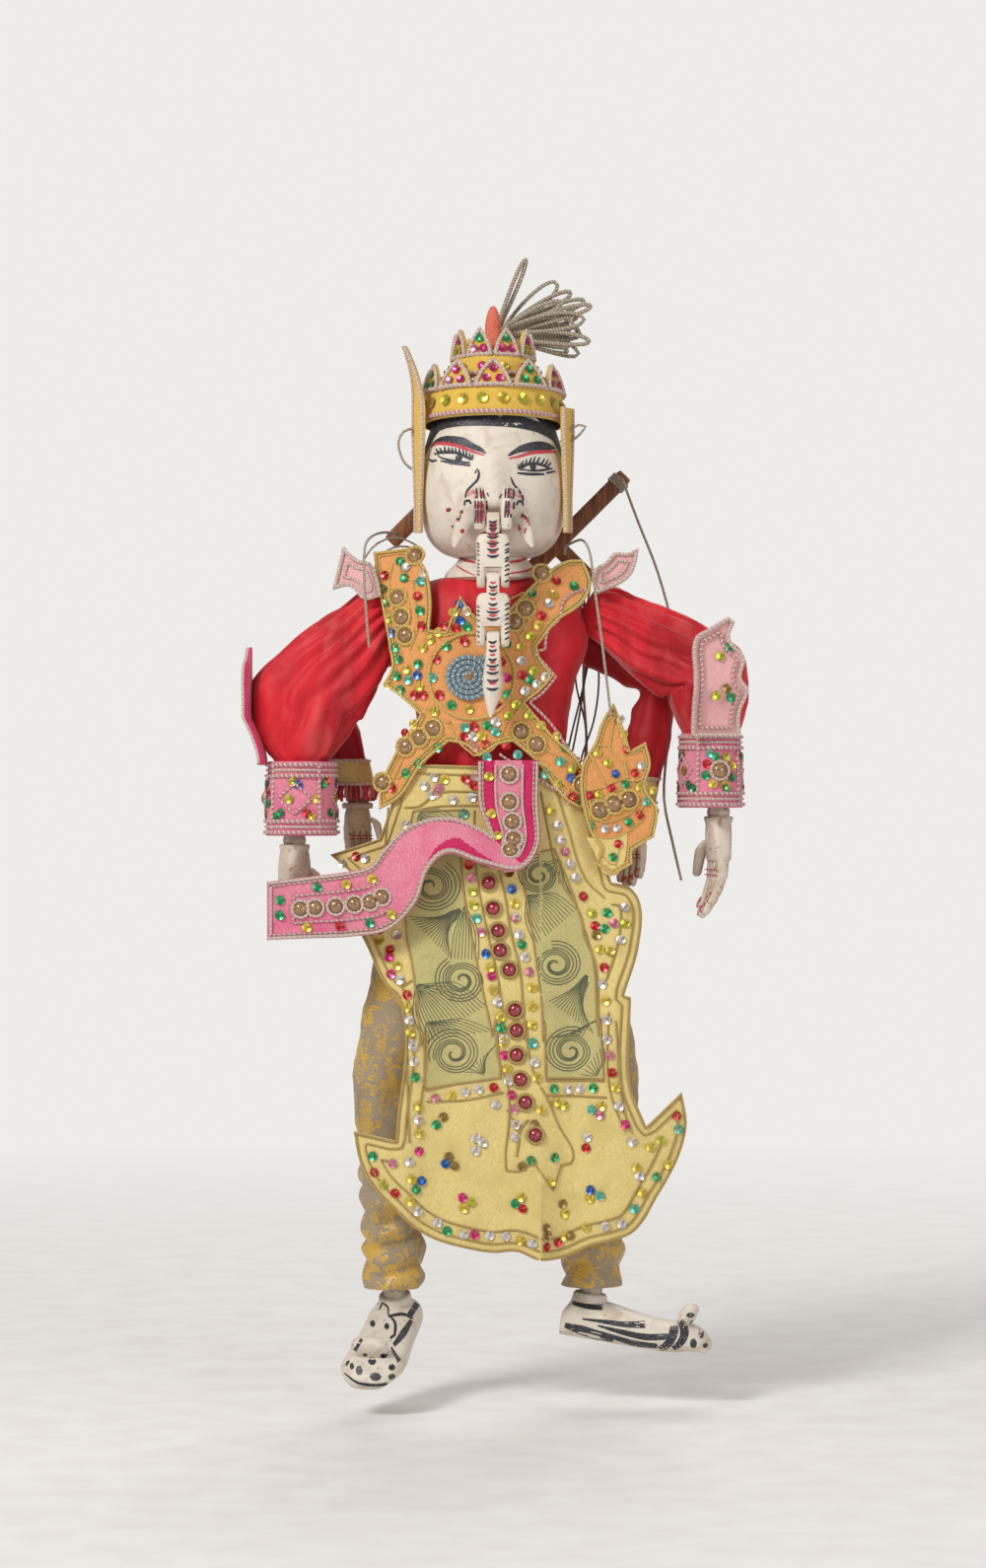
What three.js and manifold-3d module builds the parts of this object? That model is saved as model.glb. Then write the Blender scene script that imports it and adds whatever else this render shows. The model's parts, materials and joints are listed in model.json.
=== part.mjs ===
// A four-armed marionette with an elephant's nose, hanging from its wooden control.
// Millimetres, +Z up. The figure faces -Y, and "left" and "right" are the viewer's.
// Every group stands at its own joint, so a size that changes carries along what hangs from it.
import * as THREE from 'three';
import { mergeVertices } from 'three/addons/utils/BufferGeometryUtils.js';
import Module from 'manifold-3d';

const wasm = await Module();
wasm.setup();

// Fits
const runningGap = 0.8; // wood that turns in or beside wood
const seatGap = 0.3; // pieces that are glued, sewn or tied together
const clothGap = 0.9; // cloth over wood, and cloth beside moving cloth
const feltThickness = 2;
const satinThickness = 1.8;
const brocadeThickness = 2;

// Torso and pelvis, carved wood. The waist axis is the zero of all heights.
const chestHeight = 118;
const chestHalfWidth = 54;
const chestHalfDepth = 31;
const waistHalfWidth = 40;
const waistRoundRadius = 20;
const waistRoundHalfLength = 34;
const pelvisDepthHalf = 24;
const pelvisHalfWidth = 52;
const pelvisHeight = 46;
const hipHeight = -60;
const hipSpread = 34;

// Neck and head
const neckFootRadius = 29;
const neckRadius = 22;
const neckBallHeight = 34; // above the chest's top
const neckBallRadius = 23;
const headHalfWidth = 44.5;
const headHalfDepth = 42;
const headTop = 82; // above the centre of the neck's ball
const jawDepth = 20; // below the centre of the neck's ball

// Nose: a fork on the face, two clevis links and a tip, each on a cross pin
const nosePinRadius = 1.3;
const nosePinOut = 56; // in front of the head's centre
const nosePinDrop = -1; // above the centre of the neck's ball
const noseTongueWidth = 7.4;
const noseTongueRadius = 4.6;
const noseSideGap = 0.6;
const noseForkWidth = 19.5;
const noseLinkDepth = 11.5;
const noseLinkPitch = 34.5;
const noseShoulderDrop = 8.6;
const noseTipLength = 46;
const noseTipBulge = 12.5;

// Crown
const crownBandHeight = 59; // above the centre of the neck's ball
const crownBandRadius = 43;
const crownBandTall = 20;
const crownWall = 2.2;
const crownLean = 4; // degrees, backwards
const crownUpperRadius = 30;
const crownUpperTall = 22;
const crownTopRadius = 22;
const lowerToothTall = 15;
const upperToothTall = 15;
const lowerTeeth = 11;
const upperTeeth = 9;
const spireTall = 30;
const spireRadius = 5;

// Outer arms
const shoulderSpread = 69;
const shoulderHeight = chestHeight - 20;
const shoulderBallRadius = 9;
const sleeveCapRadius = 17;
const upperArmLength = 68;
const foreArmLength = 81;
const armRodRadius = 7;
const armBallRadius = 7;
const sleeveElbowRadius = 20.5;
const cuffHalfWidth = 20;
const cuffHalfDepth = 17.5;
const cuffTall = 44;
const cuffStart = 0.42; // where the cuff begins, as a share of the forearm
const wingTall = 70;
const wingWide = 38;
const wingStands = 11.2; // out from the cuff, clear of the elbow's puff
const handLength = 66;

// Inner arms, behind the outer pair
const innerShoulderSpread = 52;
const innerShoulderHeight = chestHeight - 34;
const innerShoulderBack = 29;
const innerUpperLength = 52;
const innerForeLength = 82;
const innerSleeveRadius = 10.5;
const innerCuffRadius = 12.5;
const innerHandLength = 44;

// Legs
const thighLength = 121;
const shinLength = 127;
const legRodRadius = 8;
const kneeBallRadius = 8.5;
const hipLoopRadius = 7;
const hipCordRadius = 1.6;
const trouserTopRadius = 24;
const trouserKneeRadius = 21;
const trouserHemRadius = 16;
const footLength = 90;
const footHalfWidth = 18;
const footTall = 30;

// Front cloths
const collarFront = 36.6; // how far the collar's back lies in front of the waist axis
const collarCurve = 0.0035; // how it bends round the chest, per millimetre
const apronFront = 33.6;
const apronThickness = 2.4;
const apronBottomFront = 39;
const medallionRadius = 15.4;
const medallionCord = 1.3; // radius of the cord that it is wound from
const medallionPitch = 3.1;

// Control and cords
const controlBarWide = 10;
const controlBarThick = 11;
const controlBack = 70; // its front face, behind the waist axis
const cordRadius = 0.8;
const tuftCordRadius = 0.8;

// How each side hangs in the photograph, in degrees
const hang = {
  left: {
    side: -1,
    armSpread: 38,
    elbowPuff: 33,
    sleeveFull: 6,
    elbowOpens: -16,
    elbowRim: 9,
    foreArmSpread: 5,
    armTurn: 0,
    handTurn: 62,
    fingerCurl: 128,
    innerSpread: 72,
    innerForeSpread: -14,
    innerHandTurn: 35,
    thighSpread: 13,
    shinSpread: -1,
    legTurn: -14,
    footDrop: 20,
  },
  right: {
    side: 1,
    armSpread: 57,
    elbowPuff: 24,
    sleeveFull: 0,
    elbowOpens: 0,
    elbowRim: 1,
    foreArmSpread: 5.6,
    armTurn: -78,
    handTurn: -78,
    fingerCurl: 32,
    innerSpread: 60,
    innerForeSpread: -9,
    innerHandTurn: -35,
    thighSpread: 15,
    shinSpread: -3,
    legTurn: 80,
    footDrop: 8,
  },
};

// Shared colours
const paint = (color, roughness = 0.7, metalness = 0) =>
  new THREE.MeshStandardMaterial({ color, roughness, metalness });
const whitePaint = paint(0xe9e2d6, 0.6);
const bareWood = paint(0x8a5a2c, 0.75);
const redSatin = paint(0xc4161f, 0.4);
const pinkFelt = paint(0xe88ba0, 0.9);
const orangeFelt = paint(0xe0a45c, 0.9);
const yellowFelt = paint(0xe3d283, 0.9);
const crownYellow = paint(0xd9b648, 0.7);
const brocade = paint(0xa98a4a, 0.8);
const cotton = paint(0x9b8b74, 0.95);
const blueCord = paint(0x6f8794, 0.8);
const coral = paint(0xe06a52, 0.8);

// Solid geometry from rings of points, and cuts and joins on closed solids
const v = (x, y, z) => new THREE.Vector3(x, y, z);
const radians = THREE.MathUtils.degToRad;
const { sin, cos, abs, PI, min, max, sign } = Math;

function geometryOf(points, faces) {
  let volume = 0;
  for (const [a, b, c] of faces) {
    volume += points[a].dot(points[b].clone().cross(points[c]));
  }
  const ordered = volume < 0 ? faces.map(([a, b, c]) => [a, c, b]) : faces;
  const geometry = new THREE.BufferGeometry();
  const flat = points.flatMap((p) => [p.x, p.y, p.z]);
  geometry.setAttribute('position', new THREE.Float32BufferAttribute(flat, 3));
  geometry.setIndex(ordered.flat());
  return geometry;
}

// Quads between each ring and the next, as triangles
function sideFaces(first, rings, count, reversed = false) {
  const faces = [];
  for (let r = 0; r + 1 < rings; r += 1) {
    for (let i = 0; i < count; i += 1) {
      const j = (i + 1) % count;
      const a = first + r * count;
      const b = a + count;
      const pair = [
        [a + i, a + j, b + j],
        [a + i, b + j, b + i],
      ];
      faces.push(...(reversed ? pair.map(([p, q, s]) => [p, s, q]) : pair));
    }
  }
  return faces;
}

// A closed solid through rings of equally many points, with flat-fan ends
function loft(rings) {
  const count = rings[0].length;
  const points = rings.flat();
  const faces = sideFaces(0, rings.length, count);
  const last = (rings.length - 1) * count;
  const centre = (ring) => ring.reduce((sum, p) => sum.add(p), v(0, 0, 0)).divideScalar(count);
  points.push(centre(rings[0]), centre(rings.at(-1)));
  for (let i = 0; i < count; i += 1) {
    const j = (i + 1) % count;
    faces.push([points.length - 2, j, i]);
    faces.push([points.length - 1, last + i, last + j]);
  }
  return geometryOf(points, faces);
}

// A hollow tube with a wall, open at both ends
function shell(outer, inner) {
  const count = outer[0].length;
  const points = [...outer.flat(), ...inner.flat()];
  const start = outer.length * count;
  const faces = [
    ...sideFaces(0, outer.length, count),
    ...sideFaces(start, inner.length, count, true),
  ];
  const outerLast = start - count;
  const innerLast = points.length - count;
  for (let i = 0; i < count; i += 1) {
    const j = (i + 1) % count;
    faces.push([i, start + j, j], [i, start + i, start + j]);
    faces.push([outerLast + i, outerLast + j, innerLast + j]);
    faces.push([outerLast + i, innerLast + j, innerLast + i]);
  }
  return geometryOf(points, faces);
}

// A ring round a centre. side and front are its two half-axes; power 2 is an ellipse.
function ring(centre, side, front, count, power = 2, ripple = () => 1) {
  const points = [];
  for (let i = 0; i < count; i += 1) {
    const angle = (i / count) * 2 * PI;
    const c = sign(cos(angle)) * abs(cos(angle)) ** (2 / power);
    const s = sign(sin(angle)) * abs(sin(angle)) ** (2 / power);
    const grow = ripple(angle);
    points.push(centre.clone().addScaledVector(side, c * grow).addScaledVector(front, s * grow));
  }
  return points;
}

const levelRing = (z, halfWidth, halfDepth, count, power = 2, y = 0, ripple = undefined) =>
  ring(v(0, y, z), v(halfWidth, 0, 0), v(0, halfDepth, 0), count, power, ripple);

function solidOf(geometry) {
  const bare = new THREE.BufferGeometry();
  bare.setAttribute('position', geometry.getAttribute('position').clone());
  if (geometry.index) {
    bare.setIndex(geometry.index.clone());
  }
  const merged = mergeVertices(bare, 1e-4);
  const triangles = [];
  const index = merged.index.array;
  for (let i = 0; i < index.length; i += 3) {
    const [a, b, c] = [index[i], index[i + 1], index[i + 2]];
    if (a !== b && b !== c && c !== a) {
      triangles.push(a, b, c);
    }
  }
  const mesh = new wasm.Mesh({
    numProp: 3,
    vertProperties: Float32Array.from(merged.getAttribute('position').array),
    triVerts: Uint32Array.from(triangles),
  });
  return new wasm.Manifold(mesh);
}

// Cuts leave slivers, which are merged within this distance
const sliverSize = 0.04;
function geometryFrom(solid) {
  const mesh = solid.simplify(sliverSize).getMesh();
  const geometry = new THREE.BufferGeometry();
  geometry.setAttribute('position', new THREE.BufferAttribute(mesh.vertProperties, 3));
  geometry.setIndex(new THREE.BufferAttribute(mesh.triVerts, 1));
  return geometry;
}

const join = (...parts) =>
  geometryFrom(parts.map(solidOf).reduce((sum, part) => sum.add(part)));
const carve = (body, ...cutters) =>
  geometryFrom(cutters.map(solidOf).reduce((rest, cutter) => rest.subtract(cutter), solidOf(body)));
const overlap = (a, b) => geometryFrom(solidOf(a).intersect(solidOf(b)));

const box = (wide, deep, tall, at = v(0, 0, 0)) =>
  new THREE.BoxGeometry(wide, deep, tall).translate(at.x, at.y, at.z);

// three's sphere has doubled points at its poles and seam, which solidOf merges
const ball = (radius, at = v(0, 0, 0), around = 8, down = 6) =>
  new THREE.SphereGeometry(radius, around, down).rotateX(PI / 2).translate(at.x, at.y, at.z);

// A faceted ball that stays outside its radius, to cut room for something that turns inside it
const roomyScale = (around, down) => 1 / (cos(PI / around) * cos(PI / (2 * down)));
const roomyBall = (radius, at = v(0, 0, 0), around = 8, down = 6) =>
  ball(radius * roomyScale(around, down), at, around, down);

function rodAlong(axis, radius, length, at = v(0, 0, 0), sides = 16) {
  const rod = new THREE.CylinderGeometry(radius, radius, length, sides);
  if (axis === 'x') {
    rod.rotateZ(PI / 2);
  }
  if (axis === 'z') {
    rod.rotateX(PI / 2);
  }
  return rod.translate(at.x, at.y, at.z);
}

// An upright outline (x, z), extruded along Y from back to front
function prism(outline, from, to) {
  const solid = new THREE.ExtrudeGeometry(outline, {
    depth: abs(to - from),
    bevelEnabled: false,
    curveSegments: 5,
  });
  return solid.rotateX(PI / 2).translate(0, max(from, to), 0);
}

const outlineOf = (points) => new THREE.Shape(points.map(([x, z]) => new THREE.Vector2(x, z)));

// A sheet over an (x, z) field. depthAt gives its back face, and the wall grows towards -Y.
function sheet(xFrom, xTo, zFrom, zTo, columns, rows, depthAt, thickness) {
  const points = [];
  const faces = [];
  const side = (columns + 1) * (rows + 1);
  for (const offset of [0, -thickness]) {
    for (let r = 0; r <= rows; r += 1) {
      for (let c = 0; c <= columns; c += 1) {
        const x = xFrom + ((xTo - xFrom) * c) / columns;
        const z = zFrom + ((zTo - zFrom) * r) / rows;
        points.push(v(x, depthAt(x, z) + offset, z));
      }
    }
  }
  const at = (c, r, layer) => layer * side + r * (columns + 1) + c;
  const quad = (a, b, c, d) => faces.push([a, b, c], [a, c, d]);
  for (let r = 0; r < rows; r += 1) {
    for (let c = 0; c < columns; c += 1) {
      quad(at(c, r, 0), at(c, r + 1, 0), at(c + 1, r + 1, 0), at(c + 1, r, 0));
      quad(at(c, r, 1), at(c + 1, r, 1), at(c + 1, r + 1, 1), at(c, r + 1, 1));
    }
  }
  for (let c = 0; c < columns; c += 1) {
    quad(at(c, 0, 0), at(c + 1, 0, 0), at(c + 1, 0, 1), at(c, 0, 1));
    quad(at(c, rows, 0), at(c, rows, 1), at(c + 1, rows, 1), at(c + 1, rows, 0));
  }
  for (let r = 0; r < rows; r += 1) {
    quad(at(0, r, 0), at(0, r, 1), at(0, r + 1, 1), at(0, r + 1, 0));
    quad(at(columns, r, 0), at(columns, r + 1, 0), at(columns, r + 1, 1), at(columns, r, 1));
  }
  return geometryOf(points, faces);
}

// A cord along a hand-chosen route
function cordAlong(points, radius, steps, sides = 8) {
  const section = new THREE.Shape();
  section.absarc(0, 0, radius, 0, 2 * PI, false);
  const route = new THREE.CatmullRomCurve3(points, false, 'centripetal');
  return new THREE.ExtrudeGeometry(section, {
    steps,
    curveSegments: sides / 2,
    extrudePath: route,
    bevelEnabled: false,
  });
}

// One unbroken tube through many points, for what is wound or looped
function woundTube(points, radius, sides = 6) {
  const rings = [];
  let up = null;
  points.forEach((point, i) => {
    const ahead = points[min(i + 1, points.length - 1)].clone();
    const along = ahead.sub(points[max(i - 1, 0)]).normalize();
    if (!up) {
      up = abs(along.z) < 0.9 ? v(0, 0, 1) : v(1, 0, 0);
    }
    up = up.clone().addScaledVector(along, -up.dot(along)).normalize();
    const side = along.clone().cross(up);
    rings.push(ring(point, side.multiplyScalar(radius), up.clone().multiplyScalar(radius), sides));
  });
  return loft(rings);
}

// The least clear space between turns of one tube, leaving out each point's own neighbours
function leastGap(points, radius, neighbours) {
  let least = Infinity;
  for (let i = 0; i < points.length; i += 1) {
    for (let j = i + neighbours; j < points.length; j += 1) {
      least = min(least, points[i].distanceTo(points[j]));
    }
  }
  return least - 2 * radius;
}

// The scene graph
const figure = new THREE.Group();
figure.name = 'figure';

function jointGroup(name, parent, at) {
  const group = new THREE.Group();
  group.name = name;
  group.position.copy(at);
  parent.add(group);
  return group;
}

function addPiece(parent, name, geometry, material, turn = 0) {
  const mesh = new THREE.Mesh(geometry, material);
  mesh.name = name;
  mesh.rotation.z = radians(turn);
  parent.add(mesh);
  return mesh;
}

// Where a rod of this length ends, hanging down and leaning out to its side
const outAndDown = (side, length, spread, forward = 0) =>
  v(side * length * sin(radians(spread)), -forward, -length * cos(radians(spread)));

const shoulderAt = (side) => v(side * shoulderSpread, -2, shoulderHeight);
const innerShoulderAt = (side) => v(side * innerShoulderSpread, innerShoulderBack, innerShoulderHeight);

// The chest and the jacket are hollowed round each shoulder, so that the sleeve's cap turns freely
const shoulderScoop = sleeveCapRadius + clothGap + satinThickness + seatGap;

// Torso
const chestProfile = [
  [4, waistHalfWidth - 3, chestHalfDepth - 6],
  [30, waistHalfWidth + 2, chestHalfDepth - 3],
  [60, chestHalfWidth - 7, chestHalfDepth],
  [innerShoulderHeight, chestHalfWidth, chestHalfDepth],
  [shoulderHeight + 2, chestHalfWidth - 2, chestHalfDepth - 3],
  [chestHeight - 7, chestHalfWidth - 8, chestHalfDepth - 7],
  [chestHeight, neckFootRadius + 6, chestHalfDepth - 12],
];

const chestRings = (count) => chestProfile.map(([z, a, b]) => levelRing(z, a, b, count, 2.4));

const neckSeatRadius = (neckRadius / 2 + seatGap) / cos(PI / 10);

function chestBlock() {
  const waistHollow = rodAlong('x', waistRoundRadius + runningGap, 4 * chestHalfWidth, v(0, 0, 0), 16);
  const scoops = [-1, 1].flatMap((side) => [
    roomyBall(shoulderScoop, shoulderAt(side), 12, 8),
    roomyBall(innerSleeveRadius + clothGap, innerShoulderAt(side), 10, 6),
  ]);
  const neckSeat = rodAlong('z', neckSeatRadius, 20, v(0, 0, chestHeight), 10);
  return carve(loft(chestRings(16)), waistHollow, neckSeat, ...scoops);
}

// The jacket covers the chest, and its shoulders lie over the tops of the sleeves
function jacket() {
  const folds = (lift) => (angle) => 1 + lift * cos(7 * angle + 1.1);
  const sizes = [[-9, waistHalfWidth + 4, chestHalfDepth - 3], ...chestProfile.slice(1)];
  const count = 18;
  const outer = sizes.map(([z, a, b], i) => {
    const grow = clothGap + satinThickness;
    return levelRing(z, a + grow, b + grow, count, 2.4, 0, folds(i < 3 ? 0.012 : 0));
  });
  const inner = sizes.map(([z, a, b]) => levelRing(z, a + clothGap, b + clothGap, count, 2.4));
  const shoulders = [-1, 1].map((side) => {
    const at = shoulderAt(side);
    const cap = carve(
      roomyBall(sleeveCapRadius + clothGap + satinThickness, at, 12, 8),
      roomyBall(sleeveCapRadius + clothGap, at, 12, 8),
    );
    const keep = box(30, 60, 30, v(side * (shoulderSpread - 16), 0, shoulderHeight + 22));
    return overlap(cap, keep);
  });
  const armholes = [-1, 1].flatMap((side) => [
    roomyBall(sleeveCapRadius + clothGap, shoulderAt(side), 12, 8),
    roomyBall(innerSleeveRadius + clothGap, innerShoulderAt(side), 10, 6),
  ]);
  return carve(join(shell(outer, inner), ...shoulders), ...armholes);
}

// The felt breastplate: two shoulder straps, an eight-pointed star and two long legs
const collarPoints = [
  [-71, 135], [-50, 137], [-40, 125], [-36, 105], [-37, 88], [-28, 87], [-23, 99], [-19, 108],
  [-13, 99], [-7, 94], [3, 94], [12, 103], [28, 119], [43, 129], [53, 130], [58, 116], [52, 103],
  [38, 93], [26, 78], [28, 71], [36, 61], [28, 52], [19, 45], [35, 26], [51, 10], [56, -6],
  [52, -18], [42, -12], [26, 9], [12, 22], [3, 20], [-8, 13], [-17, 20], [-26, 22], [-41, 9],
  [-55, -11], [-67, -18], [-67, -6], [-58, 15], [-43, 38], [-55, 49], [-65, 56], [-58, 68],
  [-56, 75], [-61, 99], [-67, 116],
];
const collarStandsFrom = 100; // above this height the straps lean back over the shoulders
const collarDepth = (x, z) =>
  -collarFront + collarCurve * x * x + 0.35 * max(0, z - collarStandsFrom);

function collar() {
  const felt = sheet(-74, 62, -20, 140, 10, 12, collarDepth, feltThickness);
  return overlap(felt, prism(outlineOf(collarPoints), -80, 20));
}

// The rosette: one cord wound flat from the middle outwards, lying on the felt
const medallionAt = v(-14.5, 0, 60.4);
function medallionRoute() {
  const points = [];
  const turns = (medallionRadius - medallionCord - 1.5) / medallionPitch;
  const steps = Math.round(turns * 14);
  for (let i = 0; i <= steps; i += 1) {
    const angle = ((i / steps) * turns + 0.1) * 2 * PI;
    const reach = 1.5 + (i / steps) * turns * medallionPitch;
    const x = medallionAt.x + reach * cos(angle);
    const z = medallionAt.z + reach * sin(angle);
    const lie = feltThickness + seatGap + medallionCord + 0.25;
    points.push(v(x, collarDepth(x, z) - lie, z));
  }
  return points;
}

// Pink wings that stand out over the shoulders
const flapPoints = {
  left: [[-95, 112], [-89, 138], [-80, 130], [-73, 128], [-68, 118], [-66, 108], [-76, 106], [-85, 114]],
  right: [[61, 109], [81, 120], [87, 138], [80, 134], [72, 134], [66, 128], [60, 124], [58.6, 117]],
};
const flapFront = 24;

function shoulderFlap(points) {
  const spread = points.map(([x]) => x);
  const lean = (x, z) => -flapFront + 0.25 * (z - 106) + 0.15 * (abs(x) - 60);
  const felt = sheet(min(...spread) - 2, max(...spread) + 2, 102, 140, 5, 6, lean, feltThickness);
  return overlap(felt, prism(outlineOf(points), -60, 20));
}

// Pelvis, with its rounded top in the chest's hollow and two hip loops below
const apronPoints = [
  [-52, 9], [52, 6], [61, -28], [70, -61], [81, -64], [87, -73], [86, -98], [77, -127], [81, -128],
  [81, -180], [90, -204], [111, -184], [114, -203], [110, -220], [101, -238], [96, -246], [88, -260],
  [81, -267], [70, -271], [58, -274], [42, -281], [28, -282], [14, -277], [0, -278], [-18, -275],
  [-35, -270], [-48, -262], [-58, -252], [-70, -240], [-78, -226], [-82, -207], [-57, -212],
  [-56, -128], [-63, -121], [-74, -99], [-80, -86], [-81, -72], [-76, -62], [-97, -45], [-67, -35],
];
const apronHang = (z) => THREE.MathUtils.smoothstep(-z, 10, 150);
const creaseX = 28;

function apronDepth(x, z) {
  const low = apronHang(z);
  const round = 0.0036 * x * x * (1 - 0.9 * low);
  const folds = low * (2.2 * sin(x / 11 + 0.4) + 1.2 * sin(x / 6.3 - z / 60));
  const crease = 5 * THREE.MathUtils.smoothstep(-z, 200, 270) * max(0, 1 - abs(x - creaseX) / 14);
  return -apronFront - (apronBottomFront - apronFront) * low + round - folds - crease;
}

function apron() {
  const wide = apronPoints.map(([x]) => x);
  const tall = apronPoints.map(([, z]) => z);
  const spare = 2;
  const cloth = sheet(
    min(...wide) - spare, max(...wide) + spare, min(...tall) - spare, max(...tall) + spare,
    18, 12, apronDepth, apronThickness,
  );
  return overlap(cloth, prism(outlineOf(apronPoints), -90, 40));
}

// Each leg hangs by a cord ring in the hole of a wooden tab, which stands in a hollow of the pelvis
const hipEye = hipCordRadius + runningGap;
const hipTabThick = 5;

function pelvisBlock() {
  const body = loft([
    levelRing(0, waistRoundHalfLength, pelvisDepthHalf - 8, 16, 2.6),
    levelRing(-12, waistRoundHalfLength + 6, pelvisDepthHalf - 4, 16, 2.6),
    levelRing(-30, pelvisHalfWidth - 1, pelvisDepthHalf, 16, 2.6),
    levelRing(-pelvisHeight, pelvisHalfWidth - 6, pelvisDepthHalf - 6, 16, 2.6),
  ]);
  const round = rodAlong('x', waistRoundRadius, 2 * waistRoundHalfLength, v(0, 0, 0), 20);
  const hips = [-1, 1].map((side) => v(side * hipSpread, 0, hipHeight));
  const hollows = hips.map((at) => roomyBall(trouserTopRadius + clothGap, at, 14, 8));
  const tabTall = trouserTopRadius + 6;
  const tabs = hips.flatMap((at) => [
    box(hipTabThick, 2 * hipEye + 4, tabTall, v(at.x, at.y, at.z + tabTall / 2)),
    rodAlong('x', hipEye + 3.4, hipTabThick, at, 12),
  ]);
  const holes = hips.map((at) => rodAlong('x', hipEye / cos(PI / 8), 3 * hipTabThick, at, 8));
  return carve(join(carve(join(body, round), ...hollows), ...tabs), ...holes);
}

// The sash: a felt ribbon that falls from under the collar, twists and ends in a square tab
const sashRoute = [
  { at: v(9, -41, 11), half: v(18, 0, 0) },
  { at: v(9, -42.5, -14), half: v(17.5, 0, 0) },
  { at: v(12, -45, -34), half: v(15, -3, -5) },
  { at: v(7, -49, -44), half: v(8, -5, -9) },
  { at: v(-8, -50, -39), half: v(1, -5, -10) },
  { at: v(-26, -50, -33), half: v(0, -5, -10) },
  { at: v(-43, -50, -40), half: v(5, -4, -13) },
  { at: v(-54, -50, -56), half: v(9, -3, -16) },
  { at: v(-66, -50, -69), half: v(5, 0, -19) },
  { at: v(-84, -50.5, -73), half: v(1, 0, -19) },
  { at: v(-108, -51, -75), half: v(0, 0, -18) },
  { at: v(-132, -51.5, -77), half: v(0, 0, -17) },
];

function ribbon(route, thickness, steps) {
  const middle = new THREE.CatmullRomCurve3(route.map((s) => s.at));
  const halves = new THREE.CatmullRomCurve3(route.map((s) => s.half));
  const rings = [];
  for (let i = 0; i <= steps; i += 1) {
    const t = i / steps;
    const centre = middle.getPoint(t);
    const half = halves.getPoint(t);
    const out = half.clone().cross(middle.getTangent(t)).normalize().multiplyScalar(thickness / 2);
    const row = [];
    for (const across of [-1, -0.33, 0.33, 1]) {
      row.push(centre.clone().addScaledVector(half, across).add(out));
    }
    for (const across of [1, 0.33, -0.33, -1]) {
      row.push(centre.clone().addScaledVector(half, across).sub(out));
    }
    rings.push(row);
  }
  return loft(rings);
}

const hipOrnamentPoints = [
  [52, 7], [60, 22], [64, 34], [71, 45], [76, 33], [81, 17], [90, 22], [93, 9], [90, -5], [97, -17],
  [95, -34], [82, -42], [82, -50], [70, -57], [60, -50], [63, -41], [56, -29],
];
function hipOrnament() {
  const lie = (x) => -33.2 + 0.16 * (x - 52);
  const felt = sheet(50, 99, -59, 47, 5, 8, lie, feltThickness);
  return overlap(felt, prism(outlineOf(hipOrnamentPoints), -70, 20));
}

const torso = figure;
addPiece(torso, 'chest_block', chestBlock(), bareWood);
addPiece(torso, 'jacket', jacket(), redSatin);
addPiece(torso, 'collar', collar(), orangeFelt);
const medallionPath = medallionRoute();
addPiece(torso, 'medallion_coil', woundTube(medallionPath, medallionCord), blueCord);
console.log('medallion least gap, mm:', leastGap(medallionPath, medallionCord, 8).toFixed(2));
addPiece(torso, 'shoulder_flap_left', shoulderFlap(flapPoints.left), pinkFelt);
addPiece(torso, 'shoulder_flap_right', shoulderFlap(flapPoints.right), pinkFelt);

const pelvis = jointGroup('waist', torso, v(0, 0, 0));
addPiece(pelvis, 'pelvis_block', pelvisBlock(), bareWood);
addPiece(pelvis, 'apron', apron(), yellowFelt);
addPiece(pelvis, 'sash', ribbon(sashRoute, feltThickness, 26), pinkFelt);
addPiece(pelvis, 'hip_ornament', hipOrnament(), orangeFelt);

// Neck: a flared foot on the chest, a peg in it and a ball in the head
function neckBlock() {
  const points = [
    [0, -8], [neckRadius / 2, -8], [neckRadius / 2, seatGap], [neckFootRadius, seatGap],
    [neckFootRadius, 3], [neckRadius + 2, 9], [neckRadius - 3, 17],
  ];
  const from = -Math.acos((neckRadius - 5) / neckBallRadius);
  const steps = 6;
  for (let i = 0; i <= steps; i += 1) {
    const angle = from + ((PI / 2 - from) * i) / steps;
    points.push([max(0, neckBallRadius * cos(angle)), neckBallHeight + neckBallRadius * sin(angle)]);
  }
  points[points.length - 1][0] = 0;
  const profile = points.map(([r, z]) => new THREE.Vector2(r, z));
  return new THREE.LatheGeometry(profile, 14).rotateX(PI / 2);
}
const neck = jointGroup('neck_turn', torso, v(0, 0, chestHeight));
addPiece(neck, 'neck_block', neckBlock(), whitePaint);

// Head, with the nose fork and the two tusks carved on it
const head = jointGroup('head_nod', neck, v(0, 0, neckBallHeight));
const headProfile = [
  [-jawDepth, 0.5, 0.52, 0], [-jawDepth + 3, 0.68, 0.72, 0], [-9, 0.86, 0.9, 0], [4, 0.96, 0.98, 0],
  [18, 1, 1, 0], [36, 0.97, 1, 1], [54, 0.86, 0.93, 2], [64, 0.77, 0.84, 2], [72, 0.65, 0.71, 2],
  [79, 0.42, 0.46, 2], [headTop, 0.15, 0.17, 2],
];
const nosePin = v(0, -nosePinOut, nosePinDrop);

function noseFork() {
  const bridge = loft([
    ring(v(0, -30, 40), v(3, 0, 0), v(0, 10, 0), 10),
    ring(v(0, -32, 28), v(6, 0, 0), v(0, 14, 0), 10),
    ring(v(0, -34, 17), v(11, 0, 0), v(0, 18, 0), 10),
    ring(v(0, -34, 10), v(12, 0, 0), v(0, 20, 0), 10),
  ]);
  const armDepth = noseLinkDepth - 1;
  const arms = box(noseForkWidth + 3, 24, 14, v(0, -nosePinOut + 12 - armDepth / 2, nosePin.z + 7));
  const tips = rodAlong('x', armDepth / 2, noseForkWidth + 3, nosePin, 12);
  return [bridge, arms, tips];
}

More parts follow.
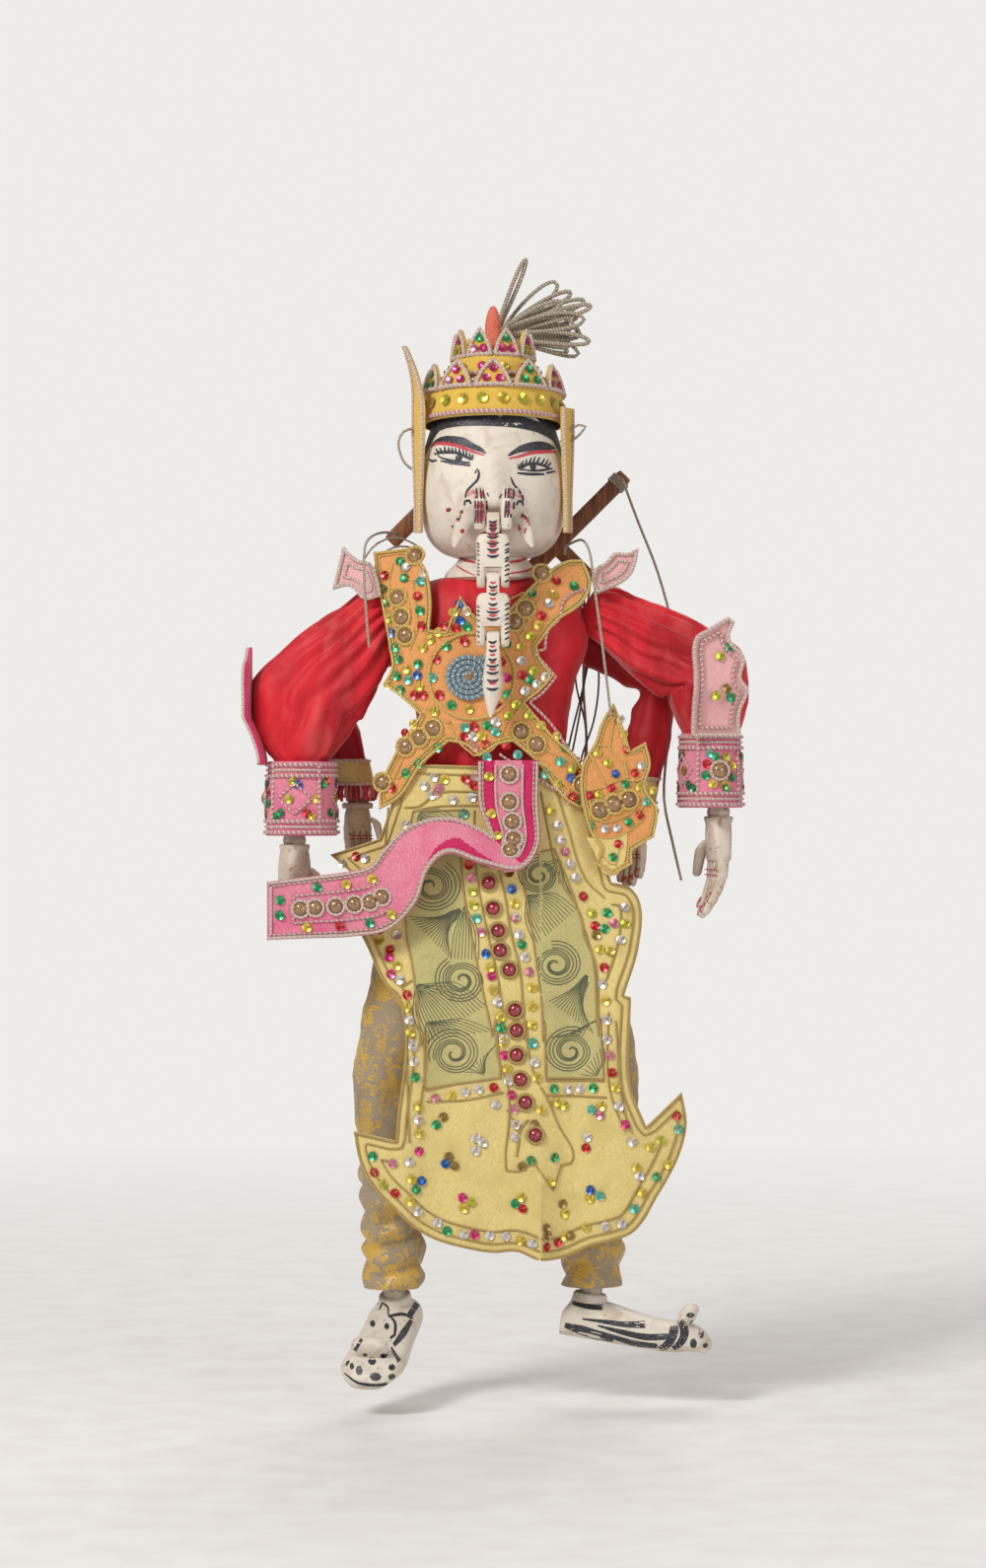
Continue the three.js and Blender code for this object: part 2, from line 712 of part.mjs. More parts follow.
function tuskSolid(side) {
  return loft([
    ring(v(side * 14, -36, 4), v(4.5, 0, 0), v(0, 4, 2), 8),
    ring(v(side * 17, -43, -1), v(4, 0, 1), v(0, 3, 3), 8),
    ring(v(side * 20, -47, -7), v(2.8, 0, 1), v(0, 2, 2.4), 8),
    ring(v(side * 22.5, -48, -13), v(0.8, 0, 0.3), v(0, 0.8, 0.6), 8),
  ]);
}

function headBlock() {
  const skull = loft(headProfile.map(([z, a, b, y]) =>
    levelRing(z, a * headHalfWidth, b * headHalfDepth, 18, 2.15, y)));
  const slot = noseTongueWidth + 2 * noseSideGap;
  const fork = noseFork();
  const hollow = roomyBall(neckBallRadius + runningGap, v(0, 0, 0), 14, 7);
  const throat = new THREE.CylinderGeometry(neckRadius + 2, neckRadius + 10, 30, 14)
    .rotateX(PI / 2).translate(0, 0, -jawDepth - 5);
  const slotAt = v(0, -nosePinOut - 3, nosePin.z - 4);
  const slotCut = box(slot, 18, 2 * (noseTongueRadius + 1.2) + 10, slotAt);
  const body = join(skull, ...fork, tuskSolid(-1), tuskSolid(1));
  return join(
    carve(body, hollow, throat, slotCut),
    rodAlong('x', nosePinRadius, slot + 2, nosePin, 8),
  );
}
addPiece(head, 'head_block', headBlock(), whitePaint);

// Nose links. Each hangs by its tongue and carries the next in its fork.
function sideProfile(points, width) {
  const outline = new THREE.Shape(points.map(([y, z]) => new THREE.Vector2(y, z)));
  const solid = new THREE.ExtrudeGeometry(outline, { depth: width, bevelEnabled: false });
  // The outline's x and y become Y and Z, and the extrusion becomes X
  solid.applyMatrix4(new THREE.Matrix4().makeBasis(v(0, 1, 0), v(0, 0, 1), v(1, 0, 0)));
  return solid.translate(-width / 2, 0, 0);
}

function noseTongue(front) {
  const plate = sideProfile(
    [[-noseTongueRadius, 0], [noseTongueRadius, 0], [front - 1, -noseShoulderDrop - 3], [1 - front, -noseShoulderDrop - 3]],
    noseTongueWidth,
  );
  return [plate, rodAlong('x', noseTongueRadius, noseTongueWidth, v(0, 0, 0), 12)];
}

function noseLink() {
  const half = noseLinkDepth / 2;
  const foot = -noseLinkPitch;
  const block = loft([
    ring(v(0, 0, -noseShoulderDrop), v(noseForkWidth / 2 - 2, 0, 0), v(0, half - 1, 0), 12, 4),
    ring(v(0, 0, -noseShoulderDrop - 3), v(noseForkWidth / 2, 0, 0), v(0, half, 0), 12, 4),
    ring(v(0, 0, foot + 6), v(noseForkWidth / 2 - 0.5, 0, 0), v(0, half - 0.4, 0), 12, 4),
    ring(v(0, 0, foot), v(noseForkWidth / 2 - 1, 0, 0), v(0, half - 1, 0), 12, 4),
  ]);
  const ends = rodAlong('x', half - 1, noseForkWidth - 2, v(0, 0, foot), 12);
  const slot = noseTongueWidth + 2 * noseSideGap;
  const slotTall = noseTongueRadius + 1.4;
  const slotCut = box(slot, 2 * noseLinkDepth, slotTall + 20, v(0, 0, foot + slotTall - (slotTall + 20) / 2));
  const hole = rodAlong('x', nosePinRadius + 0.5, 2 * noseForkWidth, v(0, 0, 0), 8);
  const body = carve(join(block, ends, ...noseTongue(half)), slotCut, hole);
  return join(body, rodAlong('x', nosePinRadius, slot + 2, v(0, 0, foot), 8));
}

function noseTip() {
  const half = noseLinkDepth / 2;
  const bulge = noseTipBulge / 2;
  const body = loft([
    ring(v(0, 0, -noseShoulderDrop + 2), v(4, 0, 0), v(0, half - 1.4, 0), 12, 3),
    ring(v(0, 0, -14), v(4.6, 0, 0), v(0, half - 1, 0), 12, 3),
    ring(v(0, 0, -24), v(bulge, 0, 0), v(0, half - 0.6, 0), 12, 2.4),
    ring(v(-0.5, -0.6, -34), v(bulge - 1.4, 0, 0), v(0, half - 2, 0), 12),
    ring(v(-1.5, -1.6, -noseTipLength), v(0.8, 0, 0), v(0, 0.8, 0), 12),
  ]);
  const hole = rodAlong('x', nosePinRadius + 0.5, 2 * noseForkWidth, v(0, 0, 0), 8);
  return carve(join(body, ...noseTongue(half)), hole);
}
const nose1 = jointGroup('nose_root', head, nosePin);
addPiece(nose1, 'nose_link_1', noseLink(), whitePaint);
const nose2 = jointGroup('nose_mid', nose1, v(0, 0, -noseLinkPitch));
addPiece(nose2, 'nose_link_2', noseLink(), whitePaint);
const nose3 = jointGroup('nose_end', nose2, v(0, 0, -noseLinkPitch));
addPiece(nose3, 'nose_tip', noseTip(), whitePaint);

// Crown: a band, a stepped upper tier and two rows of leaf points, all one stiff shell
function crownTooth(radius, width, tall, height, angle, lean) {
  const leaf = new THREE.Shape();
  leaf.moveTo(-width / 2, -3);
  leaf.lineTo(width / 2, -3);
  leaf.quadraticCurveTo(width / 2.6, tall * 0.45, 0, tall);
  leaf.quadraticCurveTo(-width / 2.6, tall * 0.45, -width / 2, -3);
  const tooth = new THREE.ExtrudeGeometry(leaf, { depth: crownWall, bevelEnabled: false, curveSegments: 2 });
  tooth.rotateX(PI / 2).translate(0, crownWall, 0);
  tooth.rotateX(radians(-lean)).translate(0, -radius, height).rotateZ(angle);
  return tooth;
}

function crownShell() {
  const top = crownBandTall + crownUpperTall;
  const profile = [
    [crownBandRadius - crownWall, 0], [crownBandRadius, 0], [crownBandRadius - 2, crownBandTall],
    [crownUpperRadius + 1, crownBandTall + 4], [crownTopRadius, top], [0, top], [0, top - crownWall],
    [crownTopRadius - crownWall, top - crownWall], [crownUpperRadius - crownWall, crownBandTall + 1],
    [crownBandRadius - 2 - crownWall, crownBandTall - 2], [crownBandRadius - crownWall, 0],
  ].map(([r, z]) => new THREE.Vector2(r, z));
  const parts = [new THREE.LatheGeometry(profile, 20).rotateX(PI / 2)];
  const lowerWide = (2 * PI * crownBandRadius) / lowerTeeth - 1.5;
  const upperWide = (2 * PI * crownTopRadius) / upperTeeth + 1;
  for (let i = 0; i < lowerTeeth; i += 1) {
    const angle = (i * 2 * PI) / lowerTeeth;
    parts.push(crownTooth(crownBandRadius - 1.6, lowerWide, lowerToothTall, crownBandTall, angle, 16));
  }
  for (let i = 0; i < upperTeeth; i += 1) {
    const angle = ((i + 0.5) * 2 * PI) / upperTeeth;
    parts.push(crownTooth(crownTopRadius + 1, upperWide, upperToothTall, top - 1, angle, 6));
  }
  return join(...parts);
}

const crownSeat = new THREE.Group();
crownSeat.position.set(0, 2, crownBandHeight);
crownSeat.rotation.x = -radians(crownLean);
head.add(crownSeat);
addPiece(crownSeat, 'crown', crownShell(), crownYellow);
const spireBase = crownBandTall + crownUpperTall + seatGap;
const spireProfile = [[0, 0], [9, 0], [8, 6], [spireRadius, 10], [spireRadius - 0.8, 20], [1.4, spireTall], [0, spireTall]]
  .map(([r, z]) => new THREE.Vector2(r, z + spireBase));
addPiece(crownSeat, 'crown_spire', new THREE.LatheGeometry(spireProfile, 10).rotateX(PI / 2), coral);

// Ear flaps hang from the crown's rim, broad face outwards. The left one curls up into a horn.
const earFlapHalfWidth = 8;
const earFlapForward = 25; // degrees round the head, towards the face
const earFlapThickness = 2.2;
const earFlapBottom = -6;
const hornTop = 104;
const hornFrom = 68;

function earFlap(side, top) {
  const rings = [];
  const steps = 9;
  const reach = crownBandRadius + 4 + earFlapThickness / 2;
  const round = radians(earFlapForward);
  const out = v(side * cos(round), -sin(round), 0);
  const along = v(side * sin(round), cos(round), 0);
  for (let i = 0; i <= steps; i += 1) {
    const z = earFlapBottom + ((top - earFlapBottom) * i) / steps;
    const horn = max(0, (z - hornFrom) / (hornTop - hornFrom));
    const tail = min(1, 0.4 + (z - earFlapBottom) / 20);
    const wide = earFlapHalfWidth * tail * (1 - 0.9 * horn);
    const curl = 9 * horn * horn;
    const centre = out.clone().multiplyScalar(reach + curl).add(v(0, 2, z));
    const thick = out.clone().multiplyScalar(earFlapThickness / 2);
    rings.push(ring(centre, thick, along.clone().multiplyScalar(wide), 8, 3));
  }
  return loft(rings);
}
addPiece(head, 'ear_flap_left', earFlap(-1, hornTop), yellowFelt);
addPiece(head, 'ear_flap_right', earFlap(1, hornFrom), yellowFelt);

// The head's spare cord: a hank of loops tied behind the spire, in one unbroken length
const tuftLoops = [
  { reach: 52, rise: 9, wide: 6.5, lean: -2 },
  { reach: 46, rise: 6, wide: 6, lean: 3 },
  { reach: 50, rise: 1, wide: 6, lean: 8 },
  { reach: 44, rise: -5, wide: 5.5, lean: 13 },
  { reach: 49, rise: -10, wide: 6, lean: 18 },
  { reach: 36, rise: 31, wide: 8, lean: -7 },
];
const tuftStart = v(3, 20, crownBandHeight + crownBandTall + crownUpperTall + 15);

function tuftRoute() {
  const points = [];
  tuftLoops.forEach((loop, n) => {
    const steps = 14;
    for (let i = 0; i < steps; i += 1) {
      const t = (i / steps) * 2 * PI;
      const out = (1 - cos(t)) / 2;
      const side = sin(t) * loop.wide * (0.4 + 0.6 * out);
      const layer = n + i / steps;
      const x = tuftStart.x + out * loop.reach;
      const y = tuftStart.y + layer * 2.6 + loop.lean * 0.2 * out;
      const z = tuftStart.z + out * loop.rise + side + 8 * out * (1 - out);
      points.push(v(x, y, z));
    }
  });
  return points;
}
const tuftPath = tuftRoute();
addPiece(head, 'string_tuft', woundTube(tuftPath, tuftCordRadius), cotton);
console.log('tuft least gap, mm:', leastGap(tuftPath, tuftCordRadius, 6).toFixed(2));

// Arms. A ball on each rod's end runs in a shallow cup on the next one.
function rodBetween(from, to, start, end, sides = 8) {
  const along = to.clone().sub(from);
  const side = v(0, 1, 0).cross(along).normalize();
  const front = along.clone().cross(side).normalize();
  const count = 3;
  const rings = [];
  for (let i = 0; i < count; i += 1) {
    const t = i / (count - 1);
    const radius = THREE.MathUtils.lerp(start, end, t) * (1 + 0.12 * sin(PI * t));
    const centre = from.clone().lerp(to, t);
    rings.push(ring(centre, side.clone().multiplyScalar(radius), front.clone().multiplyScalar(radius), sides));
  }
  return loft(rings);
}

const stepAlong = (vector, distance) => vector.clone().setLength(distance);

// A limb of wood: a shallow cup at the top, a ball at the bottom
function cuppedRod(to, radius, ballRadius, cupRadius) {
  const rimFrom = stepAlong(to, cupRadius * 0.5);
  const rimTo = stepAlong(to, cupRadius + 8);
  const cup = rodBetween(rimFrom, rimTo, cupRadius + 2.4, radius);
  const rod = rodBetween(stepAlong(to, cupRadius + 5), to, radius, radius * 0.8);
  const hollow = roomyBall(cupRadius + runningGap);
  return carve(join(rod, cup, ball(ballRadius, to)), hollow);
}

// The shoulder's stopper knot: a ball in the arm's head with its cord running to the chest
const knotRadius = 4;
const knotCordRadius = 2.2;
function shoulderKnot(side) {
  const reach = shoulderScoop - runningGap;
  const cord = rodAlong('x', knotCordRadius, reach, v((-side * reach) / 2, 0, 0), 8);
  return join(ball(knotRadius), cord);
}

function upperArm(side, to) {
  const knot = roomyBall(knotRadius + runningGap);
  const way = rodAlong('x', knotCordRadius + runningGap, 30, v(-side * 15, 0, 0), 8);
  const rod = rodBetween(v(0, 0, 0), to, armRodRadius, armRodRadius * 0.8);
  return carve(join(ball(shoulderBallRadius), rod, ball(armBallRadius, to)), knot, way);
}

// A cloth tube round a limb that hangs in the upright plane, given ring by ring
function clothTube(stations, thickness, count, gathers) {
  const outer = [];
  const inner = [];
  stations.forEach(({ at, wide, deep, tilt, fold = 0 }, n) => {
    const side = v(cos(tilt), 0, sin(tilt));
    const front = v(0, 1, 0);
    const ripple = (angle) => 1 + fold * cos(gathers * angle + n * 0.9);
    outer.push(ring(at, side.clone().multiplyScalar(wide), front.clone().multiplyScalar(deep), count, 2, ripple));
    const thin = (half) => half - thickness;
    inner.push(ring(at, side.clone().multiplyScalar(thin(wide)), front.multiplyScalar(thin(deep)), count, 2, ripple));
  });
  return shell(outer, inner);
}

// The elbow's puff is round about its hinge, and the hinge turns with the arm
const elbowBall = (at, grow, puff, turn) =>
  new THREE.SphereGeometry(roomyScale(14, 9), 14, 9)
    .scale(puff + grow, sleeveElbowRadius + grow, sleeveElbowRadius + grow)
    .rotateZ(radians(turn))
    .translate(at.x, at.y, at.z);

// What is cut away under a sleeve's or trouser's end, higher on the side to which the joint bends
function openBelow(at, height, lean, turn) {
  return box(160, 160, 80, v(0, 0, height - 40))
    .rotateX(radians(lean))
    .rotateZ(radians(turn))
    .translate(at.x, at.y, at.z);
}

// The upper sleeve puffs out from the cap and ends in a hollow that takes the elbow's puff
function upperSleeve(side, to, pose) {
  const tilt = side * radians(pose.armSpread);
  const stations = [[0, 17, 17], [0.2, 19, 18.4], [0.45, 22.5, 19.5], [0.8, 24, 20], [0.97, 23, 20]]
    .map(([t, wide, deep]) => ({
      at: to.clone().multiplyScalar(t),
      wide: wide + pose.sleeveFull * t,
      deep,
      tilt,
      fold: 0.05 * min(t, 0.5),
    }));
  const tube = clothTube(stations, satinThickness, 14, 4);
  return carve(
    tube,
    elbowBall(to, clothGap, pose.elbowPuff, pose.armTurn),
    openBelow(to, 5, pose.elbowOpens, 0),
  );
}

// The lower sleeve begins near the elbow's widest and narrows to the cuff
function lowerSleeve(to, pose) {
  const outer = [];
  const inner = [];
  const count = 16;
  const turn = radians(pose.armTurn);
  const place = (centre, wide, deep, folds) => {
    const side = v(cos(turn), sin(turn), 0);
    const front = v(-sin(turn), cos(turn), 0);
    const row = (thin) =>
      ring(centre, side.clone().multiplyScalar(wide - thin), front.clone().multiplyScalar(deep - thin), count, 2, folds);
    outer.push(row(0));
    inner.push(row(satinThickness));
  };
  for (const angle of [pose.elbowRim, -14]) {
    const shrink = cos(radians(angle));
    const height = sleeveElbowRadius * sin(radians(angle));
    place(v(0, 0, height), pose.elbowPuff * shrink, sleeveElbowRadius * shrink);
  }
  const cuffTop = to.clone().multiplyScalar(cuffStart + 1 / foreArmLength);
  for (const t of [0.4, 0.72, 1]) {
    const wide = THREE.MathUtils.lerp(pose.elbowPuff, cuffHalfWidth - feltThickness - 1.2, t);
    const deep = THREE.MathUtils.lerp(sleeveElbowRadius, cuffHalfDepth - feltThickness - 1.2, t);
    place(cuffTop.clone().multiplyScalar(t), wide, deep, (angle) => 1 + 0.035 * cos(6 * angle + 2 * t) * (1 - t * t));
  }
  return shell(outer, inner);
}

// Cuff of felt with a flame wing that stands up its outer side
const wingPoints = [
  [-18, 0], [-19, 36], [-18, 58], [-10, 63], [2, wingTall], [6, 67], [3, 58], [12, 46], [10, 34],
  [14, 28], [11, 14], [12, 0],
];
function cuff(side) {
  const round = (z, grow) => levelRing(z, cuffHalfWidth + grow, cuffHalfDepth + grow, 16, 2.1);
  const flare = 1.2;
  const band = shell(
    [round(0, 0), round(-cuffTall / 2, 0.6), round(-cuffTall, flare)],
    [round(0, -feltThickness), round(-cuffTall / 2, 0.6 - feltThickness), round(-cuffTall, flare - feltThickness)],
  );
  const out = side * (cuffHalfWidth + wingStands);
  const wing = prism(outlineOf(wingPoints.map(([x, z]) => [(x * wingWide) / 33, z])), 0, feltThickness);
  wing.rotateZ(PI / 2).translate(out, 0, -2);
  const tab = box(wingStands + 2, 12, 12, v((side * (2 * cuffHalfWidth + wingStands)) / 2, 0, -8));
  return join(band, wing, tab);
}

// Hands: a palm with a cup at the wrist, four fingers that curl together, and a thumb
function finger(x, width, lengths, curl, base) {
  const rings = [];
  let at = v(x, 0, base);
  let angle = curl * 0.12;
  let before = angle;
  lengths.forEach((length, i) => {
    const bend = radians((angle + before) / 2);
    const thick = 3.9 - i * 0.5;
    const across = v(width / 2, 0, 0);
    rings.push(ring(at, across, v(0, cos(bend), -sin(bend)).multiplyScalar(thick), 6, 2.6));
    at = at.clone().add(v(0, -length * sin(radians(angle)), -length * cos(radians(angle))));
    before = angle;
    angle += curl * 0.44;
  });
  const last = radians(before);
  rings.push(ring(at, v(width / 2.3, 0, 0), v(0, cos(last), -sin(last)).multiplyScalar(2.4), 6, 2.6));
  return loft(rings);
}

const fingerLengths = [[13, 11, 8], [15, 13, 9], [14, 12, 9], [11, 10, 7]];
function hand(side, length, curl) {
  const scale = length / 66;
  const palm = length * 0.42;
  const hollow = roomyBall(armBallRadius + runningGap);
  const block = loft([
    levelRing(-3.5, 9.2, 8.6, 10, 2.4),
    levelRing(-11, 9 * scale, 7 * scale, 10, 3),
    levelRing(-palm * 0.5, 12 * scale, 6.5 * scale, 10, 3.4),
    levelRing(-palm, 13.2 * scale, 5.6 * scale, 10, 4),
  ]);
  const fingers = fingerLengths.map((set, i) => {
    const x = side * (-9.9 + 6.6 * i) * scale;
    return finger(x, 6.1 * scale, set.map((l) => l * scale), curl, -palm + 1.5);
  });
  const thumb = loft([
    ring(v(-side * 9 * scale, -3, -palm * 0.6), v(3.8, 0, 0), v(0, 3.8, 0), 6, 3),
    ring(v(-side * 14 * scale, -7, -palm * 0.8), v(3.6, 0, 0), v(0, 3.6, 0), 6, 3),
    ring(v(-side * 15.5 * scale, -9, -palm * 1.35), v(2.8, 0, 0), v(0, 2.6, 0), 6, 3),
  ]);
  return carve(join(block, thumb, ...fingers), hollow);
}

for (const [name, pose] of Object.entries(hang)) {
  const { side } = pose;
  const elbowTo = outAndDown(side, upperArmLength, pose.armSpread, 6);
  const wristTo = outAndDown(side, foreArmLength, pose.foreArmSpread, 4);
  const raise = jointGroup(`shoulder_raise_${name}`, torso, shoulderAt(side));
  addPiece(raise, `shoulder_knot_${name}`, shoulderKnot(side), cotton);
  const upper = jointGroup(`shoulder_swing_${name}`, raise, v(0, 0, 0));
  addPiece(upper, `upper_arm_${name}`, upperArm(side, elbowTo), bareWood);
  addPiece(upper, `upper_sleeve_${name}`, upperSleeve(side, elbowTo, pose), redSatin);
  const elbow = jointGroup(`elbow_${name}`, upper, elbowTo);
  addPiece(elbow, `forearm_${name}`, cuppedRod(wristTo, armRodRadius - 1, armBallRadius, armBallRadius), bareWood);
  addPiece(elbow, `lower_sleeve_${name}`, lowerSleeve(wristTo, pose), redSatin);
  const cuffPiece = addPiece(elbow, `cuff_${name}`, cuff(side), pinkFelt, pose.armTurn);
  cuffPiece.position.copy(wristTo.clone().multiplyScalar(cuffStart));
  const wrist = jointGroup(`wrist_${name}`, elbow, wristTo);
  addPiece(wrist, `hand_${name}`, hand(side, handLength, pose.fingerCurl), whitePaint, pose.handTurn);
}

// Inner arms hang behind the outer pair: padded sleeves with a yellow cuff and a bare hand
const innerElbowRadius = 8.6;
function paddedSleeve(to, radius) {
  const rod = rodBetween(v(0, 0, 0), to, radius, innerElbowRadius - 0.6, 8);
  return join(ball(radius), rod, ball(innerElbowRadius, to));
}

function innerForearm(to) {
  const part = (t) => to.clone().multiplyScalar(t);
  const sleeve = rodBetween(part(0.12), part(0.66), innerElbowRadius - 2.6, innerSleeveRadius, 8);
  const band = rodBetween(part(0.6), part(0.9), innerCuffRadius, innerCuffRadius - 0.5, 10);
  const wristRod = rodBetween(part(0.85), to, 5, 5, 6);
  const seat = roomyBall(innerElbowRadius + runningGap);
  return carve(join(sleeve, band, wristRod, ball(armBallRadius, to)), seat);
}

for (const [name, pose] of Object.entries(hang)) {
  const { side } = pose;
  const elbowTo = outAndDown(side, innerUpperLength, pose.innerSpread);
  const wristTo = outAndDown(side, innerForeLength, pose.innerForeSpread, 9);
  const upper = jointGroup(`inner_shoulder_${name}`, torso, innerShoulderAt(side));
  addPiece(upper, `inner_upper_arm_${name}`, paddedSleeve(elbowTo, innerSleeveRadius), redSatin);
  const elbow = jointGroup(`inner_elbow_${name}`, upper, elbowTo);
  addPiece(elbow, `inner_forearm_${name}`, innerForearm(wristTo), redSatin);
  const wrist = jointGroup(`inner_wrist_${name}`, elbow, wristTo);
  addPiece(wrist, `inner_hand_${name}`, hand(side, innerHandLength, 20), whitePaint, pose.innerHandTurn);
}

// A ring of cord under the pelvis carries each leg, and its knot sits in the thigh's head
const hipKnotDrop = 26; // below the hip's axis
const hipKnotRadius = 3.4;
function hipCord() {
  const loop = new THREE.TorusGeometry(hipLoopRadius, hipCordRadius, 6, 12);
  loop.rotateX(PI / 2).translate(0, 0, -hipLoopRadius);
  const stemTall = hipKnotDrop - 2 * hipLoopRadius;
  const stem = rodAlong('z', hipCordRadius, stemTall, v(0, 0, -2 * hipLoopRadius - stemTall / 2), 8);
  return join(loop, stem, ball(hipKnotRadius, v(0, 0, -hipKnotDrop)));
}

function thigh(to) {
  const head = v(0, 0, -hipKnotDrop);
  const wood = join(
    ball(legRodRadius + 0.5, head),
    rodBetween(head, to, legRodRadius - 1, legRodRadius * 0.8),
    ball(kneeBallRadius, to),
  );
  const knot = roomyBall(hipKnotRadius + runningGap, head);
  const way = rodAlong('z', hipCordRadius + runningGap, 2 * legRodRadius, v(0, 0, head.z + legRodRadius), 8);
  return carve(wood, knot, way);
}

const legTube = (stations, count, gathers) => clothTube(stations, brocadeThickness, count, gathers);

function thighTrouser(to, turn) {
  const stations = [];
  for (const angle of [27, 14, 0]) {
    const reach = trouserTopRadius * cos(radians(angle));
    stations.push({ at: v(0, 0, trouserTopRadius * sin(radians(angle))), wide: reach, deep: reach, tilt: 0 });
  }
  for (const [t, wide, deep, fold] of [[0.35, 25, 23, 0.03], [0.7, 25, 22, 0.035], [0.93, 23, 21.5, 0.02]]) {
    stations.push({ at: to.clone().multiplyScalar(t), wide, deep, tilt: 0, fold });
  }
  const knee = roomyBall(trouserKneeRadius + clothGap, to, 14, 9);
  return carve(legTube(stations, 14, 4), knee, openBelow(to, 5, 20, turn));
}

function shinTrouser(to) {
  const stations = [];
  for (const angle of [9, -14]) {
    const reach = trouserKneeRadius * cos(radians(angle));
    stations.push({ at: v(0, 0, trouserKneeRadius * sin(radians(angle))), wide: reach, deep: reach, tilt: 0 });
  }
  const folds = 5;
  for (let i = 1; i <= folds; i += 1) {
    const t = 0.22 + (0.72 * i) / folds;
    const reach = THREE.MathUtils.lerp(trouserKneeRadius, trouserHemRadius, t) + (i % 2 ? 1.4 : -1.2);
    stations.push({ at: to.clone().multiplyScalar(t), wide: reach, deep: reach, tilt: (i % 2 ? 0.14 : -0.1), fold: 0.02 });
  }
  return legTube(stations, 14, 4);
}

// Foot in its own frame: the ankle's cup on top, toes towards -Y
function foot() {
  const heel = footLength * 0.16;
  const toe = -(footLength - heel);
  const sole = -footTall;
  const stations = [
    [heel, 0.55, 0.5], [heel - 6, 0.8, 0.74], [-8, 0.86, 0.8], [-26, 0.9, 0.66],
    [-44, 1, 0.6], [toe + 12, 0.98, 0.5], [toe + 4, 0.74, 0.36], [toe, 0.4, 0.2],
  ];
  const rings = stations.map(([y, wide, tall]) => {
    const half = (footTall * tall) / 2;
    const lift = y < -60 ? 3 : 0;
    return ring(v(0, y, sole + half + lift), v(footHalfWidth * wide, 0, 0), v(0, 0, half), 12, 2.6);
  });
  const ankle = loft([levelRing(-3.5, 9.5, 10, 10), levelRing(-14, 11, 12, 10), levelRing(-22, 12, 15, 10)]);
  const bow = [
    ring(v(0, toe + 20, sole + 16), v(9, 0, 0), v(0, 4, 1), 8),
    ring(v(0, toe + 17, sole + 24), v(11, 0, 0), v(0, 5, 2), 8),
    ring(v(0, toe + 13, sole + 29), v(7, 0, 0), v(0, 3, 1), 8),
  ];
  return carve(join(loft(rings), ankle, loft(bow)), roomyBall(armBallRadius + runningGap));
}

for (const [name, pose] of Object.entries(hang)) {
  const { side } = pose;
  const kneeTo = outAndDown(side, thighLength, pose.thighSpread);
  const ankleTo = outAndDown(side, shinLength, pose.shinSpread);
  const swing = jointGroup(`hip_swing_${name}`, pelvis, v(side * hipSpread, 0, hipHeight));
  addPiece(swing, `hip_cord_${name}`, hipCord(), cotton);
  const turn = jointGroup(`hip_turn_${name}`, swing, v(0, 0, 0));
  addPiece(turn, `thigh_${name}`, thigh(kneeTo), bareWood);
  addPiece(turn, `trouser_thigh_${name}`, thighTrouser(kneeTo, pose.legTurn), brocade);
  const knee = jointGroup(`knee_${name}`, turn, kneeTo);
  addPiece(knee, `shin_${name}`, cuppedRod(ankleTo, legRodRadius - 1, armBallRadius, kneeBallRadius), bareWood);
  addPiece(knee, `trouser_shin_${name}`, shinTrouser(ankleTo), brocade);
  const ankle = jointGroup(`ankle_${name}`, knee, ankleTo);
  const footPiece = addPiece(ankle, `foot_${name}`, foot(), whitePaint);
  footPiece.rotation.set(radians(pose.footDrop), 0, radians(pose.legTurn), 'ZXY');
}

// The control: two parallel bars halved on to a grip, tied behind the shoulders and tilted
const controlTilt = 45;
const controlAt = v(13, controlBack, 170);
const barSpacing = 73;
const gripFrom = -45;
const gripTo = 68;
const leftBar = { from: -71, to: 14 };
const rightBar = { from: -48, to: 60 };
const lapDepth = 4;

const control = new THREE.Group();
control.position.copy(controlAt);
control.rotation.y = radians(controlTilt);
torso.add(control);

// Each cross bar lies in front of the grip, let into it by the depth of the lap
function gripBar() {
  const length = gripTo - gripFrom;
  const grip = box(length, controlBarThick, controlBarWide, v((gripFrom + gripTo) / 2, controlBarThick / 2, 0));
  const laps = [-1, 1].map((side) =>
    box(controlBarWide + 2 * seatGap, 2 * lapDepth, 2 * controlBarWide, v((side * barSpacing) / 2, 0, 0)));
  return carve(grip, ...laps);
}

function crossBar(side, span) {
  const length = span.to - span.from;
  const middle = (span.from + span.to) / 2;
  const x = (side * barSpacing) / 2;
  const front = lapDepth - seatGap - controlBarThick / 2;
  return box(controlBarWide, controlBarThick, length, v(x, front, middle));
}
addPiece(control, 'control_grip', gripBar(), bareWood);
addPiece(control, 'control_bar_left', crossBar(-1, leftBar), bareWood);
addPiece(control, 'control_bar_right', crossBar(1, rightBar), bareWood);

// Strings, with routes chosen by hand: from the control, over the shoulders, to what they move
const stringRoutes = {
  string_shoulder: [
    v(-58, 60, 150), v(-62, 46, 150), v(-67, 26, 149), v(-73, 4, 145), v(-76, -18, 137),
    v(-76, -32, 121), v(-75, -35, 104), v(-74, -34, 90), v(-73, -32, 78),
  ],
  string_hip: [
    v(44, 60, 138), v(44, 44, 141), v(49, 20, 143), v(54, -6, 142), v(57.5, -28, 132),
    v(59.5, -37, 114), v(63, -39, 88), v(66.5, -39, 60), v(69.5, -36, 36),
  ],
  string_back: [
    v(60, 67, 124), v(58, 61, 106), v(56, 53, 84), v(55, 43, 56), v(56.5, 30, 26), v(56, 18, 2),
    v(54.5, 9, -24),
  ],
  string_hand: [
    v(79, 57, 184), v(88, 60, 160), v(101, 57, 126), v(110, 51, 88), v(110, 42, 48), v(105, 32, 14),
    v(103, 20, -12), v(107, 4, -36), v(112, -8, -60),
  ],
};
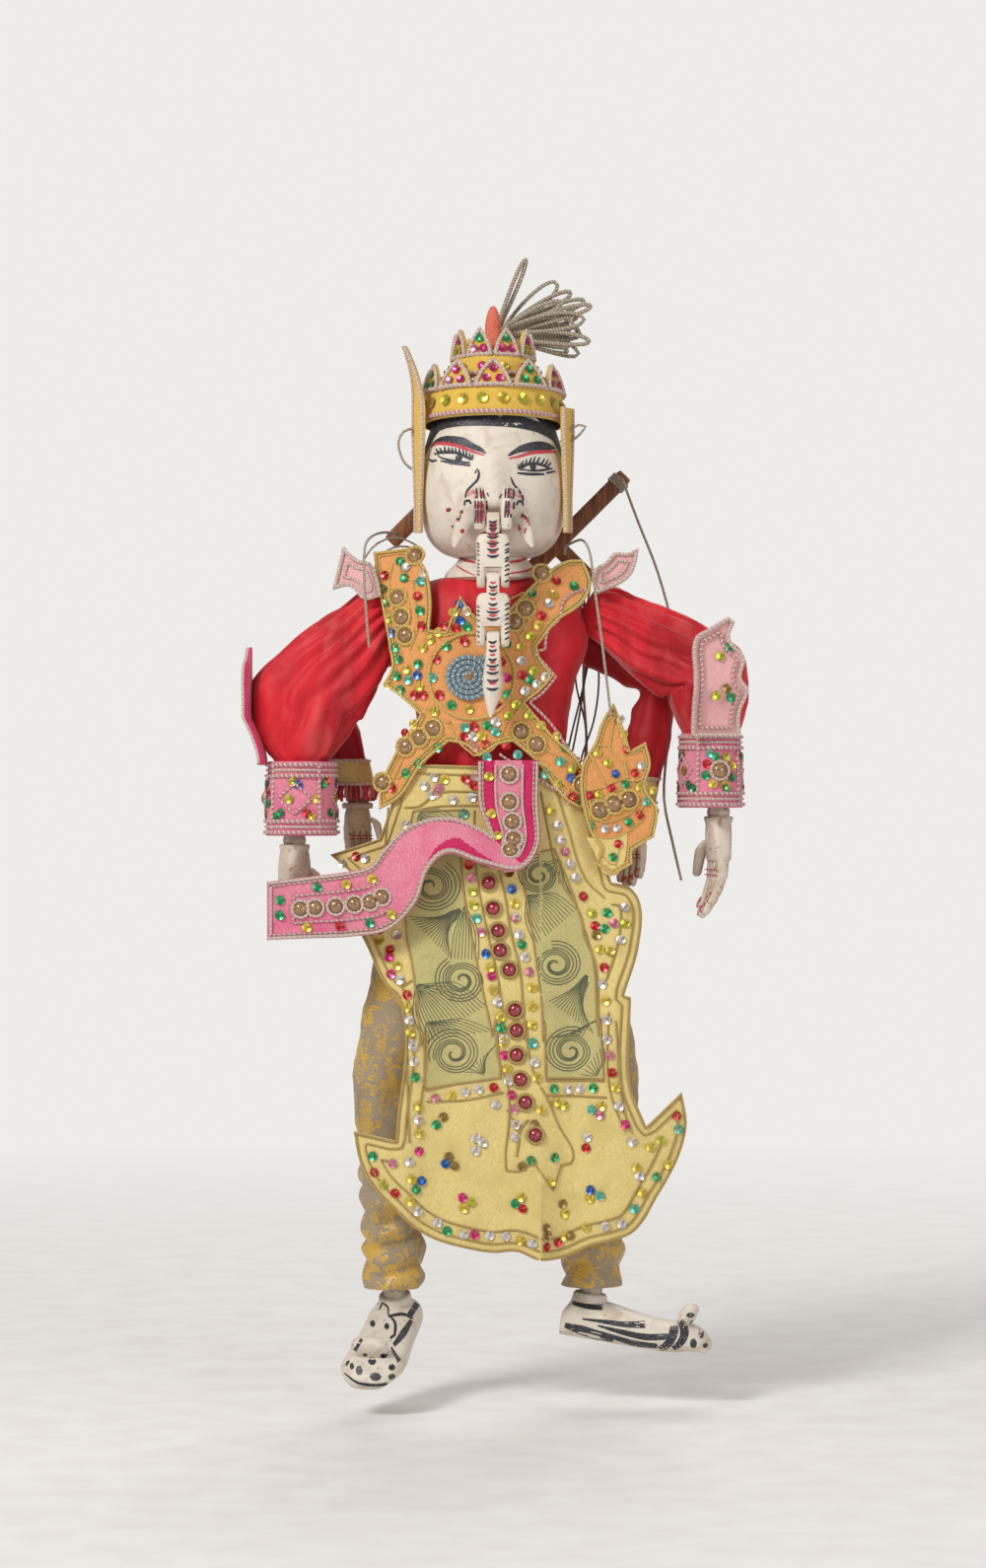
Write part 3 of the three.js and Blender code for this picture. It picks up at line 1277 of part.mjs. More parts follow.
const stringSteps = { string_shoulder: 13, string_hip: 17, string_back: 13, string_hand: 20 };
for (const [name, points] of Object.entries(stringRoutes)) {
  addPiece(torso, name, cordAlong(points, cordRadius, stringSteps[name]), cotton);
}

// The object's own zero is the middle of the grip, where a hand or a hook holds it
const marionette = new THREE.Group();
marionette.name = 'marionette';
const gripMiddle = v((gripFrom + gripTo) / 2, controlBarThick / 2, 0);
figure.position.copy(gripMiddle.applyEuler(control.rotation).add(controlAt).negate());
marionette.add(figure);

export default marionette;
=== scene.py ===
# A four-armed marionette with an elephant's nose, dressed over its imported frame.
# All shapes are written in millimetres from the waist axis, +Z up, facing -Y.
# "Left" and "right" are the viewer's. world() turns them into the frame's metres.

import json
import random
from math import atan2, cos, hypot, pi, radians, sin

import bpy
import numpy as np
from mathutils import Matrix, Vector, noise
from mathutils.bvhtree import BVHTree
from mathutils.geometry import delaunay_2d_cdt

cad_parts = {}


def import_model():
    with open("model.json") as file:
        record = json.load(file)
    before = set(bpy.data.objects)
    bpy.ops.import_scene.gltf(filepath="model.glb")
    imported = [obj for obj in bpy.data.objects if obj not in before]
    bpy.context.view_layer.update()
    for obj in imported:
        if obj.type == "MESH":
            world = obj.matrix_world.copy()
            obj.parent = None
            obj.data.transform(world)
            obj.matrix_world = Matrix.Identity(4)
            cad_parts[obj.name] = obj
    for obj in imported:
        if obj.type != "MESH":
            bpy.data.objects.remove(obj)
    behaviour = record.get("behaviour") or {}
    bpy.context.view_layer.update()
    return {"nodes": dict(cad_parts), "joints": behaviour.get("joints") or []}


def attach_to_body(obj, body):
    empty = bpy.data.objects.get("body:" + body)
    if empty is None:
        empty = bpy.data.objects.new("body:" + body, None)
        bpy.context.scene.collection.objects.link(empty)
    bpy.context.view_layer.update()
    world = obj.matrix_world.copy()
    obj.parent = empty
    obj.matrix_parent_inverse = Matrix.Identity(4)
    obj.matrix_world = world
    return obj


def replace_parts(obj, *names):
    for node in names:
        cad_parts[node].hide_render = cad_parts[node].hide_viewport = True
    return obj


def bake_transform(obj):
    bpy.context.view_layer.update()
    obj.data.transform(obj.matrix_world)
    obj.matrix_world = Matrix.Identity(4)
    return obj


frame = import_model()
joint_at = {joint["name"]: Vector(joint["pos_m"]) for joint in frame["joints"]}
waist = joint_at["waist"]
MM = 0.001
chance = random.Random(7)


def world(point):
    return waist + Vector(point) * MM


def local(name):
    """A joint's place in millimetres from the waist."""
    return (joint_at[name] - waist) / MM


# The photograph's pixels at the figure's plane: one is 0.58 mm
PIXEL = 0.58


def seen(px, py):
    return Vector((PIXEL * px - 290, 458.26 - PIXEL * py))


# Camera, at the photograph's angle
camera_far = 2300
front_plane = -35
lens = bpy.data.cameras.new("camera")
lens.sensor_fit = "VERTICAL"
lens.angle = 2 * atan2(1590 * PIXEL / 2, camera_far)
camera = bpy.data.objects.new("camera", lens)
bpy.context.scene.collection.objects.link(camera)
bpy.context.scene.camera = camera
middle = seen(500, 795)
camera.location = world((middle.x, front_plane - camera_far, middle.y))
camera.rotation_euler = (pi / 2, 0, 0)


# Materials
class Look:
    """One material, built from nodes in object space, so that it stays on a moving piece."""

    def __init__(self, name, **values):
        self.material = bpy.data.materials.new(name)
        self.material.use_nodes = True
        self.tree = self.material.node_tree
        self.shader = self.tree.nodes["Principled BSDF"]
        for key, value in values.items():
            socket = key.replace("_", " ").title().replace("Ior", "IOR")
            self.shader.inputs[socket].default_value = value
        self.place = self.node("TexCoord").outputs["Object"]
        self.height = None

    def node(self, kind, links=None, **settings):
        made = self.tree.nodes.new("ShaderNode" + kind)
        for key, value in settings.items():
            setattr(made, key, value)
        for key, value in (links or {}).items():
            if isinstance(value, bpy.types.NodeSocket):
                self.tree.links.new(value, made.inputs[key])
            else:
                made.inputs[key].default_value = value
        return made

    def grain(self, size, detail=2, stretch=(1, 1, 1), distortion=0):
        """Noise with features of this size in millimetres."""
        scale = tuple(1000 / (size * s) for s in stretch)
        mapped = self.node("Mapping", {"Vector": self.place, "Scale": scale}).outputs[0]
        links = {"Vector": mapped, "Scale": 1, "Detail": detail, "Distortion": distortion}
        return self.node("TexNoise", links).outputs["Fac"]

    def cells(self, size, stretch=(1, 1, 1), feature="F1"):
        scale = tuple(1000 / (size * s) for s in stretch)
        mapped = self.node("Mapping", {"Vector": self.place, "Scale": scale}).outputs[0]
        return self.node("TexVoronoi", {"Vector": mapped, "Scale": 1}, feature=feature).outputs["Distance"]

    def weave(self, size, axis="Z", distortion=0.3):
        links = {"Vector": self.place, "Scale": 1000 / size / 6.28, "Distortion": distortion}
        return self.node("TexWave", links, bands_direction=axis).outputs["Fac"]

    def math(self, operation, *values):
        made = self.node("Math", operation=operation)
        for slot, value in zip(made.inputs, values):
            if isinstance(value, bpy.types.NodeSocket):
                self.tree.links.new(value, slot)
            else:
                slot.default_value = value
        return made.outputs[0]

    def between(self, value, low, high, to_low=0.0, to_high=1.0):
        links = {"Value": value, "From Min": low, "From Max": high, "To Min": to_low, "To Max": to_high}
        return self.node("MapRange", links).outputs[0]

    def mix(self, share, first, second):
        """Colours are (r, g, b) or sockets."""
        made = self.node("Mix", data_type="RGBA")
        for slot, value in zip((0, 6, 7), (share, first, second)):
            if isinstance(value, bpy.types.NodeSocket):
                self.tree.links.new(value, made.inputs[slot])
            else:
                made.inputs[slot].default_value = (*value, 1) if slot else value
        return made.outputs[2]

    def paint(self, colour):
        self.tree.links.new(colour, self.shader.inputs["Base Color"])
        return self

    def rough(self, value):
        self.tree.links.new(value, self.shader.inputs["Roughness"])
        return self

    def raise_by(self, height, depth, strength=1.0):
        """Adds relief of this depth in millimetres."""
        links = {"Height": height, "Distance": depth * MM, "Strength": strength}
        if self.height:
            links["Normal"] = self.height
        self.height = self.node("Bump", links).outputs[0]
        self.tree.links.new(self.height, self.shader.inputs["Normal"])
        return self


def felt_look(name, colour, deep, stain=None, stain_from=0.56):
    look = Look(name, roughness=0.95, sheen_weight=0.25, sheen_roughness=0.5, specular_ior_level=0.2)
    fibres = look.grain(0.7, 4, (1, 1, 2.2))
    cloud = look.grain(16, 3)
    base = look.mix(look.between(fibres, 0.3, 0.7), deep, colour)
    stained = stain or tuple(c * 0.72 for c in colour)
    base = look.mix(look.between(cloud, stain_from, 0.8, 0, 0.75), base, stained)
    look.paint(base)
    look.raise_by(fibres, 0.35, 0.7)
    return look.raise_by(look.grain(5, 2), 0.5, 0.5).material


def satin_look(name, colour, deep, worn):
    look = Look(name, specular_ior_level=0.3, sheen_weight=0.3, sheen_roughness=0.45)
    look.shader.inputs["Sheen Tint"].default_value = (1, 0.6, 0.6, 1)
    # Painted shade: deep, a darker red, is laid in long upright streaks that stand for the shade in folds,
    # and also darkens the weave's threads
    shade_streaks = look.grain(34, 4, (1, 1, 3), 0.8)
    threads = look.weave(0.45, "Z", 0.4)
    base = look.mix(look.between(shade_streaks, 0.34, 0.6), deep, colour)
    # worn is a paler pink laid in patches, partly wear and partly painted sheen
    base = look.mix(look.between(look.grain(22, 5, (1, 1, 2.2), 1.2), 0.5, 0.72, 0, 0.6), base, worn)
    look.paint(look.mix(look.between(threads, 0, 1, 0, 0.16), base, deep))
    look.rough(look.between(look.grain(9, 3), 0.3, 0.7, 0.5, 0.66))
    look.raise_by(threads, 0.06, 0.6)
    look.raise_by(look.grain(6, 4, (1, 1, 3.2), 0.4), 0.5, 0.5)
    return look.raise_by(look.grain(1.6, 3, (1, 1, 2)), 0.15, 0.6).material


def brocade_look(name, ground, gold, dark):
    look = Look(name, specular_ior_level=0.45, sheen_weight=0.2)
    petals = look.cells(21, (1, 1, 1.25), "SMOOTH_F1")
    veins = look.grain(7, 3, (1, 1, 1), 1.6)
    figure = look.math("ADD", look.between(petals, 0.25, 0.5), look.between(veins, 0.42, 0.6, -0.6, 0.6))
    figure = look.between(figure, 0.35, 0.55)
    twill = look.weave(0.7, "DIAGONAL", 0.2)
    base = look.mix(figure, gold, ground)
    base = look.mix(look.between(look.grain(24, 3), 0.5, 0.75, 0, 0.6), base, dark)
    look.paint(look.mix(look.between(twill, 0, 1, 0, 0.28), base, dark))
    look.rough(look.between(figure, 0, 1, 0.38, 0.7))
    look.raise_by(twill, 0.08, 0.8)
    return look.raise_by(figure, 0.15, 0.5).material


def painted_look(name, colour, grime, wood, chips=0.69, grime_from=0.52, hair_from=None):
    """Old paint with brush strokes, grime and chips.

    hair_from is a place on the hairline, which leans forward going up.
    """
    look = Look(name, specular_ior_level=0.4)
    soil = look.grain(13, 5, (1, 1, 1), 0.7)
    strokes = look.grain(2.6, 3, (1, 1, 5))
    flakes = look.grain(3.6, 4, (1, 1, 1), 0.4)
    base = look.mix(look.between(strokes, 0.3, 0.7, 0, 0.35), colour, tuple(c * 0.88 for c in colour))
    base = look.mix(look.between(soil, grime_from, 0.78, 0, 0.8), base, grime)
    if hair_from:
        axes = look.node("SeparateXYZ", {0: look.place}).outputs
        ragged = look.between(strokes, 0, 1, -0.0025, 0.0025)
        slope = look.math("MULTIPLY", look.math("SUBTRACT", axes[2], hair_from.z), 0.55)
        hair = look.math("ADD", look.math("SUBTRACT", axes[1], hair_from.y), look.math("ADD", slope, ragged))
        base = look.mix(look.math("GREATER_THAN", hair, 0), base, (0.022, 0.022, 0.03))
    look.paint(look.mix(look.between(flakes, chips, chips + 0.02), base, wood))
    look.rough(look.between(soil, 0.3, 0.7, 0.42, 0.68))
    look.raise_by(look.between(flakes, chips, chips + 0.02, 1, 0), 0.18, 0.8)
    look.raise_by(look.cells(9, (1, 1, 1.6), "DISTANCE_TO_EDGE"), 0.04, 0.2)
    return look.raise_by(strokes, 0.12, 0.6).material


def wood_look(name, colour, dark, along=(1, 1, 14)):
    look = Look(name, specular_ior_level=0.4)
    rings = look.grain(2.4, 5, along, 0.5)
    pores = look.grain(0.7, 3, along)
    base = look.mix(look.between(rings, 0.32, 0.66), dark, colour)
    base = look.mix(look.between(pores, 0.52, 0.7, 0, 0.7), base, tuple(c * 0.4 for c in dark))
    look.paint(look.mix(look.between(look.grain(16, 3), 0.5, 0.75, 0, 0.5), base, dark))
    look.rough(look.between(rings, 0.3, 0.7, 0.45, 0.7))
    return look.raise_by(pores, 0.2, 0.8).material


def twist_look(name, first, second, lay, metallic=0.0, roughness=0.7, groove_shade=0.3):
    """A cord laid up from two strands. Its tube's UV gives the length and the way round."""
    look = Look(name, metallic=metallic, roughness=roughness, sheen_weight=0.15)
    across = look.node("SeparateXYZ", {0: look.node("TexCoord").outputs["UV"]})
    turns = look.math("ADD", look.math("DIVIDE", across.outputs[0], lay), across.outputs[1])
    strand = look.math("FRACT", look.math("MULTIPLY", turns, 2))
    relief = look.math("SINE", look.math("MULTIPLY", strand, pi))
    which = look.between(look.math("FRACT", turns), 0.49, 0.51)
    fibre = look.grain(0.5, 3)
    base = look.mix(which, first, second)
    base = look.mix(look.between(fibre, 0.35, 0.7, 0, 0.45), base, tuple(c * 0.6 for c in first))
    # Painted shade: each cord is darkened in the grooves between its strands
    dark = tuple(c * groove_shade for c in first)
    look.paint(look.mix(look.between(relief, 0.45, 0, 0, 0.9), base, dark))
    look.raise_by(relief, 0.5, 1)
    return look.raise_by(fibre, 0.15, 0.6).material


def foil_look(name, colour, metallic=0.8):
    look = Look(name, metallic=metallic, coat_weight=0.4, coat_roughness=0.1)
    mottle = look.grain(2.4, 2)
    look.paint(look.mix(look.between(mottle, 0.4, 0.7), colour, tuple(c * 0.62 for c in colour)))
    look.rough(look.between(mottle, 0.3, 0.7, 0.2, 0.38))
    return look.raise_by(look.grain(0.9, 2), 0.08, 0.5).material


def bead_look(name, colour, deep):
    look = Look(name, roughness=0.16, coat_weight=0.9, coat_roughness=0.05, specular_ior_level=0.6)
    swirl = look.grain(3, 3, (1, 1, 1), 1)
    look.paint(look.mix(look.between(swirl, 0.35, 0.7), colour, deep))
    return look.raise_by(look.grain(1.6, 2), 0.06, 0.4).material


def line_look(name, colour):
    look = Look(name, roughness=0.5)
    wear = look.grain(1.1, 4)
    paler = tuple(c + 0.12 for c in colour)
    look.paint(look.mix(look.between(wear, 0.52, 0.75), colour, paler))
    return look.raise_by(wear, 0.05, 0.5).material


WOOD = (0.36, 0.23, 0.12)
looks = {}
for make, rows in (
    (painted_look, (
        ("white_paint", (0.69, 0.62, 0.52), (0.47, 0.36, 0.25), WOOD, 0.7, 0.5),
        ("hand_paint", (0.62, 0.54, 0.44), (0.3, 0.21, 0.13), WOOD, 0.62, 0.42),
    )),
    (line_look, (
        ("black_line", (0.02, 0.02, 0.028)), ("red_line", (0.5, 0.03, 0.045)),
        ("ash_line", (0.45, 0.48, 0.52)),
        ("mouth_line", (0.2, 0.012, 0.015)), ("pink_line", (0.62, 0.2, 0.2)),
    )),
    (wood_look, (
        ("bare_wood", WOOD, (0.16, 0.09, 0.045)), ("control_wood", (0.33, 0.12, 0.035), (0.1, 0.035, 0.014)),
    )),
    (satin_look, (
        # Satin rows: colour, a darker red for painted shade, and a paler pink for wear and painted sheen
        ("red_satin", (0.6, 0.01, 0.02), (0.36, 0.005, 0.012), (0.66, 0.09, 0.08)),
        # A darker copy of the red satin: painted shade for the sleeves behind the outer arms
        ("inner_satin", (0.42, 0.008, 0.015), (0.18, 0.003, 0.008), (0.5, 0.03, 0.03)),
    )),
    (felt_look, (
        ("orange_felt", (0.78, 0.38, 0.14), (0.58, 0.23, 0.07), (0.6, 0.31, 0.08)),
        ("pink_felt", (0.74, 0.28, 0.35), (0.58, 0.15, 0.22), (0.62, 0.04, 0.18), 0.5),
        ("pale_pink_felt", (0.78, 0.44, 0.44), (0.66, 0.32, 0.34), (0.7, 0.5, 0.45)),
        ("magenta_felt", (0.62, 0.03, 0.14), (0.4, 0.012, 0.06)),
        ("yellow_felt", (0.74, 0.61, 0.26), (0.6, 0.46, 0.16), (0.52, 0.4, 0.13), 0.5),
        ("olive_felt", (0.54, 0.48, 0.21), (0.42, 0.37, 0.14), (0.33, 0.3, 0.12)),
        ("crown_felt", (0.74, 0.5, 0.1), (0.6, 0.36, 0.05)),
        ("coral_felt", (0.72, 0.22, 0.14), (0.5, 0.08, 0.05), (0.75, 0.42, 0.32)),
    )),
    (brocade_look, (("brocade", (0.33, 0.26, 0.17), (0.58, 0.35, 0.05), (0.18, 0.13, 0.065)),)),
    (twist_look, (
        # The last value of some rows sets how dark the painted shade in the cord's grooves is
        ("blue_cord", (0.2, 0.31, 0.38), (0.42, 0.52, 0.55), 3.4, 0, 0.7, 0.18),
        ("cotton_cord", (0.42, 0.35, 0.25), (0.5, 0.43, 0.32), 3.4),
        # A darker copy of the cotton cord: painted shade for the spare strings behind the right arm
        ("dark_cord", (0.12, 0.085, 0.06), (0.2, 0.15, 0.11), 3.0),
        ("gold_cord", (0.8, 0.53, 0.12), (0.88, 0.64, 0.22), 2.6, 0.15, 0.5, 0.42),
        ("cream_cord", (0.76, 0.64, 0.52), (0.7, 0.46, 0.42), 3.0, 0, 0.7, 0.4),
        ("rose_cord", (0.76, 0.58, 0.5), (0.6, 0.18, 0.24), 3.0, 0, 0.7, 0.4),
        ("olive_thread", (0.13, 0.15, 0.08), (0.24, 0.26, 0.13), 1.6),
        ("gold_thread", (0.62, 0.4, 0.09), (0.74, 0.52, 0.18), 1.2),
    )),
    (bead_look, (
        ("amber_bead", (0.36, 0.2, 0.08), (0.16, 0.075, 0.025)),
        ("ruby_bead", (0.36, 0.012, 0.04), (0.14, 0.004, 0.012)),
    )),
):
    for row in rows:
        looks[row[0]] = make(*row)

# Sequins, each with the letter that stands for it in the tables of places
SEQUINS = {}
for letter, name, colour in (
    ("g", "sequin_gold", (0.8, 0.6, 0.08)), ("y", "sequin_lime", (0.62, 0.6, 0.06)),
    ("n", "sequin_green", (0.02, 0.36, 0.13)), ("t", "sequin_aqua", (0.12, 0.55, 0.42)),
    ("b", "sequin_blue", (0.02, 0.12, 0.5)), ("r", "sequin_red", (0.6, 0.02, 0.03)),
    ("p", "sequin_pink", (0.75, 0.25, 0.35)), ("m", "sequin_rose", (0.7, 0.03, 0.2)),
    ("w", "sequin_white", (0.8, 0.76, 0.72)), ("a", "sequin_amber", (0.32, 0.2, 0.05)),
):
    SEQUINS[letter] = name
    looks[name] = foil_look(name, colour)


# Meshes
def attach(piece, body):
    """body is a body's name, or a pair of them with two points, in which case the piece is only baked in
    place.
    """
    if isinstance(body, str):
        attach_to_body(piece, body)
    else:
        first, second, start, end = body
        world(start)
        world(end)
        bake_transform(piece)
    return piece


def new_mesh(name, points, faces, look, body, uvs=None, sharp=40, second=None, second_from=0):
    """second is the look of the faces from second_from on."""
    mesh = bpy.data.meshes.new(name)
    mesh.from_pydata([world(point) for point in points], [], faces)
    if uvs:
        layer = mesh.uv_layers.new(name="along")
        layer.data.foreach_set("uv", [value for face in uvs for corner in face for value in corner])
    mesh.materials.append(looks[look])
    if second:
        mesh.materials.append(looks[second])
        for face in mesh.polygons[second_from:]:
            face.material_index = 1
    mesh.shade_smooth()
    if sharp:
        mesh.set_sharp_from_angle(angle=radians(sharp))
    piece = bpy.data.objects.new(name, mesh)
    bpy.context.scene.collection.objects.link(piece)
    return attach(piece, body)


class Pile:
    """Many small pieces of one look on one body, which become one mesh."""

    def __init__(self):
        self.points, self.faces, self.uvs = [], [], []

    def add(self, points, faces, uvs=None):
        start = len(self.points)
        self.points += points
        self.faces += [tuple(start + i for i in face) for face in faces]
        self.uvs += uvs or [[(0, 0)] * len(face) for face in faces]


piles = {}


def pile(look, body):
    return piles.setdefault((look, body), Pile())


# Each group of small pieces belongs to a body, or goes with the cloth that it is sewn to
groups = {}


def finish_piles():
    for (look, group), heap in piles.items():
        if heap.points:
            name = f"{group}_{look}_trim"
            new_mesh(name, heap.points, heap.faces, look, groups.get(group, group), heap.uvs)


def grid_faces(rows, columns, closed=True, flip=False):
    """Quads of a grid of points, row by row. A closed grid joins each row's end to its start."""
    faces = []
    for r in range(rows - 1):
        for c in range(columns if closed else columns - 1):
            d = (c + 1) % columns
            a, b = r * columns, (r + 1) * columns
            face = (a + c, a + d, b + d, b + c)
            faces.append(face[::-1] if flip else face)
    return faces


def tube_rings(path, radius, sides):
    """Rings of points along a path, turned as little as possible from one to the next."""
    rings = []
    up = None
    count = len(path)
    for i, point in enumerate(path):
        along = (path[min(i + 1, count - 1)] - path[max(i - 1, 0)]).normalized()
        if up is None:
            up = Vector((0, 0, 1)) if abs(along.z) < 0.9 else Vector((1, 0, 0))
        up = (up - along * up.dot(along)).normalized()
        side = along.cross(up)
        reach = radius(i / max(1, count - 1)) if callable(radius) else radius
        rings.append([
            point + side * (reach * cos(2 * pi * k / sides)) + up * (reach * sin(2 * pi * k / sides))
            for k in range(sides)
        ])
    return rings


def tube(path, radius, sides=6):
    """Points, faces and UVs of a tube. u is the length in millimetres and v goes once round."""
    rings = tube_rings(path, radius, sides)
    points = [point for ring in rings for point in ring]
    lengths = [0.0]
    for a, b in zip(path, path[1:]):
        lengths.append(lengths[-1] + (b - a).length)
    faces = grid_faces(len(rings), sides)
    uvs = []
    for r in range(len(rings) - 1):
        for c in range(sides):
            u, w, v, x = lengths[r], lengths[r + 1], c / sides, (c + 1) / sides
            uvs.append([(u, v), (u, x), (w, x), (w, v)])
    last = len(points) - sides
    for cap in (tuple(range(sides))[::-1], tuple(range(last, last + sides))):
        faces.append(cap)
        uvs.append([(0, 0)] * sides)
    return points, faces, uvs


def curve_between(start, end, leave, arrive, t):
    """A value at t, from 0 at start to 1 at end, on the curve with these slopes at its ends."""
    return (
        start * (2 * t**3 - 3 * t**2 + 1) + leave * (t**3 - 2 * t**2 + t)
        + end * (3 * t**2 - 2 * t**3) + arrive * (t**3 - t**2)
    )


def flowing(points, closed=False, step=2.5, corner=50):
    """A line through given points: smooth, but sharp where it turns by more than corner degrees."""
    points = [Vector(point) for point in points]
    count = len(points)

    def heading(i, span):
        if not closed and i in (0, count - 1):
            return span.normalized()
        before, after = points[i] - points[i - 1], points[(i + 1) % count] - points[i]
        if before.length < 1e-6 or after.length < 1e-6 or before.angle(after) > radians(corner):
            return span.normalized()
        return (before.normalized() + after.normalized()).normalized()

    line = []
    for i in range(count if closed else count - 1):
        start, end = points[i], points[(i + 1) % count]
        span = end - start
        leave, arrive = heading(i, span) * span.length, heading((i + 1) % count, span) * span.length
        steps = max(1, round(span.length / step))
        line += [curve_between(start, end, leave, arrive, k / steps) for k in range(steps)]
    if not closed:
        line.append(points[-1])
    return line


def length_of(path):
    return sum((b - a).length for a, b in zip(path, path[1:]))


def area_of(outline):
    return sum(a.x * b.y - b.x * a.y for a, b in zip(outline, outline[1:] + outline[:1])) / 2


def inset(outline, distance):
    """A closed outline moved inwards, without the loops that it then makes."""
    way = 1 if area_of(outline) > 0 else -1
    grown = np.array([(p.x, p.y) for p in outline])
    line = []
    for i, point in enumerate(outline):
        along = (outline[(i + 1) % len(outline)] - outline[i - 1]).normalized()
        moved = point + Vector((-along.y, along.x)) * (way * distance)
        nearest = np.min(np.hypot(grown[:, 0] - moved.x, grown[:, 1] - moved.y))
        if nearest > abs(distance) * 0.97 - 0.05:
            line.append(moved)
    return line


def inside(outline, x, z):
    crossed = False
    for a, b in zip(outline, outline[1:] + outline[:1]):
        if (a.y > z) != (b.y > z) and x < (b.x - a.x) * (z - a.y) / (b.y - a.y) + a.x:
            crossed = not crossed
    return crossed


# A skin gives the point and the outward direction on a surface, from two coordinates
def on_sheet(front):
    def skin(x, z):
        step = 0.5
        slope_x = (front(x + step, z) - front(x - step, z)) / (2 * step)
        slope_z = (front(x, z + step) - front(x, z - step)) / (2 * step)
        return Vector((x, front(x, z), z)), Vector((slope_x, -1, slope_z)).normalized()

    return skin


def on_solid(points, faces, origin=(0, -400, 0), across=(1, 0, 0), up=(0, 0, 1), toward=(0, 1, 0)):
    """Looks along toward at a solid, from a plane through origin."""
    tree = BVHTree.FromPolygons([tuple(point) for point in points], faces)
    origin, across, up, toward = (Vector(value) for value in (origin, across, up, toward))

    def skin(x, z):
        place, normal, _, _ = tree.ray_cast(origin + across * x + up * z, toward)
        if place is None:
            return None
        return place, normal if normal.dot(toward) < 0 else -normal

    return skin


def lifted(skin, line, lift):
    """A flat line laid on a skin, this far above it."""
    path = []
    for x, z in line:
        found = skin(x, z)
        if found:
            path.append(found[0] + found[1] * lift)
    return path


def across_of(normal):
    side = Vector((0, 0, 1)).cross(normal)
    if side.length < 0.05:
        side = Vector((1, 0, 0))
    side.normalize()
    return side, normal.cross(side)


def cord_on(skin, line, look, group, radius=1.1, closed=False, sides=6):
    path = lifted(skin, line, radius * 0.7)
    if len(path) > 2:
        if closed:
            path += path[:1]
        pile(look, group).add(*tube(path, radius, sides))


def sequin(skin, x, z, letter, group, radius=2.9):
    """A small cupped disc, sewn through its middle with one stitch to its rim."""
    found = skin(x, z)
    if not found:
        return
    at, normal = found
    tilt = Vector((chance.uniform(-1, 1), chance.uniform(-1, 1), chance.uniform(-1, 1))) * 0.12
    normal = (normal + tilt).normalized()
    side, up = across_of(normal)
    at = at + normal * 0.35
    rim, well, sides = [], [], 8
    turn = chance.uniform(0, pi)
    for k in range(sides):
        angle = 2 * pi * k / sides + turn
        way = side * cos(angle) + up * sin(angle)
        rim.append(at + way * radius + normal * 0.9)
        well.append(at + way * radius * 0.38 + normal * 0.25)
    faces = [(k, (k + 1) % sides, sides + (k + 1) % sides, sides + k) for k in range(sides)]
    faces.append(tuple(range(sides, 2 * sides)))
    pile(SEQUINS[letter], group).add(rim + well, faces)
    angle = chance.uniform(-0.6, 0.6) + 0.8
    way = side * cos(angle) + up * sin(angle)
    stitch = [at + normal * 0.4, at + way * radius * 0.5 + normal * 1.15, at + way * radius + normal * 0.95]
    pile("gold_thread", group).add(*tube(stitch, 0.3, 4))


def sequins(skin, places, letters, group, radius=2.9):
    for i, (x, z) in enumerate(places):
        sequin(skin, x, z, letters[i % len(letters)], group, radius)


def bead(skin, x, z, look, group, radius=4.2, ring="gold_cord"):
    """A domed glass bead in a ring of cord."""
    found = skin(x, z)
    if not found:
        return
    at, normal = found
    side, up = across_of(normal)
    around, down = 12, 5
    points = []
    for r in range(down):
        angle = pi / 2 * r / down
        for k in range(around):
            turn = 2 * pi * k / around
            out = (side * cos(turn) + up * sin(turn)) * (radius * cos(angle))
            points.append(at + out + normal * (radius * 0.75 * sin(angle)))
    points.append(at + normal * (radius * 0.75))
    faces = grid_faces(down, around)
    last = (down - 1) * around
    faces += [(last + k, last + (k + 1) % around, len(points) - 1) for k in range(around)]
    pile(look, group).add(points, faces)
    if ring:
        turns = [2 * pi * k / 14 for k in range(15)]
        path = [at + normal * 0.7 + (side * cos(t) + up * sin(t)) * (radius + 0.9) for t in turns]
        pile(ring, group).add(*tube(path, 1.0, 5))


def stroke(skin, line, width, look, group, lift=0.14, step=1.2):
    """A brush stroke of paint: widths are given from its start to its end."""
    line = flowing(line, step=step)
    widths = [width] if isinstance(width, (int, float)) else list(width)
    strips = [[]]
    for i, point in enumerate(line):
        along = line[min(i + 1, len(line) - 1)] - line[max(i - 1, 0)]
        if along.length < 1e-6:
            continue
        side = Vector((-along.y, along.x)).normalized()
        t = i / (len(line) - 1) * (len(widths) - 1)
        k = min(int(t), len(widths) - 2) if len(widths) > 1 else 0
        half = (widths[k] + (widths[k + 1] - widths[k]) * (t - k) if len(widths) > 1 else widths[0]) / 2
        row = [skin(point.x + side.x * half * s, point.y + side.y * half * s) for s in (-1, 0, 1)]
        if not all(row):
            continue
        row = [place + normal * lift for place, normal in row]
        if (row[0] - row[2]).length > 2 * half + 3:
            continue
        if strips[-1] and (row[1] - strips[-1][-1][1]).length > 2 * step + 2:
            strips.append([])
        strips[-1].append(row)
    for rows in strips:
        if len(rows) > 1:
            points = [point for row in rows for point in row]
            pile(look, group).add(points, grid_faces(len(rows), 3, closed=False))


def blob(skin, line, look, group, lift=0.12, cell=2.0):
    """A filled patch of paint with a smooth outline."""
    outline = flowing(line, closed=True, step=cell * 0.8)
    flat, faces = fill(outline, cell)
    points, kept = [], {}
    for i, (x, z) in enumerate(flat):
        found = skin(x, z)
        if found:
            kept[i] = len(points)
            points.append(found[0] + found[1] * lift)
    faces = [tuple(kept[i] for i in face) for face in faces if all(i in kept for i in face)]
    pile(look, group).add(points, faces)


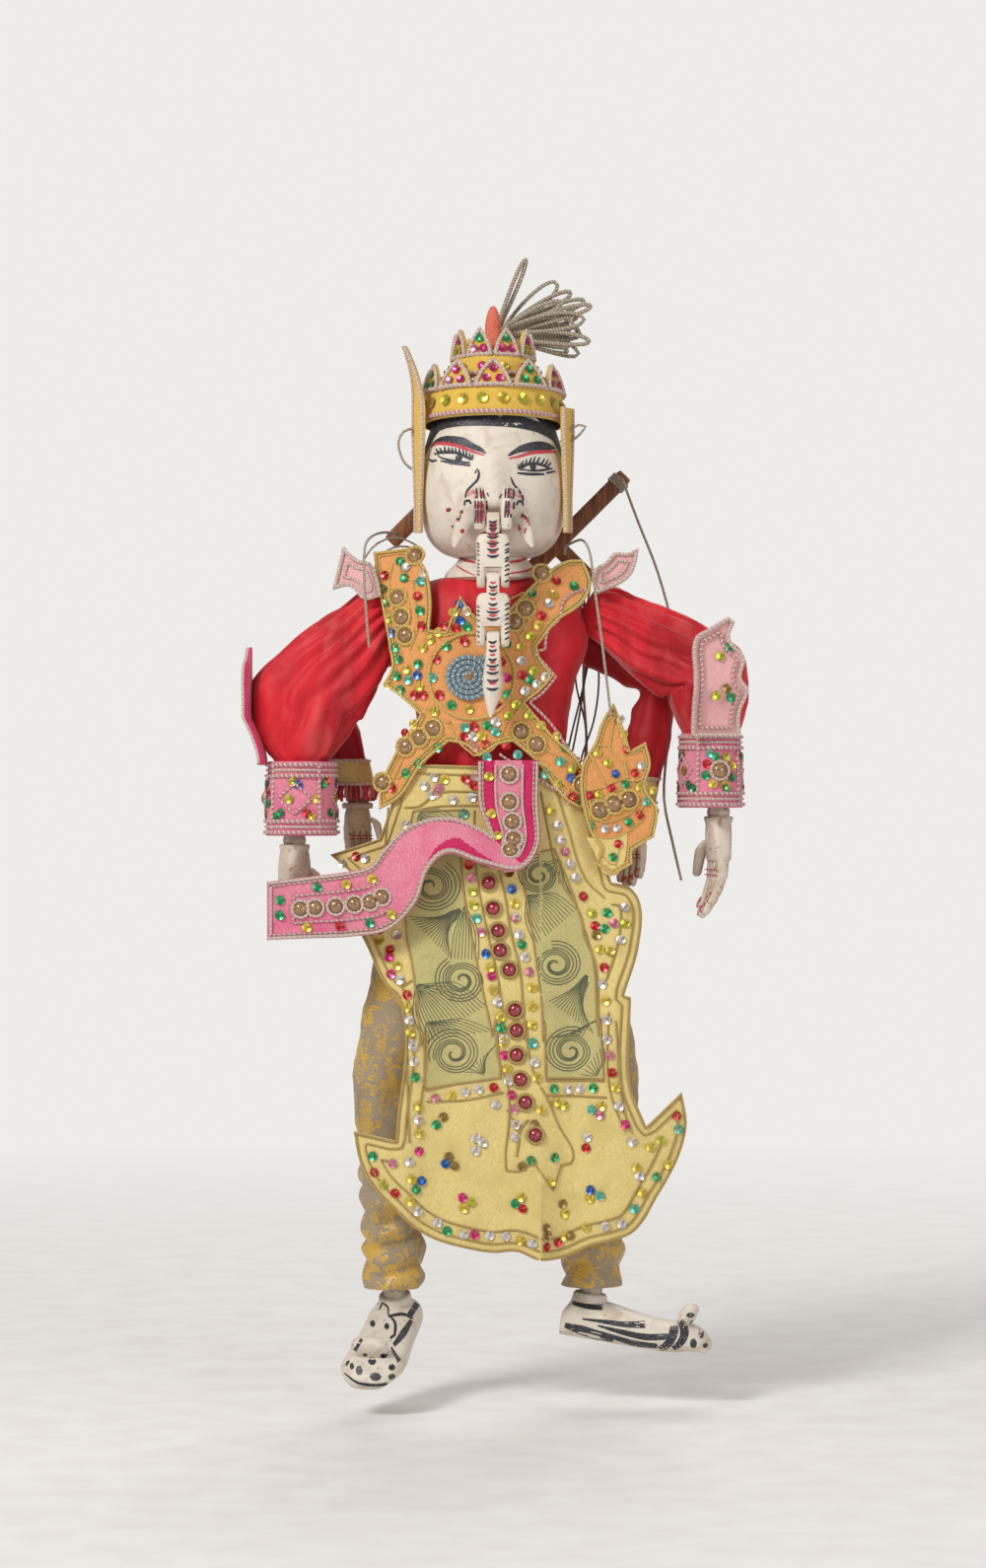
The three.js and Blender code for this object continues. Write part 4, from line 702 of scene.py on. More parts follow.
def fill(outline, cell):
    """Triangles over an outline, with inner points a cell apart so that the sheet can bend."""
    xs, zs = [p.x for p in outline], [p.y for p in outline]
    grown = np.array([(p.x, p.y) for p in outline])
    flat = [Vector((p.x, p.y)) for p in outline]
    edges = [(i, (i + 1) % len(outline)) for i in range(len(outline))]
    rows = int((max(zs) - min(zs)) / cell) + 1
    columns = int((max(xs) - min(xs)) / cell) + 1
    for r in range(rows):
        for c in range(columns):
            x = min(xs) + (c + 0.5 * (r % 2)) * cell
            z = min(zs) + r * cell
            far = np.min(np.hypot(grown[:, 0] - x, grown[:, 1] - z)) > cell * 0.5
            if far and inside(outline, x, z):
                flat.append(Vector((x, z)))
    found, _, faces, *_ = delaunay_2d_cdt(flat, edges, [], 1, 1e-4, False)
    kept = []
    for face in faces:
        centre = sum((found[i] for i in face), Vector((0, 0))) / 3
        if inside(outline, centre.x, centre.y):
            kept.append(tuple(face))
    return [(p.x, p.y) for p in found], kept


def plate_faces(triangles, count, flip=False):
    """The front of a plate, then its rim, then its back, whose points come count after the front's."""
    front = [face[::-1] if flip else face for face in triangles]
    edges = {(a, b): None for face in front for a, b in zip(face, face[1:] + face[:1])}
    rim = [(a, b, b + count, a + count) for a, b in edges if (b, a) not in edges]
    return front + rim + [tuple(i + count for i in face[::-1]) for face in front]


def felt(name, outline, front, thickness, look, body, cell=4.0, second=None):
    """A cut piece of felt. front(x, z) is its front face's depth, and second the look of its back."""
    flat, triangles = fill(outline, cell)
    fuzz = [0.12 * noise.noise(Vector((x, z, 3)) * 0.9) for x, z in flat]
    points = [Vector((x, front(x, z) + f, z)) for (x, z), f in zip(flat, fuzz)]
    points += [Vector((x, front(x, z) + thickness, z)) for x, z in flat]
    faces = plate_faces(triangles, len(flat), flip=True)
    back_from = len(faces) - len(triangles)
    return new_mesh(name, points, faces, look, body, second=second, second_from=back_from)


def declare_sheet(outline):
    xs, zs = [p.x for p in outline], [p.y for p in outline]
    area = abs(area_of(outline)) * MM * MM


def tube_cut(points, rows, around):
    """The flat size in metres of the cloth of a tube: how far it goes round, and how long it is."""
    rings = [points[r * around:(r + 1) * around] for r in range(rows)]
    girth = sum(length_of(ring + ring[:1]) for ring in rings) / rows
    centres = [sum(ring, Vector()) / around for ring in rings]
    return girth * MM, length_of(centres) * MM


# Floor and light
def area_light(name, place, size, power):
    lamp = bpy.data.lights.new(name, "AREA")
    lamp.size, lamp.energy = size, power
    holder = bpy.data.objects.new(name, lamp)
    bpy.context.scene.collection.objects.link(holder)
    holder.location = world(place)
    aim = world((0, 0, 20)) - holder.location
    holder.rotation_euler = aim.to_track_quat("-Z", "Y").to_euler()


area_light("key", (-1200, -1500, 1300), 0.6, 38)
area_light("fill", (1500, -1600, 300), 1.2, 12)
area_light("back", (300, 1500, 1300), 1.2, 16)

WALL = (0.86, 0.84, 0.82)
floor_level = -372
floor_look = Look("floor", roughness=0.9)
camera_ray = floor_look.node("LightPath").outputs["Is Camera Ray"]
speckle = floor_look.between(floor_look.grain(30, 3), 0.3, 0.7)
tone = floor_look.mix(speckle, (0.74, 0.71, 0.68), (0.8, 0.78, 0.75))
floor_look.paint(tone)
far_off = floor_look.node("VectorMath", {0: floor_look.place}, operation="LENGTH").outputs["Value"]
pale = floor_look.node("Emission", {"Color": (*WALL, 1), "Strength": 1}).outputs[0]
share = floor_look.math("MULTIPLY", camera_ray, floor_look.between(far_off, 0.45, 1.7))
blended = floor_look.node("MixShader", {0: share, 1: floor_look.shader.outputs[0], 2: pale}).outputs[0]
floor_look.tree.links.new(blended, floor_look.tree.nodes["Material Output"].inputs["Surface"])
floor_mesh = bpy.data.meshes.new("floor")
reach = 2600
corners = [(-reach, -reach), (reach, -reach), (reach, reach), (-reach, reach)]
floor_mesh.from_pydata([world((x, y, floor_level)) for x, y in corners], [], [(0, 1, 2, 3)])
floor_mesh.materials.append(floor_look.material)
floor = bpy.data.objects.new("floor", floor_mesh)
bpy.context.scene.collection.objects.link(floor)

air = bpy.data.worlds.new("air")
bpy.context.scene.world = air
air.use_nodes = True
air_nodes, air_links = air.node_tree.nodes, air.node_tree.links
background = air_nodes["Background"]
background.inputs["Color"].default_value = (0.86, 0.83, 0.81, 1)
background.inputs["Strength"].default_value = 0.42
shown = air_nodes.new("ShaderNodeBackground")
shown.inputs["Color"].default_value = (*WALL, 1)
shown.inputs["Strength"].default_value = 1
either = air_nodes.new("ShaderNodeMixShader")
rays = air_nodes.new("ShaderNodeLightPath")
air_links.new(rays.outputs["Is Camera Ray"], either.inputs[0])
air_links.new(background.outputs[0], either.inputs[1])
air_links.new(shown.outputs[0], either.inputs[2])
air_links.new(either.outputs[0], air_nodes["World Output"].inputs["Surface"])
bpy.context.scene.view_settings.view_transform = "Standard"


# Cords. The four long strings follow the same points as their CAD solids.
def string(
    name, points, body, replaces=None,
    radius=0.8, step=4, look="cotton_cord",
):
    path = flowing(points, step=step, corner=80)
    mesh_points, faces, uvs = tube(path, radius, 8)
    piece = new_mesh(name, mesh_points, faces, look, body, uvs)
    if replaces:
        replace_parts(piece, replaces)
    ends = [world(point) for point in path]
    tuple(ends[0])
    length_of(path) * MM
    return piece


string_routes = {
    "string_shoulder": [
        (-58, 60, 150), (-62, 46, 150), (-67, 26, 149), (-73, 4, 145), (-76, -18, 137),
        (-76, -32, 121), (-75, -35, 104), (-74, -34, 90), (-73, -32, 78),
    ],
    "string_hip": [
        (44, 60, 138), (44, 44, 141), (49, 20, 143), (54, -6, 142), (57.5, -28, 132),
        (59.5, -37, 114), (63, -39, 88), (66.5, -39, 60), (69.5, -36, 36),
    ],
    "string_back": [
        (60, 67, 124), (58, 61, 106), (56, 53, 84), (55, 43, 56), (56.5, 30, 26), (56, 18, 2),
        (54.5, 9, -24),
    ],
    "string_hand": [
        (79, 57, 184), (88, 60, 160), (101, 57, 126), (110, 51, 88), (110, 42, 48), (105, 32, 14),
        (103, 20, -12), (107, 4, -36), (112, -8, -60),
    ],
}
for name, points in string_routes.items():
    string(name, points, "torso", name, step=9)

# Spare strings: dark ones behind the right arm, whose dark colour is painted shade from the arm, and short
# loops beside the neck
spare_routes = {
    "spare_string_a": [(55, 40, 112), (57, 34, 90), (56, 28, 66), (52, 24, 38), (46, 20, 8), (40, 18, -20)],
    "spare_string_b": [(62, 40, 104), (60, 33, 84), (55, 27, 58), (48, 23, 30), (42, 19, 4), (36, 18, -22)],
    "spare_string_c": [(50, 42, 116), (60, 36, 92), (64, 30, 62), (61, 26, 36), (53, 22, 12), (48, 19, -16)],
    "spare_string_d": [(58, 44, 108), (52, 36, 88), (50, 30, 60), (56, 25, 30), (54, 21, 6), (44, 18, -18)],
    "neck_string_a": [(-44, 22, 138), (-52, 18, 140), (-60, 12, 139), (-67, 6, 134), (-71, 2, 126)],
    "neck_string_b": [(-44, 22, 134), (-50, 17, 135), (-57, 12, 133), (-62, 7, 128), (-65, 3, 120)],
    "neck_string_c": [(-46, 23, 141), (-55, 19, 145), (-65, 14, 144), (-73, 8, 138), (-78, 3, 130)],
}
for name, points in spare_routes.items():
    cord_look = "dark_cord" if "spare" in name else "cotton_cord"
    string(name, points, "torso", radius=0.6, step=5, look=cord_look)

# The head's spare cord: a hank of loops tied behind the spire, in one unbroken length
head_at = local("head_nod")
tuft_loops = [
    (52, 9, 6.5, -2), (46, 6, 6, 3), (50, 1, 6, 8), (44, -5, 5.5, 13), (49, -10, 6, 18), (36, 31, 8, -7),
]
tuft_start = head_at + Vector((3, 20, 116))
tuft_steps, tuft_pitch = 14, 2.6
tuft_path = []
for n, (loop_reach, rise, wide, lean) in enumerate(tuft_loops):
    for i in range(tuft_steps):
        t = i / tuft_steps * 2 * pi
        out = (1 - cos(t)) / 2
        tuft_path.append(tuft_start + Vector((
            out * loop_reach,
            (n + i / tuft_steps) * tuft_pitch + lean * 0.2 * out,
            out * rise + sin(t) * wide * (0.4 + 0.6 * out) + 8 * out * (1 - out),
        )))
string("string_tuft", tuft_path, "head", "string_tuft", radius=1.2, step=3)


def loose_loop(name, reach, rise, wide, lean):
    """One long loop of cord that leaves the tuft's knot and comes back to it."""
    path, steps = [], 26
    for i in range(steps + 1):
        t = i / steps * 2 * pi
        out = (1 - cos(t)) / 2
        path.append(tuft_start + Vector((
            -2 + out * reach,
            2 + i / steps * 5 + lean * out,
            out * rise + sin(t) * wide * (0.35 + 0.65 * out) - 1 + 5 * out * (1 - out),
        )))
    string(name, path, "head", radius=1.3, step=3)


for n, shape in enumerate((
    (19, 46, 6, 2), (54, 22, 4.5, 4), (58, 18, 4, -3), (46, 27, 5, 6), (50, 13, 4, 9), (57, -3, 4.5, -2),
    (51, 4, 4, 5), (44, -8, 4, 8), (40, 20, 4.5, -4),
)):
    loose_loop(f"tuft_loop_{n}", *shape)

ear_loops = {
    "ear_string_left": [(-48, -14, 184), (-52, -16, 187), (-55, -17, 193), (-56, -18, 200), (-53, -17, 206),
                        (-48, -15, 208)],
    "ear_string_right": [(40, -14, 200), (45, -16, 206), (51, -18, 210), (55, -18, 209), (52, -17, 205),
                         (46, -15, 200), (41, -13, 196)],
}
for name, points in ear_loops.items():
    string(name, points, "head", radius=0.8, step=3)


# Head: a full, rounded face, with the fork of the nose and two tusks carved on it
head_rings = [
    (-20, 0.5, 0.52, 0), (-17, 0.68, 0.72, 0), (-9, 0.86, 0.9, 0), (4, 0.96, 0.98, 0), (18, 1, 1, 0),
    (36, 0.97, 1, 1), (54, 0.86, 0.93, 2), (64, 0.77, 0.84, 2), (72, 0.65, 0.71, 2), (79, 0.42, 0.46, 2),
    (82, 0.15, 0.17, 2),
]
head_half_width, head_half_depth = 44.5, 42


def smooth_value(table, z, column):
    """A value from a table of rows that start with z, along a smooth curve."""
    rows = sorted(table)
    k = max(0, min(len(rows) - 2, sum(1 for row in rows if row[0] <= z) - 1))
    before, after = rows[max(0, k - 1)], rows[min(len(rows) - 1, k + 2)]
    start, end = rows[k], rows[k + 1]
    span = end[0] - start[0]
    leave = (end[column] - before[column]) / max(1e-6, end[0] - before[0]) * span
    arrive = (after[column] - start[column]) / max(1e-6, after[0] - start[0]) * span
    return curve_between(start[column], end[column], leave, arrive, (z - start[0]) / span)


def bump(x, z, at, wide, tall, high):
    return high * np.exp(-(((x - at[0]) / wide) ** 2) - ((z - at[1]) / tall) ** 2)


def face_relief(x, z):
    """How far the face stands out from the plain skull, at x and z from the neck's ball."""
    bridge = 12.5 * np.exp(-((x / (4 + 0.22 * max(0, 44 - z))) ** 2)) * np.clip((46 - z) / 30, 0, 1) ** 1.4
    bridge *= np.clip((z + 2) / 10, 0, 1)
    cheeks = sum(bump(x, z, (side * 21, 8), 13, 13, 2.2) for side in (-1, 1))
    sockets = sum(bump(x, z, (side * 21, 34), 12, 6, -1.6) for side in (-1, 1))
    brows = sum(bump(x, z, (side * 20, 46), 15, 4, 0.9) for side in (-1, 1))
    mouth = bump(x, z, (-3, -11), 9, 4, -2.2)
    chin = bump(x, z, (0, -18), 12, 4, 1.0)
    nostrils = sum(bump(x, z, (side * 11, 11), 5, 7, 5.5) for side in (-1, 1))
    return bridge + cheeks + sockets + brows + mouth + chin + nostrils


def superellipse(angle, wide, deep, power):
    c, s = cos(angle), sin(angle)
    return (
        wide * np.sign(c) * abs(c) ** (2 / power),
        deep * np.sign(s) * abs(s) ** (2 / power),
    )


def head_surface():
    points, around, levels = [], 96, 60
    low, high = head_rings[0][0], head_rings[-1][0]
    for r in range(levels):
        z = low + (high - low) * (0.5 - 0.5 * cos(pi * r / (levels - 1)))
        wide, deep, back = (smooth_value(head_rings, z, column) for column in (1, 2, 3))
        for k in range(around):
            x, y = superellipse(2 * pi * k / around, wide * head_half_width, deep * head_half_depth, 2.15)
            front = np.clip(-y / (deep * head_half_depth), 0, 1) ** 0.6
            y -= face_relief(x, z) * front
            points.append(head_at + Vector((x, y + back, z)))
    faces = grid_faces(levels, around)
    top, bottom = len(points), len(points) + 1
    points += [head_at + Vector((0, 2, high + 1)), head_at + Vector((0, 0, low))]
    last = (levels - 1) * around
    for k in range(around):
        faces.append((last + k, last + (k + 1) % around, top))
        faces.append(((k + 1) % around, k, bottom))
    return points, faces


skull_points, skull_faces = head_surface()
head_skin = on_solid(skull_points, skull_faces)
hair_from = world(head_at + Vector((0, 3, 10)))
looks["head_paint"] = painted_look(
    "head_paint", (0.69, 0.62, 0.52), (0.47, 0.36, 0.25), WOOD, 0.7, 0.5, hair_from,
)
skull = new_mesh("head_carving", skull_points, skull_faces, "head_paint", "head", sharp=60)
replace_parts(skull, "head_block")


def solid_loft(rings):
    """A closed solid through rings of equally many points."""
    count = len(rings[0])
    points = [Vector(point) for ring in rings for point in ring]
    faces = grid_faces(len(rings), count)
    last = len(points) - count
    faces += [tuple(range(count))[::-1], tuple(range(last, last + count))]
    return points, faces


def ring_at(centre, side, front, count=16, power=2.0):
    """A ring of points round a centre. side and front are its two half-axes."""
    ring = []
    for k in range(count):
        across, ahead = superellipse(2 * pi * k / count, 1, 1, power)
        ring.append(Vector(centre) + Vector(side) * across + Vector(front) * ahead)
    return ring


def stack(at, rows, count=16, power=2.0):
    """A solid through level rings. A row is a ring's centre, from at, and its half width and half depth."""
    return solid_loft([
        ring_at(at + Vector((x, y, z)), (wide, 0, 0), (0, deep, 0), count, power)
        for x, y, z, wide, deep in rows
    ])


def carving(name, solids, look, body):
    """Several solids as one mesh, with its skin seen from the front."""
    heap = Pile()
    for points, faces in solids:
        heap.add(points, faces)
    piece = new_mesh(name, heap.points, heap.faces, look, body, sharp=50)
    return piece, on_solid(heap.points, heap.faces)


# The fork of the nose, and the tusks
nose_pin = head_at + Vector((0, -56, -1))
slot_half, fork_half, pin_radius = 4.3, 11.2, 1.3


def cross_pin(at):
    """A wooden pin from side to side, through a slot."""
    rings = []
    for x in (-slot_half - 1, slot_half + 1):
        rings.append(ring_at(at + Vector((x, 0, 0)), (0, pin_radius, 0), (0, 0, pin_radius), 10))
    return solid_loft(rings)


def fork_arm(side):
    x = side * (slot_half + fork_half) / 2
    half = (fork_half - slot_half) / 2
    rows = ((-5.4, 3.4, 0, 0.85), (-2, 5.2, 0, 1), (6, 6.4, 1.5, 1), (14, 6.5, 6, 1), (20, 4, 9, 0.7))
    return stack(nose_pin, [(x, back, z, half * thin, deep) for z, deep, back, thin in rows], 16, 3.4)


def tusk(side):
    rings = []
    for x, y, z, wide, deep in (
        (23, -50, -16, 1, 1), (21.5, -49.5, -12, 2.6, 2.4), (19, -47, -6, 3.8, 3.4), (16, -43, 1, 4.8, 4.4),
        (12, -38, 6, 5.4, 5),
    ):
        centre = head_at + Vector((side * x, y, z))
        rings.append(ring_at(centre, (wide, 0, side * wide * 0.5), (0, deep, deep * 0.6), 12, 2.3))
    return solid_loft(rings)


fork_solids = [fork_arm(-1), fork_arm(1), tusk(-1), tusk(1)]
_, fork_skin = carving("nose_fork", fork_solids, "white_paint", "head")
carving("nose_pin", [cross_pin(nose_pin)], "bare_wood", "head")


def face_skin(x, z):
    """The nearer of the fork and the head, from in front."""
    found = [place for place in (head_skin(x, z), fork_skin(x, z)) if place]
    return min(found, key=lambda place: place[0].y) if found else None


# The trunk: two clevis links and a tip, each hung from a cross pin
tongue_half, link_half, link_deep, link_pitch = 3.7, 9.75, 5.75, 34.5


def link_tongue(top):
    """The plate that hangs from the pin above, rounded about it."""
    outline = []
    for k in range(9):
        angle = pi * k / 8
        outline.append((4.6 * cos(angle), 4.6 * sin(angle)))
    outline += [(-4.9, -13), (4.9, -13)]
    rings = []
    for x, s in ((tongue_half, 0.92), (tongue_half - 0.6, 1), (-tongue_half + 0.6, 1), (-tongue_half, 0.92)):
        rings.append([top + Vector((x, y * s, z * s if z > 0 else z)) for y, z in outline])
    return solid_loft(rings)


def link_body(top):
    rows = ((-27.5, 0.97, 0.95), (-20, 1.0, 1), (-12, 1.0, 1), (-9.4, 0.9, 0.9), (-8.2, 0.72, 0.75))
    return stack(top, [(0, 0, z, link_half * w, link_deep * d) for z, w, d in rows], 24, 4.5)


def link_arm(top, side):
    wide = (link_half - slot_half - 0.1) / 2
    x = side * (link_half + slot_half) / 2
    below = -link_pitch
    rows = ((below - 4.9, 0.7, 0.45), (below - 3.4, 0.92, 0.8), (below + 1, 1, 0.97), (-25, 1, 1))
    return stack(top, [(x, 0, z, wide * w, link_deep * d) for z, w, d in rows], 16, 3.6)


nose_skins = []
for n, body in enumerate(("nose_upper", "nose_middle")):
    top = nose_pin - Vector((0, 0, n * link_pitch))
    solids = [link_tongue(top), link_body(top), link_arm(top, -1), link_arm(top, 1)]
    link, skin = carving(f"trunk_link_{n + 1}", solids, "white_paint", body)
    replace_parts(link, f"nose_link_{n + 1}")
    nose_skins.append((body, skin))
    carving(f"trunk_pin_{n + 1}", [cross_pin(top - Vector((0, 0, link_pitch)))], "bare_wood", body)

tip_top = nose_pin - Vector((0, 0, 2 * link_pitch))
tip_rows = [
    (-1.5, -1.6, -46, 0.8, 0.8), (-1.1, -1.2, -41, 2.6, 2.2), (-0.6, -0.7, -36, 4.2, 3.4),
    (-0.3, -0.3, -30, 5.6, 4.6), (0, 0, -24, 6.2, 5.2), (0, 0, -18, 5.4, 5.1), (0, 0, -12, 4.6, 4.8),
    (0, 0, -6.6, 4, 4.3),
]
tip_solids = [link_tongue(tip_top), stack(tip_top, tip_rows, 20, 2.5)]
tip, tip_skin = carving("trunk_tip", tip_solids, "white_paint", "nose_lower")
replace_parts(tip, "nose_tip")
nose_skins.append(("nose_lower", tip_skin))


# Neck, with its flared foot
neck_at = local("neck_turn")
neck_profile = [(0, 0.3), (27, 0.3), (29, 1.6), (28.6, 4), (24.6, 8.6), (20.6, 13), (19.2, 17), (20.4, 24),
                (22.4, 31), (22.8, 36), (20.5, 44), (14, 52), (0, 57)]


def turned(profile, at, around=48, step=2.0, tilt=None):
    """A solid turned about an upright axis, from (radius, height) points."""
    line = flowing(profile, step=step, corner=60)
    points = []
    for radius, height in line:
        for k in range(around):
            angle = 2 * pi * k / around
            point = Vector((radius * cos(angle), radius * sin(angle), height))
            points.append(at + (tilt @ point if tilt else point))
    return points, grid_faces(len(line), around)


neck_piece, neck_skin = carving("neck", [turned(neck_profile, neck_at)], "white_paint", "neck")
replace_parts(neck_piece, "neck_block")

# Crown: a felt band with two tiers of leaf points, and a spire
crown_at = head_at + Vector((0, 2, 59))
crown_tilt = Matrix.Rotation(radians(-4), 3, "X")
band_radius, band_tall, upper_radius, upper_tall, top_radius = 43, 20, 30, 22, 22


def crown_point(radius, height, angle):
    """Angle 0 faces the viewer and grows to the viewer's right."""
    return crown_at + crown_tilt @ Vector((radius * sin(angle), -radius * cos(angle), height))


def band_reach(height):
    """The shell's radius at a height over the crown's rim."""
    reaches = (band_radius, band_radius - 2, band_radius - 3.5, upper_radius + 1, top_radius)
    return np.interp(height, (0, 19, 21, 26, 42), reaches)


crown_profile = [(band_radius - 2.2, 0), (band_radius, 0.4), (band_radius - 1, 10), (band_radius - 2, 19.4),
                 (upper_radius + 3, 22.4), (upper_radius, 26), (top_radius + 1, 41), (top_radius - 1, 42.6),
                 (0, 43)]
inner_profile = [(0, 39), (top_radius - 3, 38), (upper_radius - 3, 22), (band_radius - 5, 17),
                 (band_radius - 2.4, 0)]
crown_solids = [turned(profile, crown_at, 72, tilt=crown_tilt) for profile in (crown_profile, inner_profile)]
crown_shell, _ = carving("crown_band", crown_solids, "crown_felt", "head")
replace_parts(crown_shell, "crown")


def on_crown(x, height):
    """x runs round the band in millimetres from its front."""
    radius = band_reach(height)
    angle = x / band_radius
    normal = crown_tilt @ Vector((sin(angle), -cos(angle), 0.12))
    return crown_point(radius, height, angle), normal.normalized()


for height, look, radius, lift in (
    (2.2, "rose_cord", 1.3, 0.9), (18.2, "rose_cord", 1.3, 0.9), (21.5, "cream_cord", 1.0, 0.6),
    (27, "rose_cord", 1.2, 0.9), (40.5, "rose_cord", 1.1, 0.8),
):
    path = [crown_point(band_reach(height) + lift, height, 2 * pi * k / 96) for k in range(97)]
    pile(look, "head").add(*tube(path, radius, 6))
for k in range(22):
    sequin(on_crown, band_radius * 2 * pi * (k + 0.5) / 22, 10.2, "gy"[k % 2], "head", 3.4)

lower_teeth, upper_teeth = 11, 9


def tooth(angle, radius, base, wide, lean, letters):
    """One leaf point: a piece of felt edged with cord, with three sequins."""
    tall = 15
    half, neck = wide / 2, wide * 0.3
    corners = [(-half, -2.5), (half, -2.5), (neck, tall * 0.5), (0, tall), (-neck, tall * 0.5)]
    outline = flowing(corners, True, 1.6)
    turn = Matrix.Rotation(angle, 3, "Z") @ Matrix.Rotation(radians(-lean), 3, "X")
    foot = Vector((radius * sin(angle), -radius * cos(angle), base))

    def place(x, y, z):
        return crown_at + crown_tilt @ (foot + turn @ Vector((x, y, z)))

    def skin(x, z):
        bow = -x * x * 0.012
        return place(x, -bow, z), (crown_tilt @ (turn @ Vector((0, -1, 0)))).normalized()

    flat, triangles = fill(outline, 2.6)
    points = [skin(x, z)[0] for x, z in flat]
    points += [point - skin(0, 0)[1] * 1.8 for point in points]
    pile("crown_felt", "head").add(points, plate_faces(triangles, len(flat), flip=True))
    cord_on(skin, inset(outline, 0.7), "cream_cord", "head", 1.15, closed=True)
    spots = [(0, tall * 0.55), (-wide * 0.17, tall * 0.13), (wide * 0.17, tall * 0.13)]
    sequins(skin, spots, letters, "head", 2.7)


lower_wide = 2 * pi * band_radius / lower_teeth - 1.5
for k in range(lower_teeth):
    letters = ("mmm", "nnn", "mpm", "mnn")[k % 4]
    tooth(2 * pi * k / lower_teeth, band_radius - 1.4, band_tall, lower_wide, 16, letters)
upper_wide = 2 * pi * top_radius / upper_teeth + 1
upper_foot = band_tall + upper_tall - 1
for k in range(upper_teeth):
    letters = ("nmm", "myg", "npm")[k % 3]
    tooth(2 * pi * (k + 0.5) / upper_teeth, top_radius + 1.6, upper_foot, upper_wide, 6, letters)
for k in range(14):
    sequin(on_crown, band_radius * 2 * pi * (k + 0.5) / 14, 31.5, "gmyn"[k % 4], "head", 2.8)

spire_profile = [(0, 0), (9, 0), (8.6, 3), (6.4, 8), (5.2, 12), (4.6, 20), (3, 27), (1.2, 30), (0, 30.4)]
spire_at = crown_at + crown_tilt @ Vector((0, 0, 42.3))
spire_solid = turned(spire_profile, spire_at, 24, 1.5, crown_tilt)
spire, _ = carving("crown_spire_felt", [spire_solid], "coral_felt", "head")
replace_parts(spire, "crown_spire")

# Ear flaps hang from the crown's rim. The left one curls up into a horn.
flap_forward, flap_bottom, horn_top, horn_from = radians(25), -6, 104, 68


def ear_flap(side, top, name):
    out = Vector((side * cos(flap_forward), -sin(flap_forward), 0))
    along = Vector((side * sin(flap_forward), cos(flap_forward), 0))
    rings, edges = [], ([], [])
    for i in range(31):
        z = flap_bottom + (top - flap_bottom) * i / 30
        horn = max(0, (z - horn_from) / (horn_top - horn_from))
        wide = min(8, 4.2 + 3.8 * max(0, z - flap_bottom - 18) / 40) * (1 - 0.9 * horn)
        centre = head_at + out * (band_radius + 5.1 + 9 * horn * horn) + Vector((0, 2, z))
        rings.append(ring_at(centre, out * 1.1, along * wide, 16, 3))
        for edge, way in zip(edges, (-1, 1)):
            edge.append(centre + along * (way * wide * 0.86) + out * 1.2)
    piece, _ = carving(name, [solid_loft(rings)], "crown_felt", "head")
    for edge in edges:
        pile("cream_cord", "head").add(*tube(edge, 1.1, 6))
    return piece


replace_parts(ear_flap(-1, horn_top, "ear_flap_horn"), "ear_flap_left")
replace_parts(ear_flap(1, horn_from, "ear_flap_plain"), "ear_flap_right")


# Jacket: red satin over the chest, closed round the neck and open below
chest_rings = [
    (-9, 44, 28), (4, 40, 26.5), (30, 42, 28), (60, 47, 31), (84, 54, 31), (100, 52, 28), (111, 46, 24),
    (118, 35, 19), (120, 28, 15),
]
jacket_low, jacket_top, jacket_rows, jacket_around = -9, 120, 70, 120
cloth_gap, satin_thickness, felt_thickness = 0.9, 1.8, 2


def wrinkle(point, size, height, seed=0.0):
    return noise.noise(Vector(point) / size + Vector((seed, 0, 0))) * height


def jacket_points():
    points = []
    for r in range(jacket_rows):
        z = jacket_low + (jacket_top - jacket_low) * r / (jacket_rows - 1)
        wide = smooth_value(chest_rings, z, 1) + cloth_gap + satin_thickness
        deep = smooth_value(chest_rings, z, 2) + cloth_gap + satin_thickness
        gather = np.clip((34 - z) / 40, 0, 1)
        for k in range(jacket_around):
            angle = 2 * pi * k / jacket_around
            x, y = superellipse(angle, wide, deep, 2.4)
            drape = gather * (1.1 * cos(14 * angle + z / 16) + 0.6 * cos(23 * angle - z / 22))
            drape += wrinkle((x, y, z * 0.6), 17, 1.5) + wrinkle((x, y, z), 7, 0.5, 4)
            grow = 1 + drape / hypot(x, y)
            points.append(Vector((x * grow, y * grow, z)))
    return points, grid_faces(jacket_rows, jacket_around)


jacket_at, jacket_faces = jacket_points()
jacket = new_mesh("jacket_cloth", jacket_at, jacket_faces, "red_satin", "torso")
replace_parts(jacket, "jacket")
jacket_cut = tube_cut(jacket_at, jacket_rows, jacket_around)

# Collar: the felt breastplate, with its straps over the shoulders
collar_points = [
    (-71, 135), (-50, 137), (-40, 125), (-36, 105), (-37, 88), (-28, 87), (-23, 99), (-19, 108),
    (-13, 99), (-7, 94), (3, 94), (12, 103), (28, 119), (43, 129), (53, 130), (58, 116), (52, 103),
    (38, 93), (26, 78), (28, 71), (36, 61), (28, 52), (19, 45), (35, 26), (51, 10), (56, -6),
    (52, -18), (42, -12), (26, 9), (12, 22), (3, 20), (-8, 13), (-17, 20), (-26, 22), (-41, 9),
    (-55, -11), (-67, -18), (-67, -6), (-58, 15), (-43, 38), (-55, 49), (-65, 56), (-60, 66),
    (-61, 76), (-65, 99), (-68.5, 116),
]
collar_front, collar_curve, collar_stands_from = 36.6, 0.0035, 100


def collar_depth(x, z):
    return -collar_front + collar_curve * x * x + 0.35 * max(0, z - collar_stands_from) - felt_thickness


collar_outline = flowing(collar_points, closed=True, step=2.2, corner=46)
collar_skin = on_sheet(collar_depth)
collar = felt("collar_felt", collar_outline, collar_depth, felt_thickness, "orange_felt", "torso", 3.6)
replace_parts(collar, "collar")
declare_sheet(collar_outline)

